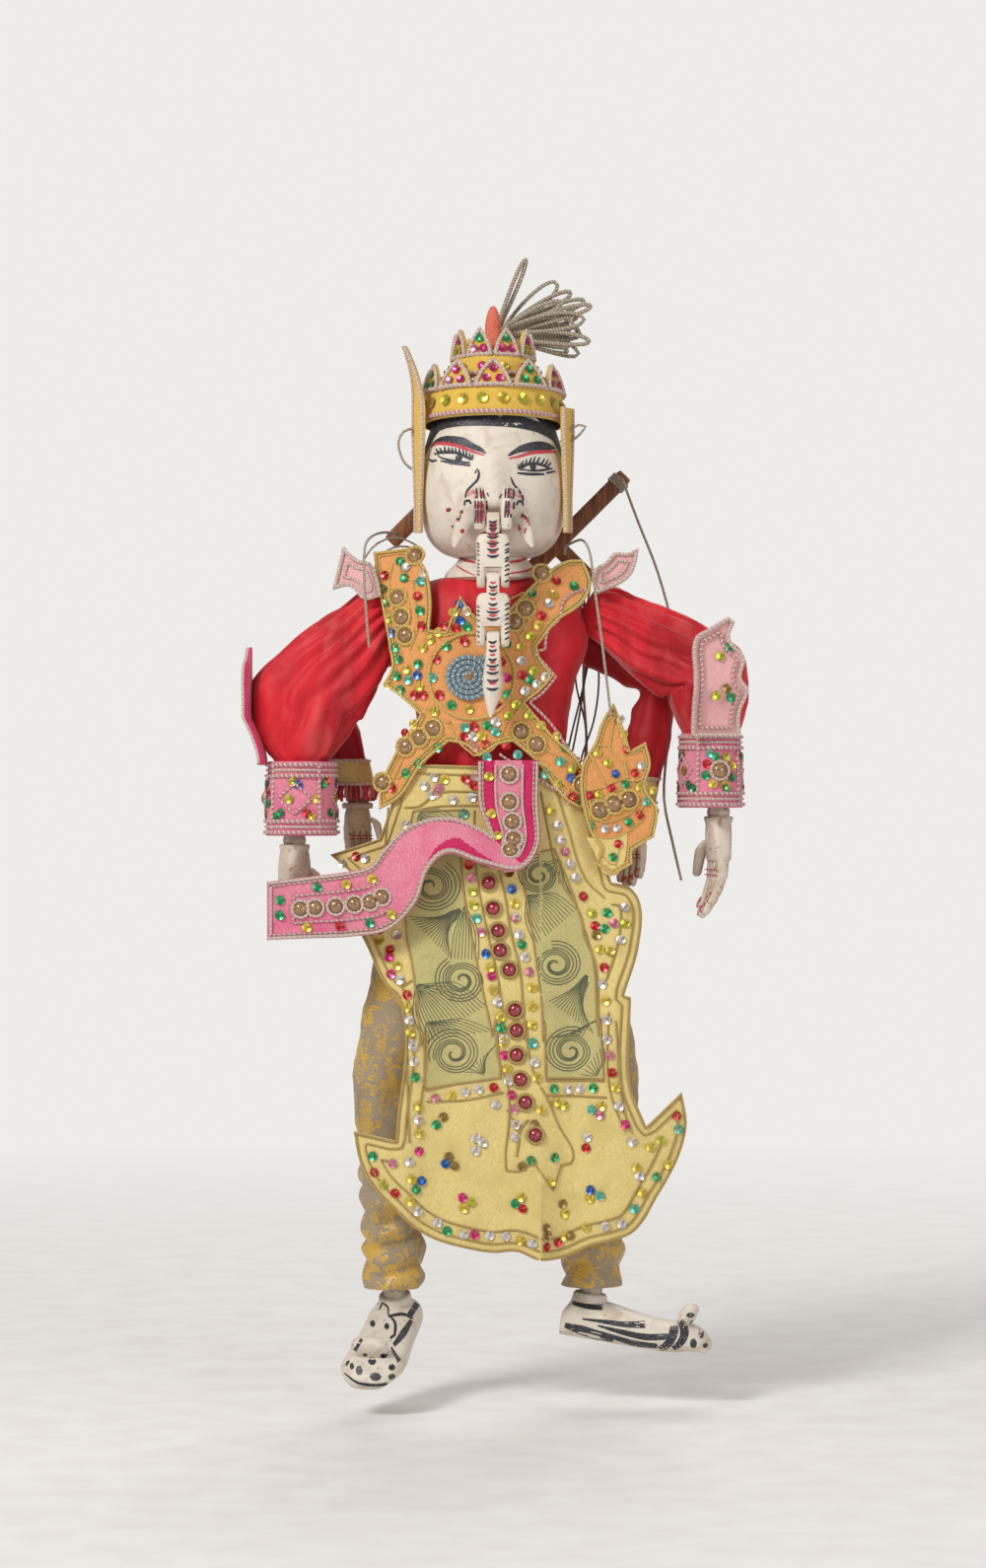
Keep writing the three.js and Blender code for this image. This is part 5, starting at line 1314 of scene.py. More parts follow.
# Shoulder flaps: pink wings under the straps
flap_points = {
    "left": [(-95, 112), (-89, 138), (-80, 130), (-73, 128), (-68, 118), (-66, 108), (-76, 106), (-85, 114)],
    "right": [(61, 109), (81, 120), (87, 138), (80, 134), (72, 134), (66, 128), (60, 124), (58.6, 117)],
}


def flap_depth(x, z):
    return -24 + 0.25 * (z - 106) + 0.15 * (abs(x) - 60) - felt_thickness


flap_skin = on_sheet(flap_depth)
for side_name, points in flap_points.items():
    outline = flowing(points, closed=True, step=1.8, corner=60)
    flap = felt(
        f"shoulder_wing_{side_name}", outline, flap_depth, felt_thickness, "pale_pink_felt", "torso", 3,
        second="magenta_felt",
    )
    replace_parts(flap, f"shoulder_flap_{side_name}")
    declare_sheet(outline)
    cord_on(flap_skin, inset(outline, 1.0), "cream_cord", "torso", 1.2, closed=True)
    cord_on(flap_skin, inset(outline, 5.0), "cream_cord", "torso", 0.9, closed=True)


# Sleeves, cuffs and hands
class Arm:
    def __init__(self, side_name, side, upper_spread, puff, full, turn):
        self.name, self.side = side_name, side
        self.shoulder = local(f"shoulder_swing_{side_name}")
        self.elbow = local(f"elbow_{side_name}")
        self.wrist = local(f"wrist_{side_name}")
        self.spread, self.puff, self.full, self.turn = radians(upper_spread), puff, full, radians(turn)


left_arm = Arm("left", -1, 38, 33, 6, 0)
right_arm = Arm("right", 1, 57, 24, 0, -78)
cap_radius, elbow_radius = 17.4, 20.5
cuff_wide, cuff_deep, cuff_tall = 20, 17.5, 44
cuff_share = 0.42


def sleeve_stations(arm):
    """Rings from the dome at the shoulder to inside the cuff: centre, wide axis, deep axis."""
    across = Vector((cos(arm.spread), 0, arm.side * sin(arm.spread)))
    along = (arm.elbow - arm.shoulder).normalized()
    ahead = Vector((0, 1, 0))
    stations = []
    for angle in (28, 45, 65, 82):
        back = cap_radius * cos(radians(angle))
        round_half = cap_radius * sin(radians(angle))
        stations.append((arm.shoulder - along * back, across * round_half, ahead * round_half))
    for t, wide, deep in ((0.12, 18.4, 18), (0.3, 21, 19), (0.52, 23.5, 20), (0.76, 25, 20.4)):
        centre = arm.shoulder.lerp(arm.elbow, t)
        stations.append((centre, across * (wide + arm.full * t), ahead * deep))
    level = Vector((cos(arm.turn), sin(arm.turn), 0))
    level_ahead = Vector((-sin(arm.turn), cos(arm.turn), 0))
    bend = (across + Vector((1, 0, 0))).normalized()
    side_half = abs(level.x) * arm.puff + abs(level_ahead.x) * elbow_radius
    front_half = abs(level.y) * arm.puff + abs(level_ahead.y) * elbow_radius
    stations.append((arm.elbow + Vector((0, 0, 2)), bend * side_half, ahead * front_half))
    for along_fore, t in ((0.13, 0.14), (0.25, 0.42), (0.35, 0.75), (0.415, 1), (0.49, 1)):
        wide = arm.puff + (cuff_wide - 3.6 - arm.puff) * t
        deep = elbow_radius + (cuff_deep - 3.6 - elbow_radius) * t
        side_half = abs(level.x) * wide + abs(level_ahead.x) * deep
        front_half = abs(level.y) * wide + abs(level_ahead.y) * deep
        centre = arm.elbow.lerp(arm.wrist, along_fore)
        stations.append((centre, Vector((side_half, 0, 0)), Vector((0, front_half, 0))))
    return stations


def between_stations(stations, t):
    """Centre and axes at t, from 0 to 1 over all stations, along smooth curves."""
    place = t * (len(stations) - 1)
    k = min(int(place), len(stations) - 2)
    u = place - k
    rows = [stations[max(0, min(len(stations) - 1, k + d))] for d in (-1, 0, 1, 2)]
    return [
        (b * 2 + (c - a) * u + (a * 2 - b * 5 + c * 4 - d) * u * u + (b * 3 - a - c * 3 + d) * u**3) / 2
        for a, b, c, d in zip(*rows)
    ]


def cloth_tube(name, stations, folds, look, body, rows, around, closed_start=False):
    """A tube of cloth through stations. folds(angle, t, point) is how far it stands out there."""
    points = []
    for r in range(rows):
        t = r / (rows - 1)
        centre, wide, deep = between_stations(stations, t)
        for k in range(around):
            angle = 2 * pi * k / around
            reach = wide * cos(angle) + deep * sin(angle)
            rise = folds(angle, t, centre + reach)
            points.append(centre + reach * (1 + rise / max(4, reach.length)))
    faces = grid_faces(rows, around)
    if closed_start:
        faces.append(tuple(range(around))[::-1])
    piece = new_mesh(name, points, faces, look, body, sharp=0)
    return piece, points


def smoothstep(value, low, high):
    t = max(0, min(1, (value - low) / (high - low)))
    return t * t * (3 - 2 * t)


def ridge(value, sharpness=2.0):
    """A row of rounded ridges between narrower valleys, from -1 to 1."""
    return 2 * (0.5 + 0.5 * cos(value)) ** (1 / sharpness) - 1


def cloth_swell(t):
    """Loose between the shoulder and the elbow, and flat where the cuff holds the cloth."""
    return sin(pi * min(1, 0.08 + t)) ** 0.5 * np.clip((1 - t) / 0.12, 0, 1)


# Creases of the left sleeve, which the right one mirrors: place round the arm, drift, first and last
# share of the sleeve's length, depth and width
sleeve_creases = [
    (5.75, -1.3, 0.16, 0.62, 4.2, 0.15), (5.35, -1.1, 0.14, 0.7, 3.6, 0.13),
    (4.95, -0.9, 0.12, 0.56, 3.2, 0.12),
    (4.5, -0.7, 0.14, 0.66, 3.6, 0.14), (4.05, -0.5, 0.16, 0.58, 2.8, 0.12), (3.6, -0.3, 0.2, 0.7, 3.0, 0.14),
    (5.9, -0.9, 0.45, 0.86, 3.6, 0.13), (5.2, 0.3, 0.6, 0.95, 3.0, 0.12), (4.7, -0.6, 0.55, 0.93, 3.6, 0.13),
    (4.2, 0.35, 0.58, 0.96, 3.0, 0.11), (3.7, 0.4, 0.62, 0.95, 2.8, 0.12), (3.3, -0.2, 0.5, 0.94, 2.8, 0.13),
    (0.4, 0.8, 0.2, 0.7, 3.4, 0.15), (1.0, 0.6, 0.15, 0.65, 3.4, 0.14), (1.6, -0.4, 0.2, 0.75, 3.4, 0.14),
    (2.2, -0.5, 0.15, 0.7, 3.4, 0.15), (2.8, 0.3, 0.3, 0.9, 3.0, 0.13), (0.9, 0.3, 0.6, 0.94, 2.8, 0.12),
    (1.9, -0.3, 0.6, 0.95, 3.0, 0.13),
]


def creased(angle, t):
    """Narrow valleys, each with a raised lip beside it."""
    rise = 0
    for at, drift, first, last, depth, width in sleeve_creases:
        if first < t < last:
            off = (angle - at - drift * (t - first) + pi) % (2 * pi) - pi
            fade = sin(pi * (t - first) / (last - first)) ** 0.6
            lip = 0.6 * np.exp(-(((off - 2 * width) / (1.4 * width)) ** 2))
            rise += depth * fade * (lip - np.exp(-((off / width) ** 2)))
    return rise


def left_folds(angle, t, point):
    warp = wrinkle(point, 30, 0.16, 3)
    swell = 1.2 * ridge(3 * angle + 4 * t + 6 * warp, 2)
    gather = 0.8 * ridge(15 * angle + 4 * warp) * smoothstep(t, 0.78, 0.92)
    return (creased(angle + warp, t) + swell + gather + wrinkle(point, 7, 0.5, 9)) * cloth_swell(t)


def right_folds(angle, t, point):
    warp = wrinkle(point, 30, 0.18, 21)
    mirrored = 3 * pi - angle + 0.22
    slant = point.x * 0.45 + point.z * 0.9
    cross = 1.4 * ridge(slant / 3.8 + 5 * warp, 3) * np.exp(-(((t - 0.45) / 0.18) ** 2)) * max(0, -sin(angle))
    gather = 0.8 * ridge(15 * angle + 4 * warp) * smoothstep(t, 0.78, 0.92)
    rise = creased(mirrored + warp, 0.04 + 0.95 * t) + cross + gather + wrinkle(point, 7, 0.5, 9)
    return rise * cloth_swell(t)


sleeve_rows, sleeve_around = 110, 128
for arm, folds in ((left_arm, left_folds), (right_arm, right_folds)):
    bend_from = arm.elbow + (arm.shoulder - arm.elbow).normalized() * 16
    bend = (f"outer_upper_{arm.name}", f"outer_fore_{arm.name}", bend_from, arm.elbow - Vector((0, 0, 16)))
    sleeve, cloth = cloth_tube(
        f"sleeve_{arm.name}", sleeve_stations(arm), folds, "red_satin", bend, sleeve_rows, sleeve_around,
    )
    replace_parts(sleeve, f"upper_sleeve_{arm.name}", f"lower_sleeve_{arm.name}")
    sleeve_cut = tube_cut(cloth, sleeve_rows, sleeve_around)

wing_points = [
    (-18, 0), (-19, 36), (-18, 58), (-10, 63), (2, 70), (6, 67), (3, 58), (12, 46), (10, 34), (14, 28),
    (11, 14), (12, 0),
]


def make_cuff(arm):
    """A felt band round the sleeve's end, with a flame wing that stands up its outer side."""
    body = f"outer_fore_{arm.name}"
    top = arm.elbow.lerp(arm.wrist, cuff_share)
    turn = Matrix.Rotation(arm.turn, 3, "Z")
    points = []
    around, rows = 64, 12
    for lift in (0.0, -felt_thickness):
        for r in range(rows):
            t = r / (rows - 1)
            z = -cuff_tall * t
            for k in range(around):
                wide, deep = cuff_wide + 1.2 * t + lift, cuff_deep + 1.2 * t + lift
                x, y = superellipse(2 * pi * k / around, wide, deep, 2.1)
                ease = 1 + 0.012 * noise.noise(Vector((x, y, z)) / 9)
                points.append(top + turn @ Vector((x * ease, y * ease, z)))
    side_count = rows * around
    faces = grid_faces(rows, around, flip=True)
    faces += [tuple(i + side_count for i in face[::-1]) for face in faces]
    for r in (0, rows - 1):
        for k in range(around):
            a, b = r * around + k, r * around + (k + 1) % around
            faces.append((a, b, b + side_count, a + side_count))
    cuff = new_mesh(f"cuff_band_{arm.name}", points, faces, "pink_felt", body)
    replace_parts(cuff, f"cuff_{arm.name}")
    around_mm = 2 * pi * (cuff_wide + cuff_deep) / 2

    def band_skin(x, z):
        """x runs round the band in millimetres, from the side that bears the wing."""
        angle = x / ((cuff_wide + cuff_deep) / 2)
        c, s = arm.side * cos(angle), sin(angle)
        t = -z / cuff_tall
        reach_x, reach_y = cuff_wide + 1.2 * t, cuff_deep + 1.2 * t
        place = top + turn @ Vector((reach_x * c, reach_y * s, z))
        return place, (turn @ Vector((c / reach_x, s / reach_y, 0))).normalized()

    for look, radius, heights in (
        ("rose_cord", 1.2, (-2, -8.5, -cuff_tall + 8.5, -cuff_tall + 2)),
        ("cream_cord", 0.8, (-5.2, -cuff_tall + 5.2)),
    ):
        for z in heights:
            cord_on(band_skin, [(around_mm * k / 60, z) for k in range(61)], look, body, radius)
    for x in (-13, 13, 40, -40):
        cord_on(band_skin, [(x, -2 - 4 * k) for k in range(11)], "rose_cord", body, 1.1)
    for x in (-26.5, 26.5, around_mm / 2):
        lozenge = [(x, -13), (x + 9.5, -22), (x, -31), (x - 9.5, -22), (x, -13)]
        cord_on(band_skin, flowing(lozenge, step=1.8, corner=40), "rose_cord", body, 0.8)
    bead(band_skin, 0, -22, "amber_bead", body, 4.6, "cream_cord")
    for k in range(8):
        angle = 2 * pi * k / 8 + 0.3
        sequin(band_skin, 8.8 * cos(angle), -22 + 8.8 * sin(angle), "gynrn"[k % 5], body, 2.8)
    for k in range(18):
        x = 19 + (around_mm - 38) * k / 17
        sequin(band_skin, x, (-13.5, -22, -30.5)[k % 3], "ngrbyn"[k % 6], body, 2.8)
    for k in range(12):
        sequin(band_skin, around_mm * k / 12 + 4, -12 if k % 2 else -32.5, "nrgynt"[k % 6], body, 2.5)

    across = turn @ Vector((0, 1, 0))
    out = turn @ Vector((arm.side, 0, 0))
    foot = top + out * (cuff_wide + 2.4) + Vector((0, 0, -2))

    def wing_skin(x, z):
        lean = 9 * min(1, max(0, (z - 2) / 26)) ** 1.5
        return foot + across * x + Vector((0, 0, z)) + out * (lean + 0.004 * x * x), out

    outline = flowing(wing_points, closed=True, step=1.8, corner=60)
    flat, triangles = fill(outline, 3.4)
    points = [wing_skin(x, z)[0] for x, z in flat]
    points += [point - out * felt_thickness for point in points]
    wing = new_mesh(
        f"cuff_wing_{arm.name}", points, plate_faces(triangles, len(flat)), "pale_pink_felt", body,
        second="magenta_felt", second_from=len(triangles),
    )
    declare_sheet(outline)
    cord_on(wing_skin, inset(outline, 1.0), "cream_cord", body, 1.25, closed=True)
    cord_on(wing_skin, inset(outline, 5.2), "rose_cord", body, 1.0, closed=True)
    for x, z, letter in ((2, 52, "n"), (-3, 47, "y"), (-5, 24, "y"), (1, 28, "a"), (4, 23, "n")):
        sequin(wing_skin, x, z, letter, body, 3)


make_cuff(left_arm)
make_cuff(right_arm)


# Hands: a carved palm with four jointed-looking fingers, a thumb and red nails
outer_hand_length, inner_hand_length = 66, 44
finger_lengths = ((13, 11, 8), (15, 13, 9), (14, 12, 9), (11, 10, 7))
# A nail's corners: how far past the fingertip, to the side and out of the finger
nail_corners = (
    (-5, -1.9, 2.9), (-1, -2.2, 2.7), (1.2, -1.2, 1.9), (1.2, 1.2, 1.9), (-1, 2.2, 2.7), (-5, 1.9, 2.9),
)


def down_at(angle):
    """The direction that points down, leaning forward by this angle in radians."""
    return Vector((0, -sin(angle), -cos(angle)))


def finger_rings(x, width, lengths, curl, base, place):
    rings = []
    at = Vector((x, 0, base))
    angle = curl * 0.12
    before = angle

    def add_ring(centre, wide, bend, thick, power):
        ahead = Vector((0, cos(bend), -sin(bend))) * thick
        rings.append(ring_at(place(centre), place.turn @ Vector((wide, 0, 0)), place.turn @ ahead, 14, power))

    for i, length in enumerate(lengths):
        step = down_at(radians(angle)) * length
        for share, swell in ((0.0, 1.05), (0.22, 0.97), (0.75, 0.95)):
            bend = radians(before + (angle - before) * (0.5 + share))
            add_ring(at + step * share, width / 2 * swell, bend, (3.9 - i * 0.5) * swell, 2.8)
        at = at + step
        before = angle
        angle += curl * 0.44
    last = radians(before)
    for out, thick in ((0.0, 2.5), (1.1, 1.5)):
        add_ring(at + down_at(last) * out, width / 2.4, last, thick, 2.6)
    return rings, at, last


class Place:
    """Turns a hand's own coordinates into the figure's."""

    def __init__(self, origin, angle):
        self.origin, self.turn = origin, Matrix.Rotation(radians(angle), 3, "Z")

    def __call__(self, point):
        return self.origin + self.turn @ Vector(point)


def make_hand(name, node, body, wrist, side, length, curl, angle):
    scale = length / outer_hand_length
    palm = length * 0.42
    place = Place(wrist, angle)

    def level(x, y, z, wide, deep, count=24, power=2.6):
        wide_axis, deep_axis = place.turn @ Vector((wide, 0, 0)), place.turn @ Vector((0, deep, 0))
        return ring_at(place((x, y, z)), wide_axis, deep_axis, count, power)

    solids = [solid_loft([
        level(0, 0, z, wide, deep, power=power) for z, wide, deep, power in (
            (-palm - 1, 12.6 * scale, 4.8 * scale, 4), (-palm, 13.2 * scale, 5.6 * scale, 4),
            (-palm * 0.5, 12 * scale, 6.6 * scale, 3.4), (-palm * 0.25, 9.4 * scale, 7 * scale, 3),
            (-6, 8.8, 7.6, 2.6), (-3.5, 9.2, 8.6, 2.4), (-2.4, 8.4, 7.8, 2.4),
        )
    ])]
    root = -palm + 1.5
    for i, lengths in enumerate(finger_lengths):
        x = side * (-9.9 + 6.6 * i) * scale
        rings, end, last = finger_rings(x, 6.1 * scale, [l * scale for l in lengths], curl, root, place)
        solids.append(solid_loft(rings[::-1]))
        out = Vector((0, -cos(last), sin(last)))
        down = down_at(last)
        nail = [place(end + down * a + out * o + Vector((b * scale, 0, 0))) for a, b, o in nail_corners]
        pile("red_line", body).add(nail, [tuple(range(6))])
        for share in (0.3, 0.42):
            at = Vector((x, 0, root)) + down_at(radians(curl * 0.12)) * (13 * scale * share * 2)
            line = [place(at + Vector((s * 2.9 * scale, -4.25, 0))) for s in (-1, 0, 1)]
            pile("red_line", body).add(*tube(line, 0.32, 5))
    thumb = [
        (15.5, -9.2, 1.38, 1.5, 1.4), (15.5, -9, 1.32, 2.7, 2.6), (15, -8.2, 1.1, 3.2, 3.1),
        (14, -7, 0.82, 3.6, 3.5), (12, -5, 0.7, 3.9, 3.7), (9, -3, 0.6, 3.8, 3.8),
    ]
    solids.append(solid_loft([
        level(-side * x * scale, y, -palm * z, w * scale, d * scale, 14) for x, y, z, w, d in thumb
    ]))
    piece, _ = carving(name, solids, "hand_paint", body)
    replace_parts(piece, node)


for arm, curl, angle in ((left_arm, 128, 62), (right_arm, 32, -78)):
    make_hand(
        f"hand_carving_{arm.name}", f"hand_{arm.name}", f"outer_hand_{arm.name}", arm.wrist, arm.side,
        outer_hand_length, curl, angle,
    )

# The inner pair of arms, behind the outer one: padded red sleeves in a darker copy of the satin, as painted
# shade, a yellow cuff and a painted hand
for side_name, side in (("left", -1), ("right", 1)):
    shoulder, elbow, wrist = (local(f"inner_{part}_{side_name}") for part in ("shoulder", "elbow", "wrist"))
    upper, fore = f"inner_upper_{side_name}", f"inner_fore_{side_name}"
    along = (elbow - shoulder).normalized()
    across = along.cross(Vector((0, 1, 0))).normalized()
    ahead = Vector((0, 1, 0))
    stations = []
    for angle in (8, 40, 75):
        back, half = 10.2 * cos(radians(angle)), 10.4 * sin(radians(angle))
        stations.append((shoulder - along * back, across * half, ahead * half))
    stations += [(shoulder.lerp(elbow, t), across * r, ahead * r) for t, r in ((0.3, 10.8), (0.7, 9.6))]
    level = Vector((1, 0, 0)) if across.x > 0 else Vector((-1, 0, 0))
    stations.append((elbow, (across + level).normalized() * 9.6, ahead * 9.8))
    outward = Vector((side * 2.2, 0, 0))
    stations += [(elbow.lerp(wrist, t) + outward * share, level * (r + 2.2 * share), ahead * r)
                 for t, r, share in ((0.2, 9.8, 1), (0.45, 11, 1), (0.66, 10.8, 0.6), (0.78, 10.6, 0.3))]

    def inner_folds(angle, t, point):
        return 0.8 * ridge(5 * angle + 3 * t) + wrinkle(point, 8, 1.2, side) + 0.3 * ridge(point.z / 2.2)

    def forearm_rings(rows, count):
        """A solid of level rings along the forearm, from its share and radius."""
        return solid_loft([
            ring_at(elbow.lerp(wrist, t), Vector((r, 0, 0)), Vector((0, r, 0)), count) for t, r in rows
        ])

    bend = (upper, fore, elbow - along * 8, elbow.lerp(wrist, 0.15))
    sleeve, _ = cloth_tube(
        f"inner_sleeve_{side_name}", stations, inner_folds, "inner_satin", bend, 60, 48, True,
    )
    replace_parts(sleeve, f"inner_upper_arm_{side_name}")
    cuff_rows = ((0.7, 12.2), (0.72, 12.8), (0.8, 12.8), (0.88, 12.4), (0.9, 12), (0.9, 10.6), (0.8, 10.4))
    cuff, _ = carving(f"inner_cuff_{side_name}", [forearm_rings(cuff_rows, 32)], "yellow_felt", fore)
    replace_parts(cuff, f"inner_forearm_{side_name}")
    wrist_rows = ((0.72, 5.6), (0.9, 5), (0.97, 5.6), (1.02, 6.6), (1.06, 5), (1.08, 2))
    carving(f"inner_wrist_{side_name}", [forearm_rings(wrist_rows, 16)], "bare_wood", fore)
    for t in (0.715, 0.89):
        centre = elbow.lerp(wrist, t)
        path = [centre + Vector((13 * cos(2 * pi * k / 28), 13 * sin(2 * pi * k / 28), 0)) for k in range(29)]
        pile("cream_cord", fore).add(*tube(path, 1.0, 6))
    centre = elbow.lerp(wrist, 0.9)
    for k in range(26):
        angle = 2 * pi * k / 26
        out = Vector((cos(angle), sin(angle), 0))
        frill = [
            centre + out * 11.6, centre + out * (13.2 + 0.8 * (k % 2)) - Vector((0, 0, 4)),
            centre + out * 12.6 - Vector((0, 0, 7.5 + (k % 3))),
        ]
        pile("red_line" if k % 3 else "pink_line", fore).add(*tube(frill, 1.1, 5))
    make_hand(
        f"inner_hand_carving_{side_name}", f"inner_hand_{side_name}", f"inner_palm_{side_name}", wrist, side,
        inner_hand_length, 20, -35 * side,
    )


# Medallion: one blue cord wound flat from the middle outwards, round a dark bead
medallion_at, medallion_middle, medallion_radius = Vector((-14.5, 60.4)), 1.5, 15.4
medallion_cord, medallion_pitch = 1.3, 3.1
medallion_turns = (medallion_radius - medallion_cord - medallion_middle) / medallion_pitch
medallion_steps = round(medallion_turns * 24)
medallion_path = []
for i in range(medallion_steps + 1):
    share = i / medallion_steps
    angle = (share * medallion_turns + 0.1) * 2 * pi
    out = medallion_middle + share * medallion_turns * medallion_pitch
    x, z = medallion_at.x + out * cos(angle), medallion_at.y + out * sin(angle)
    medallion_path.append(Vector((x, collar_depth(x, z) - 0.3 - medallion_cord - 0.25, z)))
medallion = string(
    "medallion_cord", medallion_path, "torso", "medallion_coil", radius=1.45, step=3,
    look="blue_cord",
)
bead(collar_skin, medallion_at.x, medallion_at.y, "amber_bead", "torso", 4.6, None)

# Seat: brocade round the pelvis, open below for the thighs
hip_height = local("hip_swing_left").z
seat_top, seat_tall, seat_rows, seat_around = -6, 62, 30, 96


def seat_points():
    points = []
    for r in range(seat_rows):
        t = r / (seat_rows - 1)
        z = seat_top - seat_tall * t
        wide = np.interp(t, (0, 0.25, 0.5, 0.8, 1), (46, 55, 60, 61.5, 60))
        deep = np.interp(t, (0, 0.25, 0.5, 0.8, 1), (24, 27, 27.5, 27.5, 26.5))
        for k in range(seat_around):
            angle = 2 * pi * k / seat_around
            x, y = superellipse(angle, wide, deep, 2.6)
            gather = 0.9 * cos(17 * angle + 1.5 * sin(z / 9)) * (1 - 0.5 * t)
            gather += wrinkle((x, y, z), 12, 1.2, 31)
            grow = 1 + gather / hypot(x, y)
            crotch = 20 * t**3 * np.exp(-((x / 15) ** 2))
            points.append(Vector((x * grow, y * grow, z + crotch)))
    return points, grid_faces(seat_rows, seat_around, flip=True)


seat_at, seat_faces = seat_points()
seat = new_mesh("trouser_seat", seat_at, seat_faces, "brocade", "pelvis")
seat_cut = tube_cut(seat_at, seat_rows, seat_around)

# Apron: a felt panel in two halves, which part at its crease
apron_points = [
    (-52, 9), (52, 6), (61, -28), (70, -61), (81, -64), (87, -73), (86, -98), (77, -127), (81, -128),
    (81, -180), (90, -204), (111, -184), (114, -203), (110, -220), (101, -238), (96, -246), (88, -260),
    (81, -267), (70, -271), (58, -274), (42, -281), (28, -282), (14, -277), (0, -278), (-18, -275),
    (-35, -270), (-48, -262), (-58, -252), (-70, -240), (-78, -226), (-82, -207), (-57, -212),
    (-56, -128), (-63, -121), (-74, -99), (-80, -86), (-81, -72), (-76, -62), (-97, -45), (-67, -35),
]
apron_front, apron_bottom_front, apron_thickness, crease_x = 33.6, 39, 2.4, 28


def apron_depth(x, z):
    low = smoothstep(-z, 10, 150)
    curve = 0.0036 * x * x * (1 - 0.9 * low)
    folds = low * (2.2 * sin(x / 11 + 0.4) + 1.2 * sin(x / 6.3 - z / 60))
    crease = 5 * smoothstep(-z, 200, 270) * max(0, 1 - abs(x - crease_x) / 14)
    return -apron_front - (apron_bottom_front - apron_front) * low + curve - folds - crease - apron_thickness


def cut_at(outline, x, keep_left):
    """The part of an outline on one side of an upright line."""
    kept = []
    for a, b in zip(outline, outline[1:] + outline[:1]):
        a_in, b_in = (a.x <= x) == keep_left, (b.x <= x) == keep_left
        if a_in:
            kept.append(a)
        if a_in != b_in:
            kept.append(a.lerp(b, (x - a.x) / (b.x - a.x)))
    dense = []
    for a, b in zip(kept, kept[1:] + kept[:1]):
        steps = max(1, round((b - a).length / 2.6))
        dense += [a.lerp(b, k / steps) for k in range(steps)]
    return dense


apron_outline = flowing(apron_points, closed=True, step=2.4, corner=52)
apron_skin = on_sheet(apron_depth)
for side_name, keep_left in (("left", True), ("right", False)):
    bend_from, bend_to = (Vector((0, -36, hip_height + reach)) for reach in (14, -14))
    groups[f"apron_{side_name}"] = ("pelvis", f"loop_{side_name}", bend_from, bend_to)
    half = cut_at(apron_outline, crease_x, keep_left)
    piece = felt(
        f"apron_cloth_{side_name}", half, apron_depth, apron_thickness, "yellow_felt",
        groups[f"apron_{side_name}"], 4.4,
    )
    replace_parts(piece, "apron")
    declare_sheet(half)


def apron_group(x):
    return "apron_left" if x < crease_x else "apron_right"


# Hip ornament: an orange flame sewn over the apron's edge
hip_points = [
    (52, 7), (60, 22), (64, 34), (71, 45), (76, 33), (81, 17), (90, 22), (93, 9), (90, -5), (97, -17),
    (95, -34), (82, -42), (82, -50), (70, -57), (60, -50), (63, -41), (56, -29),
]


def hip_depth(x, z):
    return -33.2 + 0.16 * (x - 52) - felt_thickness


hip_outline = flowing(hip_points, closed=True, step=1.8, corner=46)
hip_skin = on_sheet(hip_depth)
hip_felt = felt("hip_flame", hip_outline, hip_depth, felt_thickness, "orange_felt", "pelvis", 3)
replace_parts(hip_felt, "hip_ornament")
declare_sheet(hip_outline)

# Sash: a pink felt ribbon that falls from under the collar, twists and ends in a square tab
sash_route = [
    ((9, -41, 11), (18, 0, 0)), ((9, -42.5, -14), (17.5, 0, 0)), ((12, -45, -34), (15, -3, -5)),
    ((7, -49, -44), (8, -5, -9)), ((-8, -50, -39), (1, -5, -10)), ((-26, -50, -33), (0, -5, -10)),
    ((-43, -50, -40), (5, -4, -13)), ((-54, -50, -56), (9, -3, -16)), ((-66, -50, -69), (5, 0, -19)),
    ((-84, -50.5, -73), (1, 0, -19)), ((-108, -51, -75), (0, 0, -18)), ((-132, -51.5, -77), (0, 0, -17)),
]
sash_stations = [(Vector(at), Vector(half)) for at, half in sash_route]
sash_rows, sash_columns = 130, 26


def on_sash(t, across):
    """t runs along the ribbon from 0 to 1, and across over its width from -1 to 1."""
    centre, half = between_stations(sash_stations, t)
    ahead, _ = between_stations(sash_stations, min(1, t + 0.004))
    behind, _ = between_stations(sash_stations, max(0, t - 0.004))
    out = (ahead - behind).cross(half).normalized()
    return centre + half * across + out * (felt_thickness / 2), out


def make_sash():
    points = []
    for face in (1, -1):
        for r in range(sash_rows):
            for c in range(sash_columns):
                across = -1 + 2 * c / (sash_columns - 1)
                place, out = on_sash(r / (sash_rows - 1), across)
                place = place if face > 0 else place - out * felt_thickness
                points.append(place + out * wrinkle(place, 14, 0.8, 40))
    count = sash_rows * sash_columns
    front = grid_faces(sash_rows, sash_columns, closed=False, flip=True)
    back = [tuple(i + count for i in face[::-1]) for face in front]
    rim = []
    for r in range(sash_rows - 1):
        for c in (0, sash_columns - 1):
            a, b = r * sash_columns + c, (r + 1) * sash_columns + c
            rim.append((a, b, b + count, a + count))
    for r in (0, sash_rows - 1):
        for c in range(sash_columns - 1):
            a = r * sash_columns + c
            rim.append((a, a + 1, a + 1 + count, a + count))
    cloth = new_mesh(
        "sash_cloth", points, front + rim + back, "pink_felt", "pelvis", second="magenta_felt",
        second_from=len(front) + len(rim),
    )
    for n, face in enumerate(cloth.data.polygons[: len(front)]):
        row, column = divmod(n, sash_columns - 1)
        t, across = row / (sash_rows - 1), -1 + 2 * column / (sash_columns - 2)
        folded_under = 0.27 < t < 0.6 and across > 0.05 + 7 * abs(t - 0.42)
        panel = t < 0.25 and not -0.42 < across < 0.5
        if folded_under or panel:
            face.material_index = 1
    return cloth


sash = make_sash()
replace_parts(sash, "sash")


# Trousers: gathered brocade legs, puckered above the ankle
trouser_rows, trouser_around = 130, 80


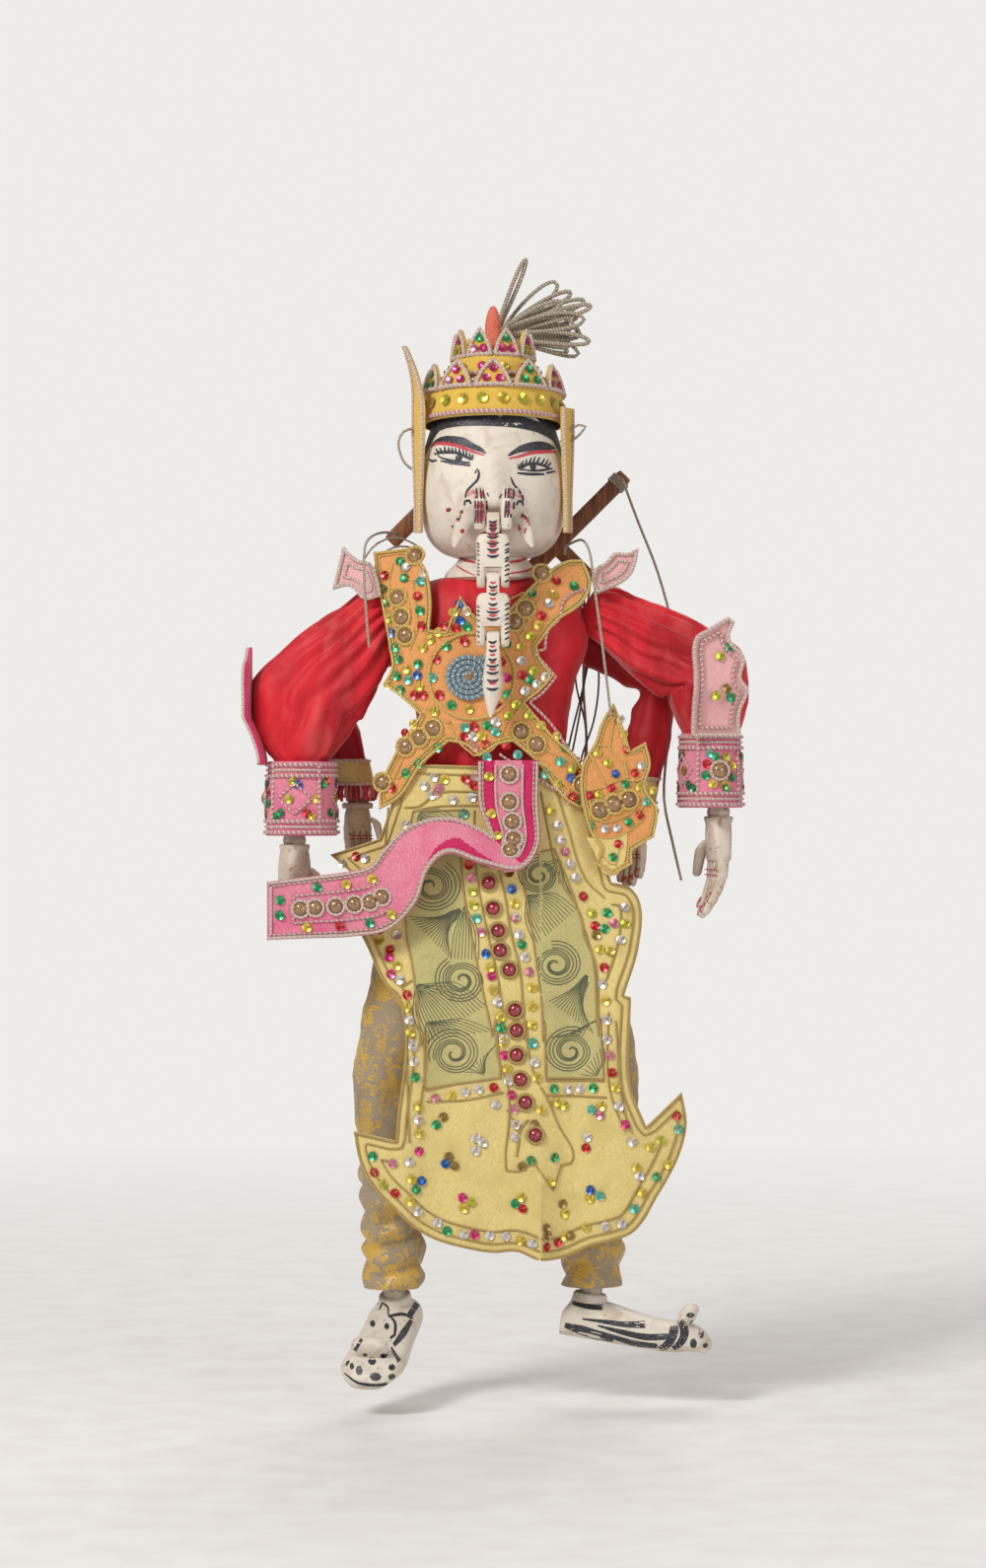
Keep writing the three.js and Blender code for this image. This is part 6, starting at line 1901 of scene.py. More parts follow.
def trouser(side_name, side):
    hip, knee, ankle = local(f"hip_turn_{side_name}"), local(f"knee_{side_name}"), local(f"ankle_{side_name}")
    upper, lower = f"upper_leg_{side_name}", f"lower_leg_{side_name}"
    level, ahead = Vector((1, 0, 0)), Vector((0, 1, 0))
    stations = []
    for angle in (26, 12, 0):
        half = 23.6 * cos(radians(angle))
        stations.append((hip + Vector((0, 0, 23.6 * sin(radians(angle)))), level * half, ahead * half))
    for t, wide, deep in ((0.25, 24.6, 23.2), (0.5, 25, 22.8), (0.75, 24.2, 22)):
        stations.append((hip.lerp(knee, t), level * wide, ahead * deep))
    stations.append((knee, level * 21.6, ahead * 21.2))
    for t, half in ((0.22, 20.4), (0.45, 18.8), (0.65, 18), (0.84, 17.4), (0.985, 16.6)):
        stations.append((knee.lerp(ankle, t), level * half, ahead * half))

    def folds(angle, t, point):
        low = smoothstep(t, 0.6, 0.72)
        pucker = 1.9 * ridge((point.z + 3 * sin(2 * angle + side)) / 2.5 + wrinkle(point, 22, 3, 2)) * low
        upright = (0.8 * ridge(5 * angle + 4 * t) + wrinkle(point, 16, 2.0, side)) * (1 - low)
        return pucker + upright + wrinkle(point, 6, 0.6, 7)

    bend = (upper, lower, knee + Vector((0, 0, 18)), knee - Vector((0, 0, 18)))
    leg, cloth = cloth_tube(
        f"trouser_leg_{side_name}", stations, folds, "brocade", bend, trouser_rows, trouser_around,
    )
    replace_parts(leg, f"trouser_thigh_{side_name}", f"trouser_shin_{side_name}")
    leg_cut = tube_cut(cloth, trouser_rows, trouser_around)


trouser("left", -1)
trouser("right", 1)

# Shoes: carved, with an upturned bow on the toe
foot_length, foot_half_width, foot_tall = 90, 18, 30


def make_shoe(side_name, drop, angle):
    """A shoe, turned toe down by drop and sideways by angle. Returns its front's and its back's skins."""
    ankle = local(f"ankle_{side_name}")
    turn = Matrix.Rotation(radians(angle), 3, "Z") @ Matrix.Rotation(radians(drop), 3, "X")
    heel = foot_length * 0.16
    toe = heel - foot_length

    def level(centre, wide, ahead, count, power=2.0):
        wide_axis, ahead_axis = turn @ Vector((wide, 0, 0)), turn @ Vector(ahead)
        return ring_at(ankle + turn @ Vector(centre), wide_axis, ahead_axis, count, power)

    body_rings = []
    for y, wide, tall, lift in (
        (heel + 0.6, 0.3, 0.3, 3), (heel, 0.55, 0.5, 0), (heel - 3, 0.7, 0.66, 0), (heel - 8, 0.8, 0.76, 0),
        (-6, 0.86, 0.8, 0), (-18, 0.88, 0.73, 0), (-30, 0.92, 0.65, 0), (-44, 1, 0.6, 0),
        (-56, 1.02, 0.56, 1),
        (toe + 12, 0.98, 0.5, 3), (toe + 6, 0.82, 0.42, 3), (toe + 2, 0.6, 0.3, 3), (toe, 0.3, 0.16, 5),
    ):
        half = foot_tall * tall / 2
        centre = (0, y, lift - foot_tall + half)
        body_rings.append(level(centre, foot_half_width * wide, (0, 0, half), 32, 2.6))
    collar_rows = ((-22, 12, 15), (-14, 11, 12.4), (-7, 9.8, 10.6), (-3.5, 9.5, 10), (-2.6, 8.6, 9))
    collar_rings = [level((0, 0, z), wide, (0, deep, 0), 28) for z, wide, deep in collar_rows]
    bow_rings = []
    for y, z, wide, deep, tilt in (
        (20, 14, 8.6, 4, 1), (18, 19, 9.4, 4.2, 1.4), (16, 24, 11.4, 4.8, 2), (14, 27.6, 10, 4, 1.6),
        (12.6, 29.4, 6, 2.4, 1),
    ):
        bow_rings.append(level((0, toe + y, z - foot_tall), wide, (0, deep, tilt), 20, 2.4))
    solids = [solid_loft(rings) for rings in (body_rings, collar_rings, bow_rings)]
    piece, skin = carving(f"shoe_carving_{side_name}", solids, "white_paint", f"shoe_{side_name}")
    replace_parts(piece, f"foot_{side_name}")
    heap = Pile()
    for solid in solids:
        heap.add(*solid)
    return skin, on_solid(heap.points, heap.faces, origin=(0, 400, 0), toward=(0, -1, 0))


shoes = {"left": make_shoe("left", drop=20, angle=-14), "right": make_shoe("right", drop=8, angle=80)}

# Control: two cross bars halved on to a grip, their edges worn round by hands and strings
control_at, control_tilt, bar_spacing, lap = Vector((13, 70, 170)), 45, 73, 4
bar_half, bar_thick_half = 5, 5.5
bar_depth = lap - bar_thick_half
control_turn = Matrix.Rotation(radians(control_tilt), 3, "Y")
bars = {
    "control_grip": ((-45, bar_thick_half, 0), (68, bar_thick_half, 0)),
    "control_bar_left": ((-bar_spacing / 2, bar_depth, -71), (-bar_spacing / 2, bar_depth, 14)),
    "control_bar_right": ((bar_spacing / 2, bar_depth, -48), (bar_spacing / 2, bar_depth, 60)),
}
for name, ends in bars.items():
    start, end = (Vector(point) for point in ends)
    length = (end - start).length
    along = (end - start) / length
    across = Vector((0, 0, -1)) if along.x else Vector((1, 0, 0))
    rings, count = [], round(length / 2.5)
    for k in range(count + 1):
        reach = length * k / count
        near_end = min(reach, length - reach)
        worn = min(1, 0.86 + near_end / 9) - 0.012 * noise.noise(Vector((reach / 9, len(name), 0)))
        centre = control_at + control_turn @ (start + along * reach)
        ahead = Vector((0, bar_thick_half * worn, 0))
        rings.append(ring_at(centre, control_turn @ across * bar_half * worn, ahead, 24, 7))
    bar, _ = carving(name + "_wood", [solid_loft(rings)], "control_wood", "torso")
    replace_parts(bar, name)
    if name == "control_grip":
        continue
    for turn in range(4):
        centre = control_at + control_turn @ (end - along * (4 + 1.5 * turn))
        ahead = Vector((0, bar_thick_half + 0.5, 0))
        wrap = ring_at(centre, control_turn @ across * (bar_half + 0.5), ahead, 24, 5)
        pile("cotton_cord", "torso").add(*tube(wrap + wrap[:1], 0.8, 6))

# Wood and knots that show between the cloths keep their solids
for name, node in frame["nodes"].items():
    shown_as = None
    if name in ("chest_block", "pelvis_block") or name.startswith(("upper_arm", "thigh")):
        shown_as = "bare_wood"
    if name.startswith(("forearm", "shin")):
        shown_as = "hand_paint"
    if name.startswith(("shoulder_knot", "hip_cord")):
        shown_as = "cotton_cord"
    if shown_as:
        node.data.materials.clear()
        node.data.materials.append(looks[shown_as])


# Trim. Its places were read off enlarged parts of the photograph, in their own units.
def close_up(left, top, scale):
    return lambda x, y: seen(left + x / scale, top + y / scale)


def placed(spot, places):
    return [spot(x, y) for x, y in places]


def within(outline, line):
    """The part of a line that stays on its felt."""
    return [point for point in line if inside(outline, point.x, point.y)]


def scatter(skin, spot, places, group, radius=2.9):
    """Sequins: letters of SEQUINS with the places of each."""
    for letter, points in places.items():
        for x, y in points:
            at = spot(x, y)
            sequin(skin, at.x, at.y, letter, group(at.x) if callable(group) else group, radius)


def beads(skin, spot, places, look, group, radius, ring):
    for x, y in places:
        at = spot(x, y)
        bead(skin, at.x, at.y, look, group(at.x) if callable(group) else group, radius, ring)


# Collar: gold cords along its edges and between its lanes, glass beads and sequins
collar_spot, border_spot = close_up(370, 540, 5.41), close_up(370.5, 540, 5.41)
cord_on(collar_skin, inset(collar_outline, 1.0), "gold_cord", "torso", 0.95, closed=True)
for places in (
    [(1225, 305), (1130, 335), (1085, 380), (1065, 470), (1000, 540), (985, 640), (925, 655), (1045, 792),
     (960, 890), (905, 925)],
    [(900, 930), (1010, 1040), (1150, 1225), (1215, 1262)],
    [(735, 1215), (860, 1300), (1000, 1385), (1100, 1440), (1110, 1500)],
):
    cord_on(collar_skin, flowing(placed(border_spot, places), step=1.8), "rose_cord", "torso", 0.8)
cord_on(collar_skin, inset(collar_outline, 2.9), "gold_cord", "torso", 0.6, closed=True)
ring_angles = [2 * pi * k / 60 for k in range(60)]
medallion_ring = [medallion_at + Vector((2 + 25.2 * cos(angle), 25.2 * sin(angle))) for angle in ring_angles]
cord_on(collar_skin, medallion_ring, "gold_cord", "torso", 0.9, closed=True)
collar_lanes = [
    [(150, 165), (133, 250), (148, 400), (170, 530), (205, 690)],
    [(185, 160), (200, 230), (262, 262), (272, 350), (285, 450), (290, 520), (248, 640)],
    [(330, 205), (272, 262)],
    [(150, 330), (200, 320), (240, 380), (240, 520), (262, 600)],
    [(790, 370), (870, 330), (900, 350)],
    [(1010, 295), (930, 420), (850, 580)],
    [(790, 390), (775, 480), (830, 540), (870, 640)],
    [(470, 1050), (500, 1130), (600, 1225), (700, 1190), (770, 1060)],
    [(320, 1010), (230, 1190), (150, 1370)],
    [(440, 1100), (320, 1210), (180, 1350)],
    [(340, 960), (400, 1010), (440, 1040), (470, 1040)],
    [(770, 1050), (820, 1000), (870, 940)],
    [(760, 1100), (900, 1215), (1020, 1310), (1120, 1410)],
    [(820, 1040), (920, 1110), (1010, 1200), (1130, 1260)],
    [(1130, 1260), (1150, 1350), (1190, 1400)],
    [(360, 560), (460, 560), (560, 548), (610, 545)],
]
for lane in collar_lanes:
    cord_on(collar_skin, flowing(placed(collar_spot, lane), step=1.8), "gold_cord", "torso", 0.6)
collar_sequins = {
    "n": [(450, 622), (477, 945), (783, 888), (778, 612), (97, 307), (117, 385), (168, 630), (187, 690),
          (302, 425),
          (560, 515), (295, 720), (178, 785), (198, 860), (905, 808), (672, 1058), (405, 1180), (297, 1268),
          (227, 1318), (1097, 1180), (1205, 1295), (915, 335), (1147, 292), (192, 152), (217, 245)],
    "r": [(548, 597), (392, 692), (410, 890), (722, 945), (747, 710), (108, 228), (290, 350), (315, 510),
          (500, 522),
          (438, 505), (275, 890), (322, 892), (867, 785), (600, 1065), (548, 1120), (665, 1165), (225, 1098),
          (150, 1400), (1170, 1320), (775, 1170), (1138, 1452), (970, 455), (1050, 265)],
    "g": [(572, 968), (485, 440), (405, 548), (128, 830), (230, 750), (640, 1115), (270, 1050), (360, 585),
          (320, 628),
          (1050, 1115), (1035, 343), (945, 508), (858, 630), (300, 840)],
    "y": [(130, 465), (385, 980), (790, 1005), (830, 945), (925, 757), (968, 1060), (925, 1272), (1055, 1378),
          (900, 1003), (1135, 1300), (908, 570)],
    "t": [(372, 795), (240, 808), (717, 1095), (552, 1070), (672, 1235), (838, 1218), (990, 1325),
          (1072, 1255),
          (307, 268), (1190, 1478)],
    "w": [(560, 430), (860, 705), (988, 790), (940, 832), (718, 1040), (595, 1120), (325, 225), (1008, 392),
          (225, 185),
          (877, 868)],
    "b": [(520, 395), (525, 483), (290, 782), (145, 548), (1130, 1345)],
    "p": [(598, 1180)],
    "m": [(780, 797)],
}
scatter(collar_skin, collar_spot, collar_sequins, "torso")
collar_beads = [
    (178, 352), (200, 462), (222, 562), (880, 420), (822, 490), (375, 1075), (300, 1125), (225, 1175),
    (857, 1092),
    (940, 1162), (970, 222), (1190, 1385), (275, 120), (95, 1370),
]
beads(collar_skin, collar_spot, collar_beads, "amber_bead", "torso", 4.6, "gold_cord")

# Apron: corded borders, two scroll panels, a band of red beads and small flowers of three sequins
upper_spot, lower_spot = close_up(330, 760, 4.24), close_up(340, 1030, 4.24)


def apron_cord(line, look, radius, closed=False):
    """A cord on the apron, cut where it crosses the crease, so that each half carries its own."""
    line = flowing(line, closed=closed, step=2)
    line += line[:1] if closed else []
    run = line[:1]
    for a, b in zip(line, line[1:]):
        if (a.x < crease_x) != (b.x < crease_x):
            cord_on(apron_skin, run, look, apron_group(run[-1].x), radius)
            run = []
        run.append(b)
    cord_on(apron_skin, run, look, apron_group(run[-1].x), radius)


for distance, radius in ((1.0, 0.75), (5.4, 0.6)):
    apron_cord(inset(apron_outline, distance), "gold_thread", radius, closed=True)
edge = [point for point in inset(apron_outline, 12.6) if point.y < -148 or abs(point.x) > 66]
runs, run = [], edge[:1]
for a, b in zip(edge, edge[1:]):
    if (b - a).length > 9:
        runs.append(run)
        run = []
    run.append(b)
for run in runs + [run]:
    if len(run) > 4:
        apron_cord(run, "gold_thread", 0.6)

left_panel = placed(upper_spot, [(378, 265), (345, 420), (345, 640), (352, 800), (380, 960), (410, 1270)])
left_panel += placed(lower_spot, [(383, 60), (385, 312), (712, 262), (690, 10)])
left_panel += placed(upper_spot, [(720, 1230), (650, 900), (600, 640), (580, 420), (575, 260)])
right_panel = placed(upper_spot, [(838, 460), (850, 560), (875, 700), (905, 900), (930, 1100), (935, 1250)])
right_panel += placed(lower_spot, [(900, 20), (905, 265), (1155, 270), (1140, 10)])
right_panel += placed(upper_spot, [(1170, 1200), (1150, 900), (1085, 690), (1040, 560), (985, 430)])
for panel, group in ((left_panel, "apron_left"), (right_panel, "apron_right")):
    shape = flowing(panel, closed=True, step=3, corner=35)
    blob(apron_skin, shape[::3], "olive_felt", group, lift=0.25, cell=4)
    apron_cord(panel, "gold_thread", 0.6, closed=True)
apron_lines = [
    (upper_spot, [(640, 262), (640, 420), (660, 600), (700, 800), (745, 1000), (770, 1240)]),
    (lower_spot, [(690, 40), (700, 180), (742, 300), (745, 470), (732, 590), (735, 660), (800, 660),
                  (850, 620)]),
    (upper_spot, [(735, 455), (770, 620), (800, 800), (835, 940), (850, 1100), (862, 1250)]),
    (lower_spot, [(822, 20), (835, 180), (870, 280), (905, 340), (960, 470), (1025, 600), (1015, 630),
                  (970, 640)]),
    (lower_spot, [(780, 600), (800, 480), (830, 440)]),
    (lower_spot, [(850, 620), (905, 700), (935, 748), (970, 640)]),
    (lower_spot, [(740, 400), (790, 500), (780, 600)]),
    (lower_spot, [(393, 318), (540, 288), (712, 262)]),
    (lower_spot, [(393, 366), (540, 362), (722, 325)]),
    (lower_spot, [(905, 275), (1155, 278)]),
    (lower_spot, [(905, 338), (1165, 348)]),
    (upper_spot, [(270, 250), (255, 420), (250, 520)]),
    (upper_spot, [(380, 265), (480, 245), (660, 240)]),
    (upper_spot, [(340, 250), (400, 245), (480, 190), (660, 182)]),
    (upper_spot, [(590, 255), (600, 330)]),
    (upper_spot, [(925, 170), (955, 330), (1010, 560), (1100, 720), (1110, 800), (1160, 915), (1175, 1230)]),
    (upper_spot, [(985, 150), (1040, 330), (1120, 560), (1200, 640)]),
    (upper_spot, [(210, 740), (300, 720), (352, 700)]),
    (upper_spot, [(330, 1020), (375, 990)]),
    (lower_spot, [(303, 30), (320, 540)]),
    (lower_spot, [(1205, 20), (1240, 400), (1275, 500)]),
]
for spot, line in apron_lines:
    apron_cord(placed(spot, line), "gold_thread", 0.6)


def scroll(spot, centre, reach, turns, way, start):
    """Three rows of thin cord that curl inwards."""
    at = spot(*centre)
    for row in (0, 1, 2):
        line = []
        for k in range(int(turns * 18) + 1):
            share = max(0, 1 - k / (turns * 18))
            angle = radians(start) + way * 2 * pi * turns * (1 - share)
            out = (reach * (1 - 0.15 * row) * share ** 0.8 + 1.2) * 0.58
            line.append(at + Vector((out * cos(angle), 0.9 * out * sin(angle))))
        apron_cord(line, "olive_thread", 0.36)


def fan(spot, root, tips, bow):
    """Curved rows of thin cord that spread from one place."""
    start = spot(*root)
    (x0, y0), (x1, y1), count = tips
    for k in range(count):
        share = k / (count - 1)
        end = spot(x0 + (x1 - x0) * share, y0 + (y1 - y0) * share)
        side = Vector((start.y - end.y, end.x - start.x)) * (bow * (share - 0.35))
        root_gap = 0.16 if k % 2 else 0.06
        apron_cord([start.lerp(end, root_gap), start.lerp(end, 0.5) + side, end], "olive_thread", 0.27)


scroll(upper_spot, (455, 590), 30, 2.2, -1, 60)
scroll(upper_spot, (585, 990), 27, 2.2, 1, 120)
scroll(lower_spot, (510, 160), 29, 2.2, -1, 200)
scroll(upper_spot, (920, 540), 22, 2.0, 1, 90)
scroll(upper_spot, (990, 925), 26, 2.2, -1, 100)
scroll(lower_spot, (1010, 150), 27, 2.2, 1, 60)
fan(upper_spot, (400, 270), ((400, 470), (570, 300), 13), 0.25)
fan(upper_spot, (585, 420), ((480, 300), (420, 420), 8), 0.2)
fan(upper_spot, (590, 680), ((360, 720), (540, 900), 17), -0.25)
fan(upper_spot, (600, 660), ((540, 900), (660, 900), 9), 0.15)
fan(upper_spot, (385, 1000), ((420, 1260), (690, 1100), 20), 0.25)
fan(upper_spot, (860, 620), ((900, 840), (1080, 690), 16), 0.25)
fan(upper_spot, (1130, 960), ((960, 1080), (1150, 1220), 16), -0.2)
fan(upper_spot, (850, 470), ((860, 600), (880, 480), 4), 0.1)
fan(upper_spot, (1010, 470), ((1080, 660), (900, 470), 8), 0.2)
fan(lower_spot, (1140, 10), ((930, 90), (1060, 90), 9), -0.2)
fan(lower_spot, (390, 20), ((400, 110), (680, 60), 12), 0.15)
fan(lower_spot, (640, 250), ((560, 240), (690, 120), 9), 0.2)
fan(lower_spot, (1130, 255), ((1060, 250), (1150, 120), 8), -0.2)

upper_sequins = {
    "w": [(470, 118), (430, 155), (460, 195), (648, 115), (550, 215), (630, 205), (348, 325), (338, 415),
          (310, 800),
          (325, 990), (363, 1160), (378, 1262), (612, 435), (740, 1083), (765, 1240), (832, 793), (858, 890),
          (815, 722),
          (997, 325), (1010, 390), (1052, 495), (1073, 553), (1287, 683), (1270, 820), (1192, 1008),
          (1208, 1160),
          (1212, 1240), (72, 495), (170, 470)],
    "g": [(512, 128), (345, 375), (310, 930), (352, 1103), (367, 1212), (712, 935), (722, 1030), (755, 1145),
          (812, 660), (890, 1020), (888, 1100), (888, 1180), (968, 265), (1225, 870), (1208, 1078),
          (1180, 860), (778, 465)],
    "p": [(490, 165), (480, 185), (672, 783), (815, 722), (1030, 440), (1240, 750), (875, 955), (628, 552)],
    "r": [(603, 125), (636, 152), (612, 385), (618, 497), (238, 778), (280, 862), (353, 1052), (1107, 633),
          (1160, 760), (1200, 937), (130, 462), (322, 605)],
    "m": [(283, 965), (275, 895), (715, 970), (322, 655)],
    "b": [(325, 555), (693, 875), (800, 600), (300, 710)],
    "y": [(635, 610), (638, 668), (235, 825), (1145, 705), (1290, 750)],
    "n": [(755, 1192), (843, 838), (1212, 703), (1200, 772)],
    "t": [(597, 275), (652, 725), (893, 1255)],
    "a": [(790, 530), (1165, 800)],
}
lower_sequins = {
    "w": [(335, 127), (337, 190), (357, 440), (562, 323), (618, 310), (320, 620), (355, 835), (440, 885),
          (555, 935),
          (665, 938), (848, 968), (735, 940), (857, 195), (1168, 97), (1168, 15), (1220, 385), (1275, 537),
          (1160, 898), (1232, 890), (745, 275), (775, 515), (778, 462), (1085, 518), (605, 520), (635, 540),
          (605, 575),
          (1000, 315), (1055, 310), (690, 375), (1308, 685)],
    "g": [(325, 68), (357, 385), (500, 340), (322, 790), (800, 955), (1080, 905), (985, 945), (1318, 755),
          (1430, 638),
          (1355, 560), (362, 500), (740, 222), (722, 110), (330, 695), (555, 822), (803, 772), (948, 370),
          (1145, 385),
          (885, 400), (1205, 305), (868, 260), (1095, 780), (985, 848), (1295, 650), (925, 712)],
    "n": [(345, 258), (165, 600), (482, 920), (348, 742), (435, 465), (775, 800), (938, 310), (1112, 308),
          (1380, 690),
          (842, 615), (715, 48), (940, 605)],
    "r": [(172, 668), (260, 755), (682, 303), (808, 820), (1080, 565), (1467, 428), (1190, 240), (905, 985),
          (955, 970)],
    "m": [(360, 577), (600, 935), (548, 778), (1245, 463), (758, 335), (725, 165)],
    "p": [(430, 350), (250, 628), (770, 395), (1140, 422), (1180, 165)],
    "t": [(850, 118), (1105, 400), (1285, 825), (1475, 485), (1140, 768)],
    "y": [(210, 718), (585, 795), (982, 382), (1400, 533)],
    "b": [(370, 705), (1100, 745), (475, 632)],
    "a": [(465, 432), (490, 602), (515, 640), (905, 905), (910, 935), (975, 805), (1010, 940), (805, 640),
          (855, 460)],
}
scatter(apron_skin, upper_spot, upper_sequins, apron_group)
scatter(apron_skin, lower_spot, lower_sequins, apron_group)
upper_beads = [(692, 470), (703, 573), (722, 683), (743, 778), (752, 862), (790, 945), (815, 1118),
               (822, 1205)]
lower_beads = [(780, 165), (797, 270), (818, 368), (860, 508)]
for spot, places in ((upper_spot, upper_beads), (lower_spot, lower_beads)):
    beads(apron_skin, spot, places, "ruby_bead", "apron_left", 3.9, "gold_thread")

# Hip ornament: corded lobes, three amber beads in a ring and a yellow tab below
hip_spot = close_up(570, 700, 7.84)
tab_places = [(190, 1165), (330, 1180), (520, 1140), (505, 1330), (440, 1490), (330, 1450), (250, 1280)]
hip_tab = flowing(placed(hip_spot, tab_places), True, 2)
blob(hip_skin, hip_tab[::3], "yellow_felt", "pelvis", lift=0.5, cell=3)
cord_on(hip_skin, inset(hip_outline, 0.9), "gold_cord", "pelvis", 0.9, closed=True)
cord_on(hip_skin, inset(hip_outline, 2.6), "gold_cord", "pelvis", 0.6, closed=True)
hip_cords = [
    [(375, 470), (400, 290), (435, 130), (520, 260), (570, 450), (500, 520)],
    [(200, 460), (330, 720), (345, 740)],
    [(205, 450), (340, 440), (430, 520), (500, 620), (520, 700)],
    [(500, 560), (520, 690)],
    [(210, 800), (330, 770), (470, 710), (600, 720), (640, 700)],
    [(215, 870), (330, 860), (450, 790), (560, 790), (610, 860), (560, 960), (430, 1030), (330, 1050),
     (240, 1010), (215, 870)],
    [(160, 900), (165, 1050), (270, 1160), (430, 1170), (540, 1110), (650, 1020)],
    [(560, 720), (640, 820), (650, 900), (610, 980)],
    [(300, 1230), (370, 1370), (430, 1390), (470, 1210)],
]
hip_field = inset(hip_outline, 0.6)
for line in hip_cords:
    whole = flowing(placed(hip_spot, line), step=1.6)
    cord_on(hip_skin, within(hip_field, whole) or whole, "gold_cord", "pelvis", 0.6)
hip_sequins = {
    "w": [(468, 230), (630, 595), (340, 1100), (433, 1092)],
    "g": [(492, 345), (280, 495), (615, 765), (722, 795), (290, 830)],
    "r": [(515, 470), (578, 655), (395, 775), (620, 990), (447, 1222), (220, 835)],
    "y": [(362, 575)],
    "b": [(425, 665)],
    "n": [(508, 745), (228, 1070), (532, 1048), (405, 1325)],
    "t": [(672, 885)],
}
scatter(hip_skin, hip_spot, hip_sequins, "pelvis", 2.6)
beads(hip_skin, hip_spot, [(300, 955), (415, 905), (530, 870)], "amber_bead", "pelvis", 4.8, "gold_cord")

# Sash: cream cords along its edges, a row of amber beads and gold sequins
sash_length, sash_half = 226.0, 18.0


def sash_skin(along, across):
    return on_sash(min(1, max(0, along / sash_length)), across / sash_half)


def sash_line(*points):
    return flowing([Vector(point) for point in points], step=2)


for edge in (-16.8, 16.8):
    cord_on(sash_skin, sash_line((1, edge), (225, edge)), "cream_cord", "pelvis", 0.9)
for edge in (-15, 15):
    cord_on(sash_skin, sash_line((1, edge), (222, edge)), "rose_cord", "pelvis", 0.6)
cord_on(sash_skin, sash_line((223, -15), (223, 15)), "cream_cord", "pelvis", 0.9)
for edge in (-7.5, 8.5):
    cord_on(sash_skin, sash_line((3, edge), (56, edge)), "cream_cord", "pelvis", 0.7)
    cord_on(sash_skin, sash_line((160, edge), (212, edge)), "rose_cord", "pelvis", 0.7)
cord_on(sash_skin, sash_line((212, -7.5), (212, 8.5)), "rose_cord", "pelvis", 0.7)
for along in (8, 20, 31, 43, 54):
    bead(sash_skin, along, 0.6, "amber_bead", "pelvis", 4.3, "cream_cord")
for along in (163, 172, 182, 192, 202, 209):
    bead(sash_skin, along, 0.4, "amber_bead", "pelvis", 4.1, "cream_cord")
for along, across, letter in (
    (9, -11.4, "g"), (27, -11.4, "g"), (46, -11.4, "g"), (160, 11.6, "g"), (174, 11.6, "n"), (190, 11.6, "r"),
    (206, 11.6, "g"), (167, -11.2, "g"), (186, -11.2, "g"), (201, -11.2, "n"), (218, 3, "n"), (218, -6, "n"),
):
    sequin(sash_skin, along, across, letter, "pelvis")


# Painted lines of the face
face_spot = close_up(400, 400, 7.84)


def face_line(width, look, *places):
    stroke(face_skin, placed(face_spot, places), [1.75 * w for w in width], look, "head")


def face_patch(look, *places):
    blob(face_skin, placed(face_spot, places), look, "head", cell=1.4)


face_patch(
    "black_line", (262, 195), (400, 165), (600, 135), (780, 140), (950, 155), (1150, 205), (1295, 262),
    (1290, 330), (1268, 350),
    (1150, 300), (1000, 270), (800, 255), (600, 250), (450, 255), (340, 280), (290, 320), (262, 390),
    (235, 470), (240, 340),
)
for places in (
    [(825, 168), (850, 160), (862, 172), (835, 180)], [(850, 232), (905, 228), (900, 250), (860, 258)],
    [(935, 232), (990, 222), (1010, 235), (950, 244)],
):
    face_patch("white_paint", *places)
face_patch(
    "black_line", (278, 402), (330, 342), (400, 322), (480, 328), (560, 348), (640, 398), (700, 432),
    (736, 480), (690, 466),
    (620, 440), (560, 416), (480, 396), (400, 382), (325, 374),
)
face_line((0.7, 1.2, 1.1, 1.0, 0.6), "red_line", (292, 396), (335, 380), (420, 388), (520, 416), (620, 456),
          (715, 490))
face_patch(
    "black_line", (895, 494), (930, 458), (1000, 410), (1080, 380), (1170, 366), (1240, 380), (1287, 414),
    (1240, 430),
    (1150, 440), (1060, 456), (980, 470), (920, 494),
)
face_line((0.6, 1.0, 1.2, 1.2, 0.8), "red_line", (912, 515), (990, 496), (1080, 466), (1180, 450),
          (1290, 440))
for centre, reach in (((513, 506), 31), ((1103, 577), 29)):
    ring = [(centre[0] + reach * cos(k), centre[1] + reach * 0.9 * sin(k)) for k in range(7)][:6]
    face_patch("black_line", *ring)
    # A small grey painted highlight in each pupil
    glint = [(centre[0] - 8 + 5 * cos(k), centre[1] - 8 + 5 * sin(k)) for k in range(6)]
    face_patch("ash_line", *glint)
face_line((0.5, 1.1, 1.0, 1.0, 0.8), "black_line", (318, 462), (360, 455), (430, 456), (500, 466),
          (570, 500), (614, 524))
face_line((0.4, 0.8, 0.9, 0.7), "black_line", (340, 470), (380, 502), (440, 520), (520, 536), (602, 548))
face_line((0.5, 1.0, 0.6), "black_line", (272, 498), (300, 518), (336, 514))
face_line((0.4, 0.9, 0.9, 0.8), "black_line", (365, 522), (450, 542), (520, 556), (606, 570))
face_line((0.4, 1.0, 1.1, 1.0, 0.5), "black_line", (1000, 610), (1040, 566), (1100, 550), (1170, 556),
          (1232, 584))
face_line((0.4, 0.8, 0.9, 0.6), "black_line", (1012, 600), (1080, 607), (1160, 602), (1258, 578))
face_line((0.6, 1.0, 1.0, 0.7), "black_line", (975, 630), (1080, 636), (1192, 630))
face_line((0.8, 0.6), "black_line", (1206, 620), (1282, 600))
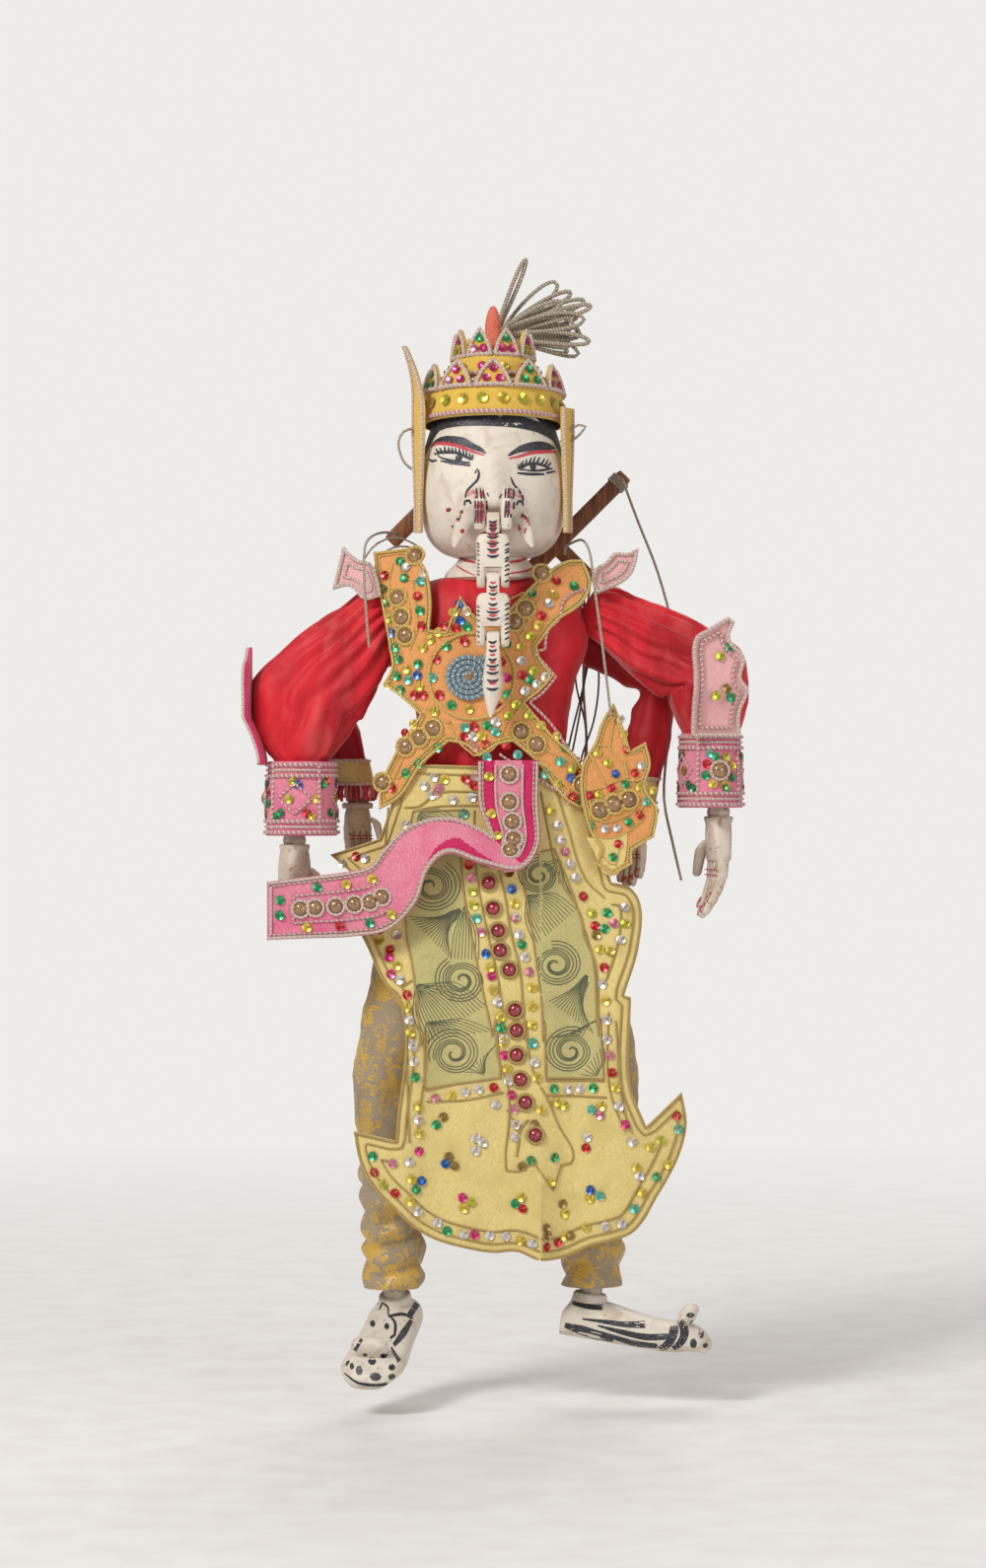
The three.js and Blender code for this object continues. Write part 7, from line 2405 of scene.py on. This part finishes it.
lashes = [
    (350, 452, 328, 420), (375, 450, 360, 416), (405, 450, 398, 408), (435, 452, 430, 412),
    (462, 457, 458, 418),
    (492, 464, 484, 424), (522, 474, 516, 430), (550, 484, 546, 438), (575, 497, 572, 450),
    (600, 514, 600, 468),
    (616, 524, 624, 482), (330, 465, 312, 455), (990, 602, 984, 558), (1005, 592, 1004, 545),
    (1022, 582, 1020, 528),
    (1045, 564, 1050, 514), (1070, 552, 1090, 500), (1100, 550, 1120, 492), (1130, 550, 1155, 495),
    (1165, 554, 1195, 505),
    (1195, 564, 1225, 510), (1215, 574, 1247, 530),
]
for x, y, tip_x, tip_y in lashes:
    face_line((0.9, 0.4), "black_line", (x, y), (tip_x, tip_y))
face_line((0.5, 0.9, 0.8, 0.8, 0.6), "black_line", (656, 598), (672, 626), (664, 684), (620, 732),
          (578, 780), (566, 830))
face_line((0.5, 0.6), "black_line", (650, 610), (645, 636))
face_line((0.4, 0.8, 0.8, 0.9, 0.6), "black_line", (925, 664), (945, 720), (990, 776), (1020, 832),
          (1014, 866))
face_line((0.6, 0.9, 0.6), "black_line", (558, 890), (562, 858), (596, 856), (614, 884))
face_line((0.6, 0.9, 0.6), "black_line", (968, 892), (988, 858), (1014, 864), (1024, 892))
face_line((0.7, 0.5), "black_line", (738, 800), (750, 832))
face_line((0.7, 0.5), "black_line", (856, 812), (834, 842))
for k in range(5):
    face_line((0.4, 0.5), "pink_line", (575 + 12 * k, 800 - 9 * k), (592 + 12 * k, 822 - 6 * k))
    face_line((0.4, 0.5), "pink_line", (1018 - 13 * k, 812 - 8 * k), (1000 - 12 * k, 836 - 6 * k))
for x in (636, 660, 690, 714):
    face_line((0.4, 0.8, 0.5), "black_line", (x - 6, 758 + abs(x - 670) * 0.4), (x, 850))
for x in (648, 670, 696, 722, 738):
    face_line((0.5, 0.9, 0.6), "black_line", (x - 3, 866), (x - 2, 960), (x - 4, 1048))
for x in (880, 902, 926, 944):
    face_line((0.4, 0.7, 0.5), "black_line", (x + 4, 762), (x, 848))
for x in (885, 906, 930, 948):
    face_line((0.5, 0.9, 0.5), "black_line", (x + 2, 868), (x - 2, 940), (x - 8, 1004))
for x, top, low, wide in (
    (652, 775, 850, 1.2), (694, 785, 850, 1.0), (914, 762, 846, 1.2), (672, 878, 1040, 1.9),
    (706, 890, 1030, 1.1), (908, 872, 980, 1.3), (935, 880, 950, 0.8),
):
    face_line((wide * 0.6, wide, wide * 0.6), "red_line", (x, top), (x, (top + low) / 2), (x - 3, low))
tusk_ticks = [
    (545, 935, 520, 948), (530, 985, 508, 975), (522, 1004, 494, 996), (495, 1030, 474, 1036),
    (478, 1056, 458, 1040),
    (1008, 965, 1036, 976), (1036, 986, 1066, 988), (1052, 1006, 1090, 1016), (1066, 1030, 1096, 1040),
]
for n, (x, y, end_x, end_y) in enumerate(tusk_ticks):
    face_line((1.1, 0.5), "black_line", (x, y), (end_x, end_y))
    face_line((0.9, 0.4), "red_line", (x - 4, y + 14), (end_x - 2, end_y + 12))
for k in range(4):
    way = (14 * cos(k * pi / 4), 14 * sin(k * pi / 4))
    end = (540 + way[0] * 1.4, 1096 + way[1] * 1.6)
    face_line((0.5, 1.0, 0.5), "red_line", (540 - way[0], 1096 - way[1]), (540, 1096), end)
face_line((0.4, 0.9, 0.5), "red_line", (982, 1040), (996, 1078), (975, 1118))
face_line((0.4, 0.8, 0.4), "red_line", (1046, 1072), (1030, 1120))
face_patch("mouth_line", (412, 908), (440, 900), (458, 920), (432, 938), (412, 930))
face_patch("mouth_line", (690, 1100), (736, 1088), (736, 1150), (700, 1152), (680, 1130))
face_patch("mouth_line", (820, 1092), (852, 1078), (852, 1120), (826, 1160), (816, 1130))

# Creases round the neck
for width, places in (
    (1.9, [(420, 1202), (480, 1246), (560, 1300), (640, 1326)]),
    (1.9, [(900, 1326), (1000, 1306), (1066, 1272)]),
    (1.0, [(452, 1290), (500, 1350), (570, 1400), (640, 1432)]),
    (1.5, [(905, 1420), (1050, 1390), (1150, 1334), (1206, 1276)]),
):
    stroke(neck_skin, placed(face_spot, places), (width * 0.5, width, width * 0.7), "red_line", "neck")

# Trunk: curved stripes down the middle of each link, and ticks down its edges
trunk_marks = (
    (1, 420, (85, 110, 135, 172, 195, 240, 285, 330), (98, 122, 155, 185, 225, 262, 306), 40,
     (240, 262, 290, 318, 355, 385, 410, 435, 460), (250, 285, 305, 345, 365, 400, 430, 465, 510)),
    (2.5, 410, (550, 600, 675, 730, 780), (520, 575, 636, 708, 756), 44,
     (690, 720, 750, 790, 830, 870, 900, 940), (675, 710, 750, 780, 815, 850, 880, 920)),
    (7, 375, (945, 1005, 1070, 1115, 1165, 1220, 1280), (975, 1036, 1092, 1140, 1240), 40, (),
     (1135, 1165, 1195, 1225, 1250)),
)
for marks, (body, skin) in zip(trunk_marks, nose_skins):
    shift, centre, blacks, reds, reach, left_ticks, right_ticks = marks
    spot = close_up(440 + shift, 520, 7.13)

    def trunk_line(width, look, *places):
        stroke(skin, placed(spot, places), width, look, body, step=0.8)

    for k, y in enumerate(blacks):
        half = reach * (0.72 if k < 3 else 1.05)
        left, right = (centre - half, y - 6), (centre + half, y - 8)
        low_left, low_right = (centre - half * 0.4, y + 5), (centre + half * 0.4, y + 5)
        trunk_line((0.7, 1.6, 1.6, 0.7), "black_line", left, low_left, low_right, right)
    for k, y in enumerate(reds):
        half = reach * (0.5 if k < 3 else 0.7)
        left, right = (centre - half, y - 3), (centre + half, y - 3)
        trunk_line((0.6, 1.4, 1.3, 0.6), "red_line", left, (centre, y + 4), right)
    for y in left_ticks:
        trunk_line((0.8, 1.4), "black_line", (centre - 96, y + 10), (centre - 122, y - 8))
    for y in right_ticks:
        trunk_line((1.4, 0.8), "black_line", (centre + 114, y - 8), (centre + 84, y + 8))

# Shoes: painted stripes, bands and dots
shoe_spot = close_up(330, 1290, 3.824)


def shoe_line(side_name, width, *places):
    for skin in shoes[side_name]:
        widths = [1.4 * w for w in width]
        stroke(skin, placed(shoe_spot, places), widths, "black_line", f"shoe_{side_name}", step=1)


def shoe_dots(side_name, *dots):
    for x, y, wide, tall in dots:
        ring = [(x + wide * cos(k), y + tall * sin(k)) for k in range(6)]
        for skin in shoes[side_name]:
            blob(skin, placed(shoe_spot, ring), "black_line", f"shoe_{side_name}", cell=1.2)


shoe_line("left", (2.2, 3.0, 2.4), (392, 82), (362, 140), (322, 190))
shoe_line("left", (1.6, 3.0, 1.4), (330, 206), (300, 246), (266, 280))
shoe_line("left", (1.0, 2.4, 1.6), (382, 222), (350, 262), (318, 298))
shoe_line("left", (1.0, 2.0, 1.2), (386, 262), (364, 300), (344, 328))
shoe_line("left", (0.8, 1.2, 1.4, 1.0), (188, 150), (165, 205), (122, 280), (85, 345))
shoe_line("left", (0.8, 1.2, 0.8), (240, 190), (300, 184), (335, 200))
shoe_line("left", (0.6, 1.0, 0.6), (205, 170), (216, 145), (236, 158), (240, 184))
shoe_line("left", (0.6, 1.2, 0.8), (240, 184), (268, 212), (268, 248), (246, 262))
shoe_line("left", (0.7, 1.5, 1.5, 0.7), (256, 285), (290, 330), (320, 380), (345, 350))
shoe_line("left", (0.6, 1.4, 1.2), (80, 372), (130, 402), (205, 410), (270, 402))
shoe_dots("left", (180, 216, 12, 11), (236, 222, 11, 11), (186, 325, 17, 13), (230, 305, 15, 12),
          (137, 358, 14, 18),
          (158, 302, 10, 8), (200, 378, 24, 15), (262, 346, 14, 12), (262, 380, 14, 12), (108, 345, 9, 12),
          (325, 352, 9, 14))
shoe_line("right", (1.2, 2.0, 2.0, 2.2, 1.2), (950, 142), (1040, 156), (1120, 155), (1180, 142), (1192, 118),
          (1212, 100))
shoe_line("right", (0.7, 2.0, 2.6, 2.4), (1000, 200), (1080, 208), (1180, 218), (1335, 212))
shoe_line("right", (0.7, 2.2, 2.8, 2.4), (1060, 224), (1150, 246), (1240, 262), (1338, 258))
shoe_line("right", (0.7, 2.2, 2.8, 2.2), (1060, 246), (1130, 270), (1200, 290), (1290, 297))
shoe_line("right", (2.2, 4.2, 4.4, 1.4), (932, 228), (1000, 246), (1060, 264), (1120, 284))
shoe_line("right", (2.6, 3.8, 3.4, 2.6), (1345, 185), (1356, 230), (1336, 280), (1295, 316))
shoe_line("right", (2.4, 3.8, 3.2, 2.2), (1380, 196), (1396, 240), (1380, 280), (1352, 305))
shoe_line("right", (3.0, 4.0, 3.4), (1295, 92), (1318, 128), (1350, 172))
shoe_dots("right", (1421, 180, 18, 10), (1430, 212, 14, 10), (1472, 200, 12, 18), (1464, 254, 12, 15),
          (1430, 284, 14, 20),
          (1377, 140, 14, 17), (1452, 106, 18, 13), (1478, 296, 12, 10))

finish_piles()
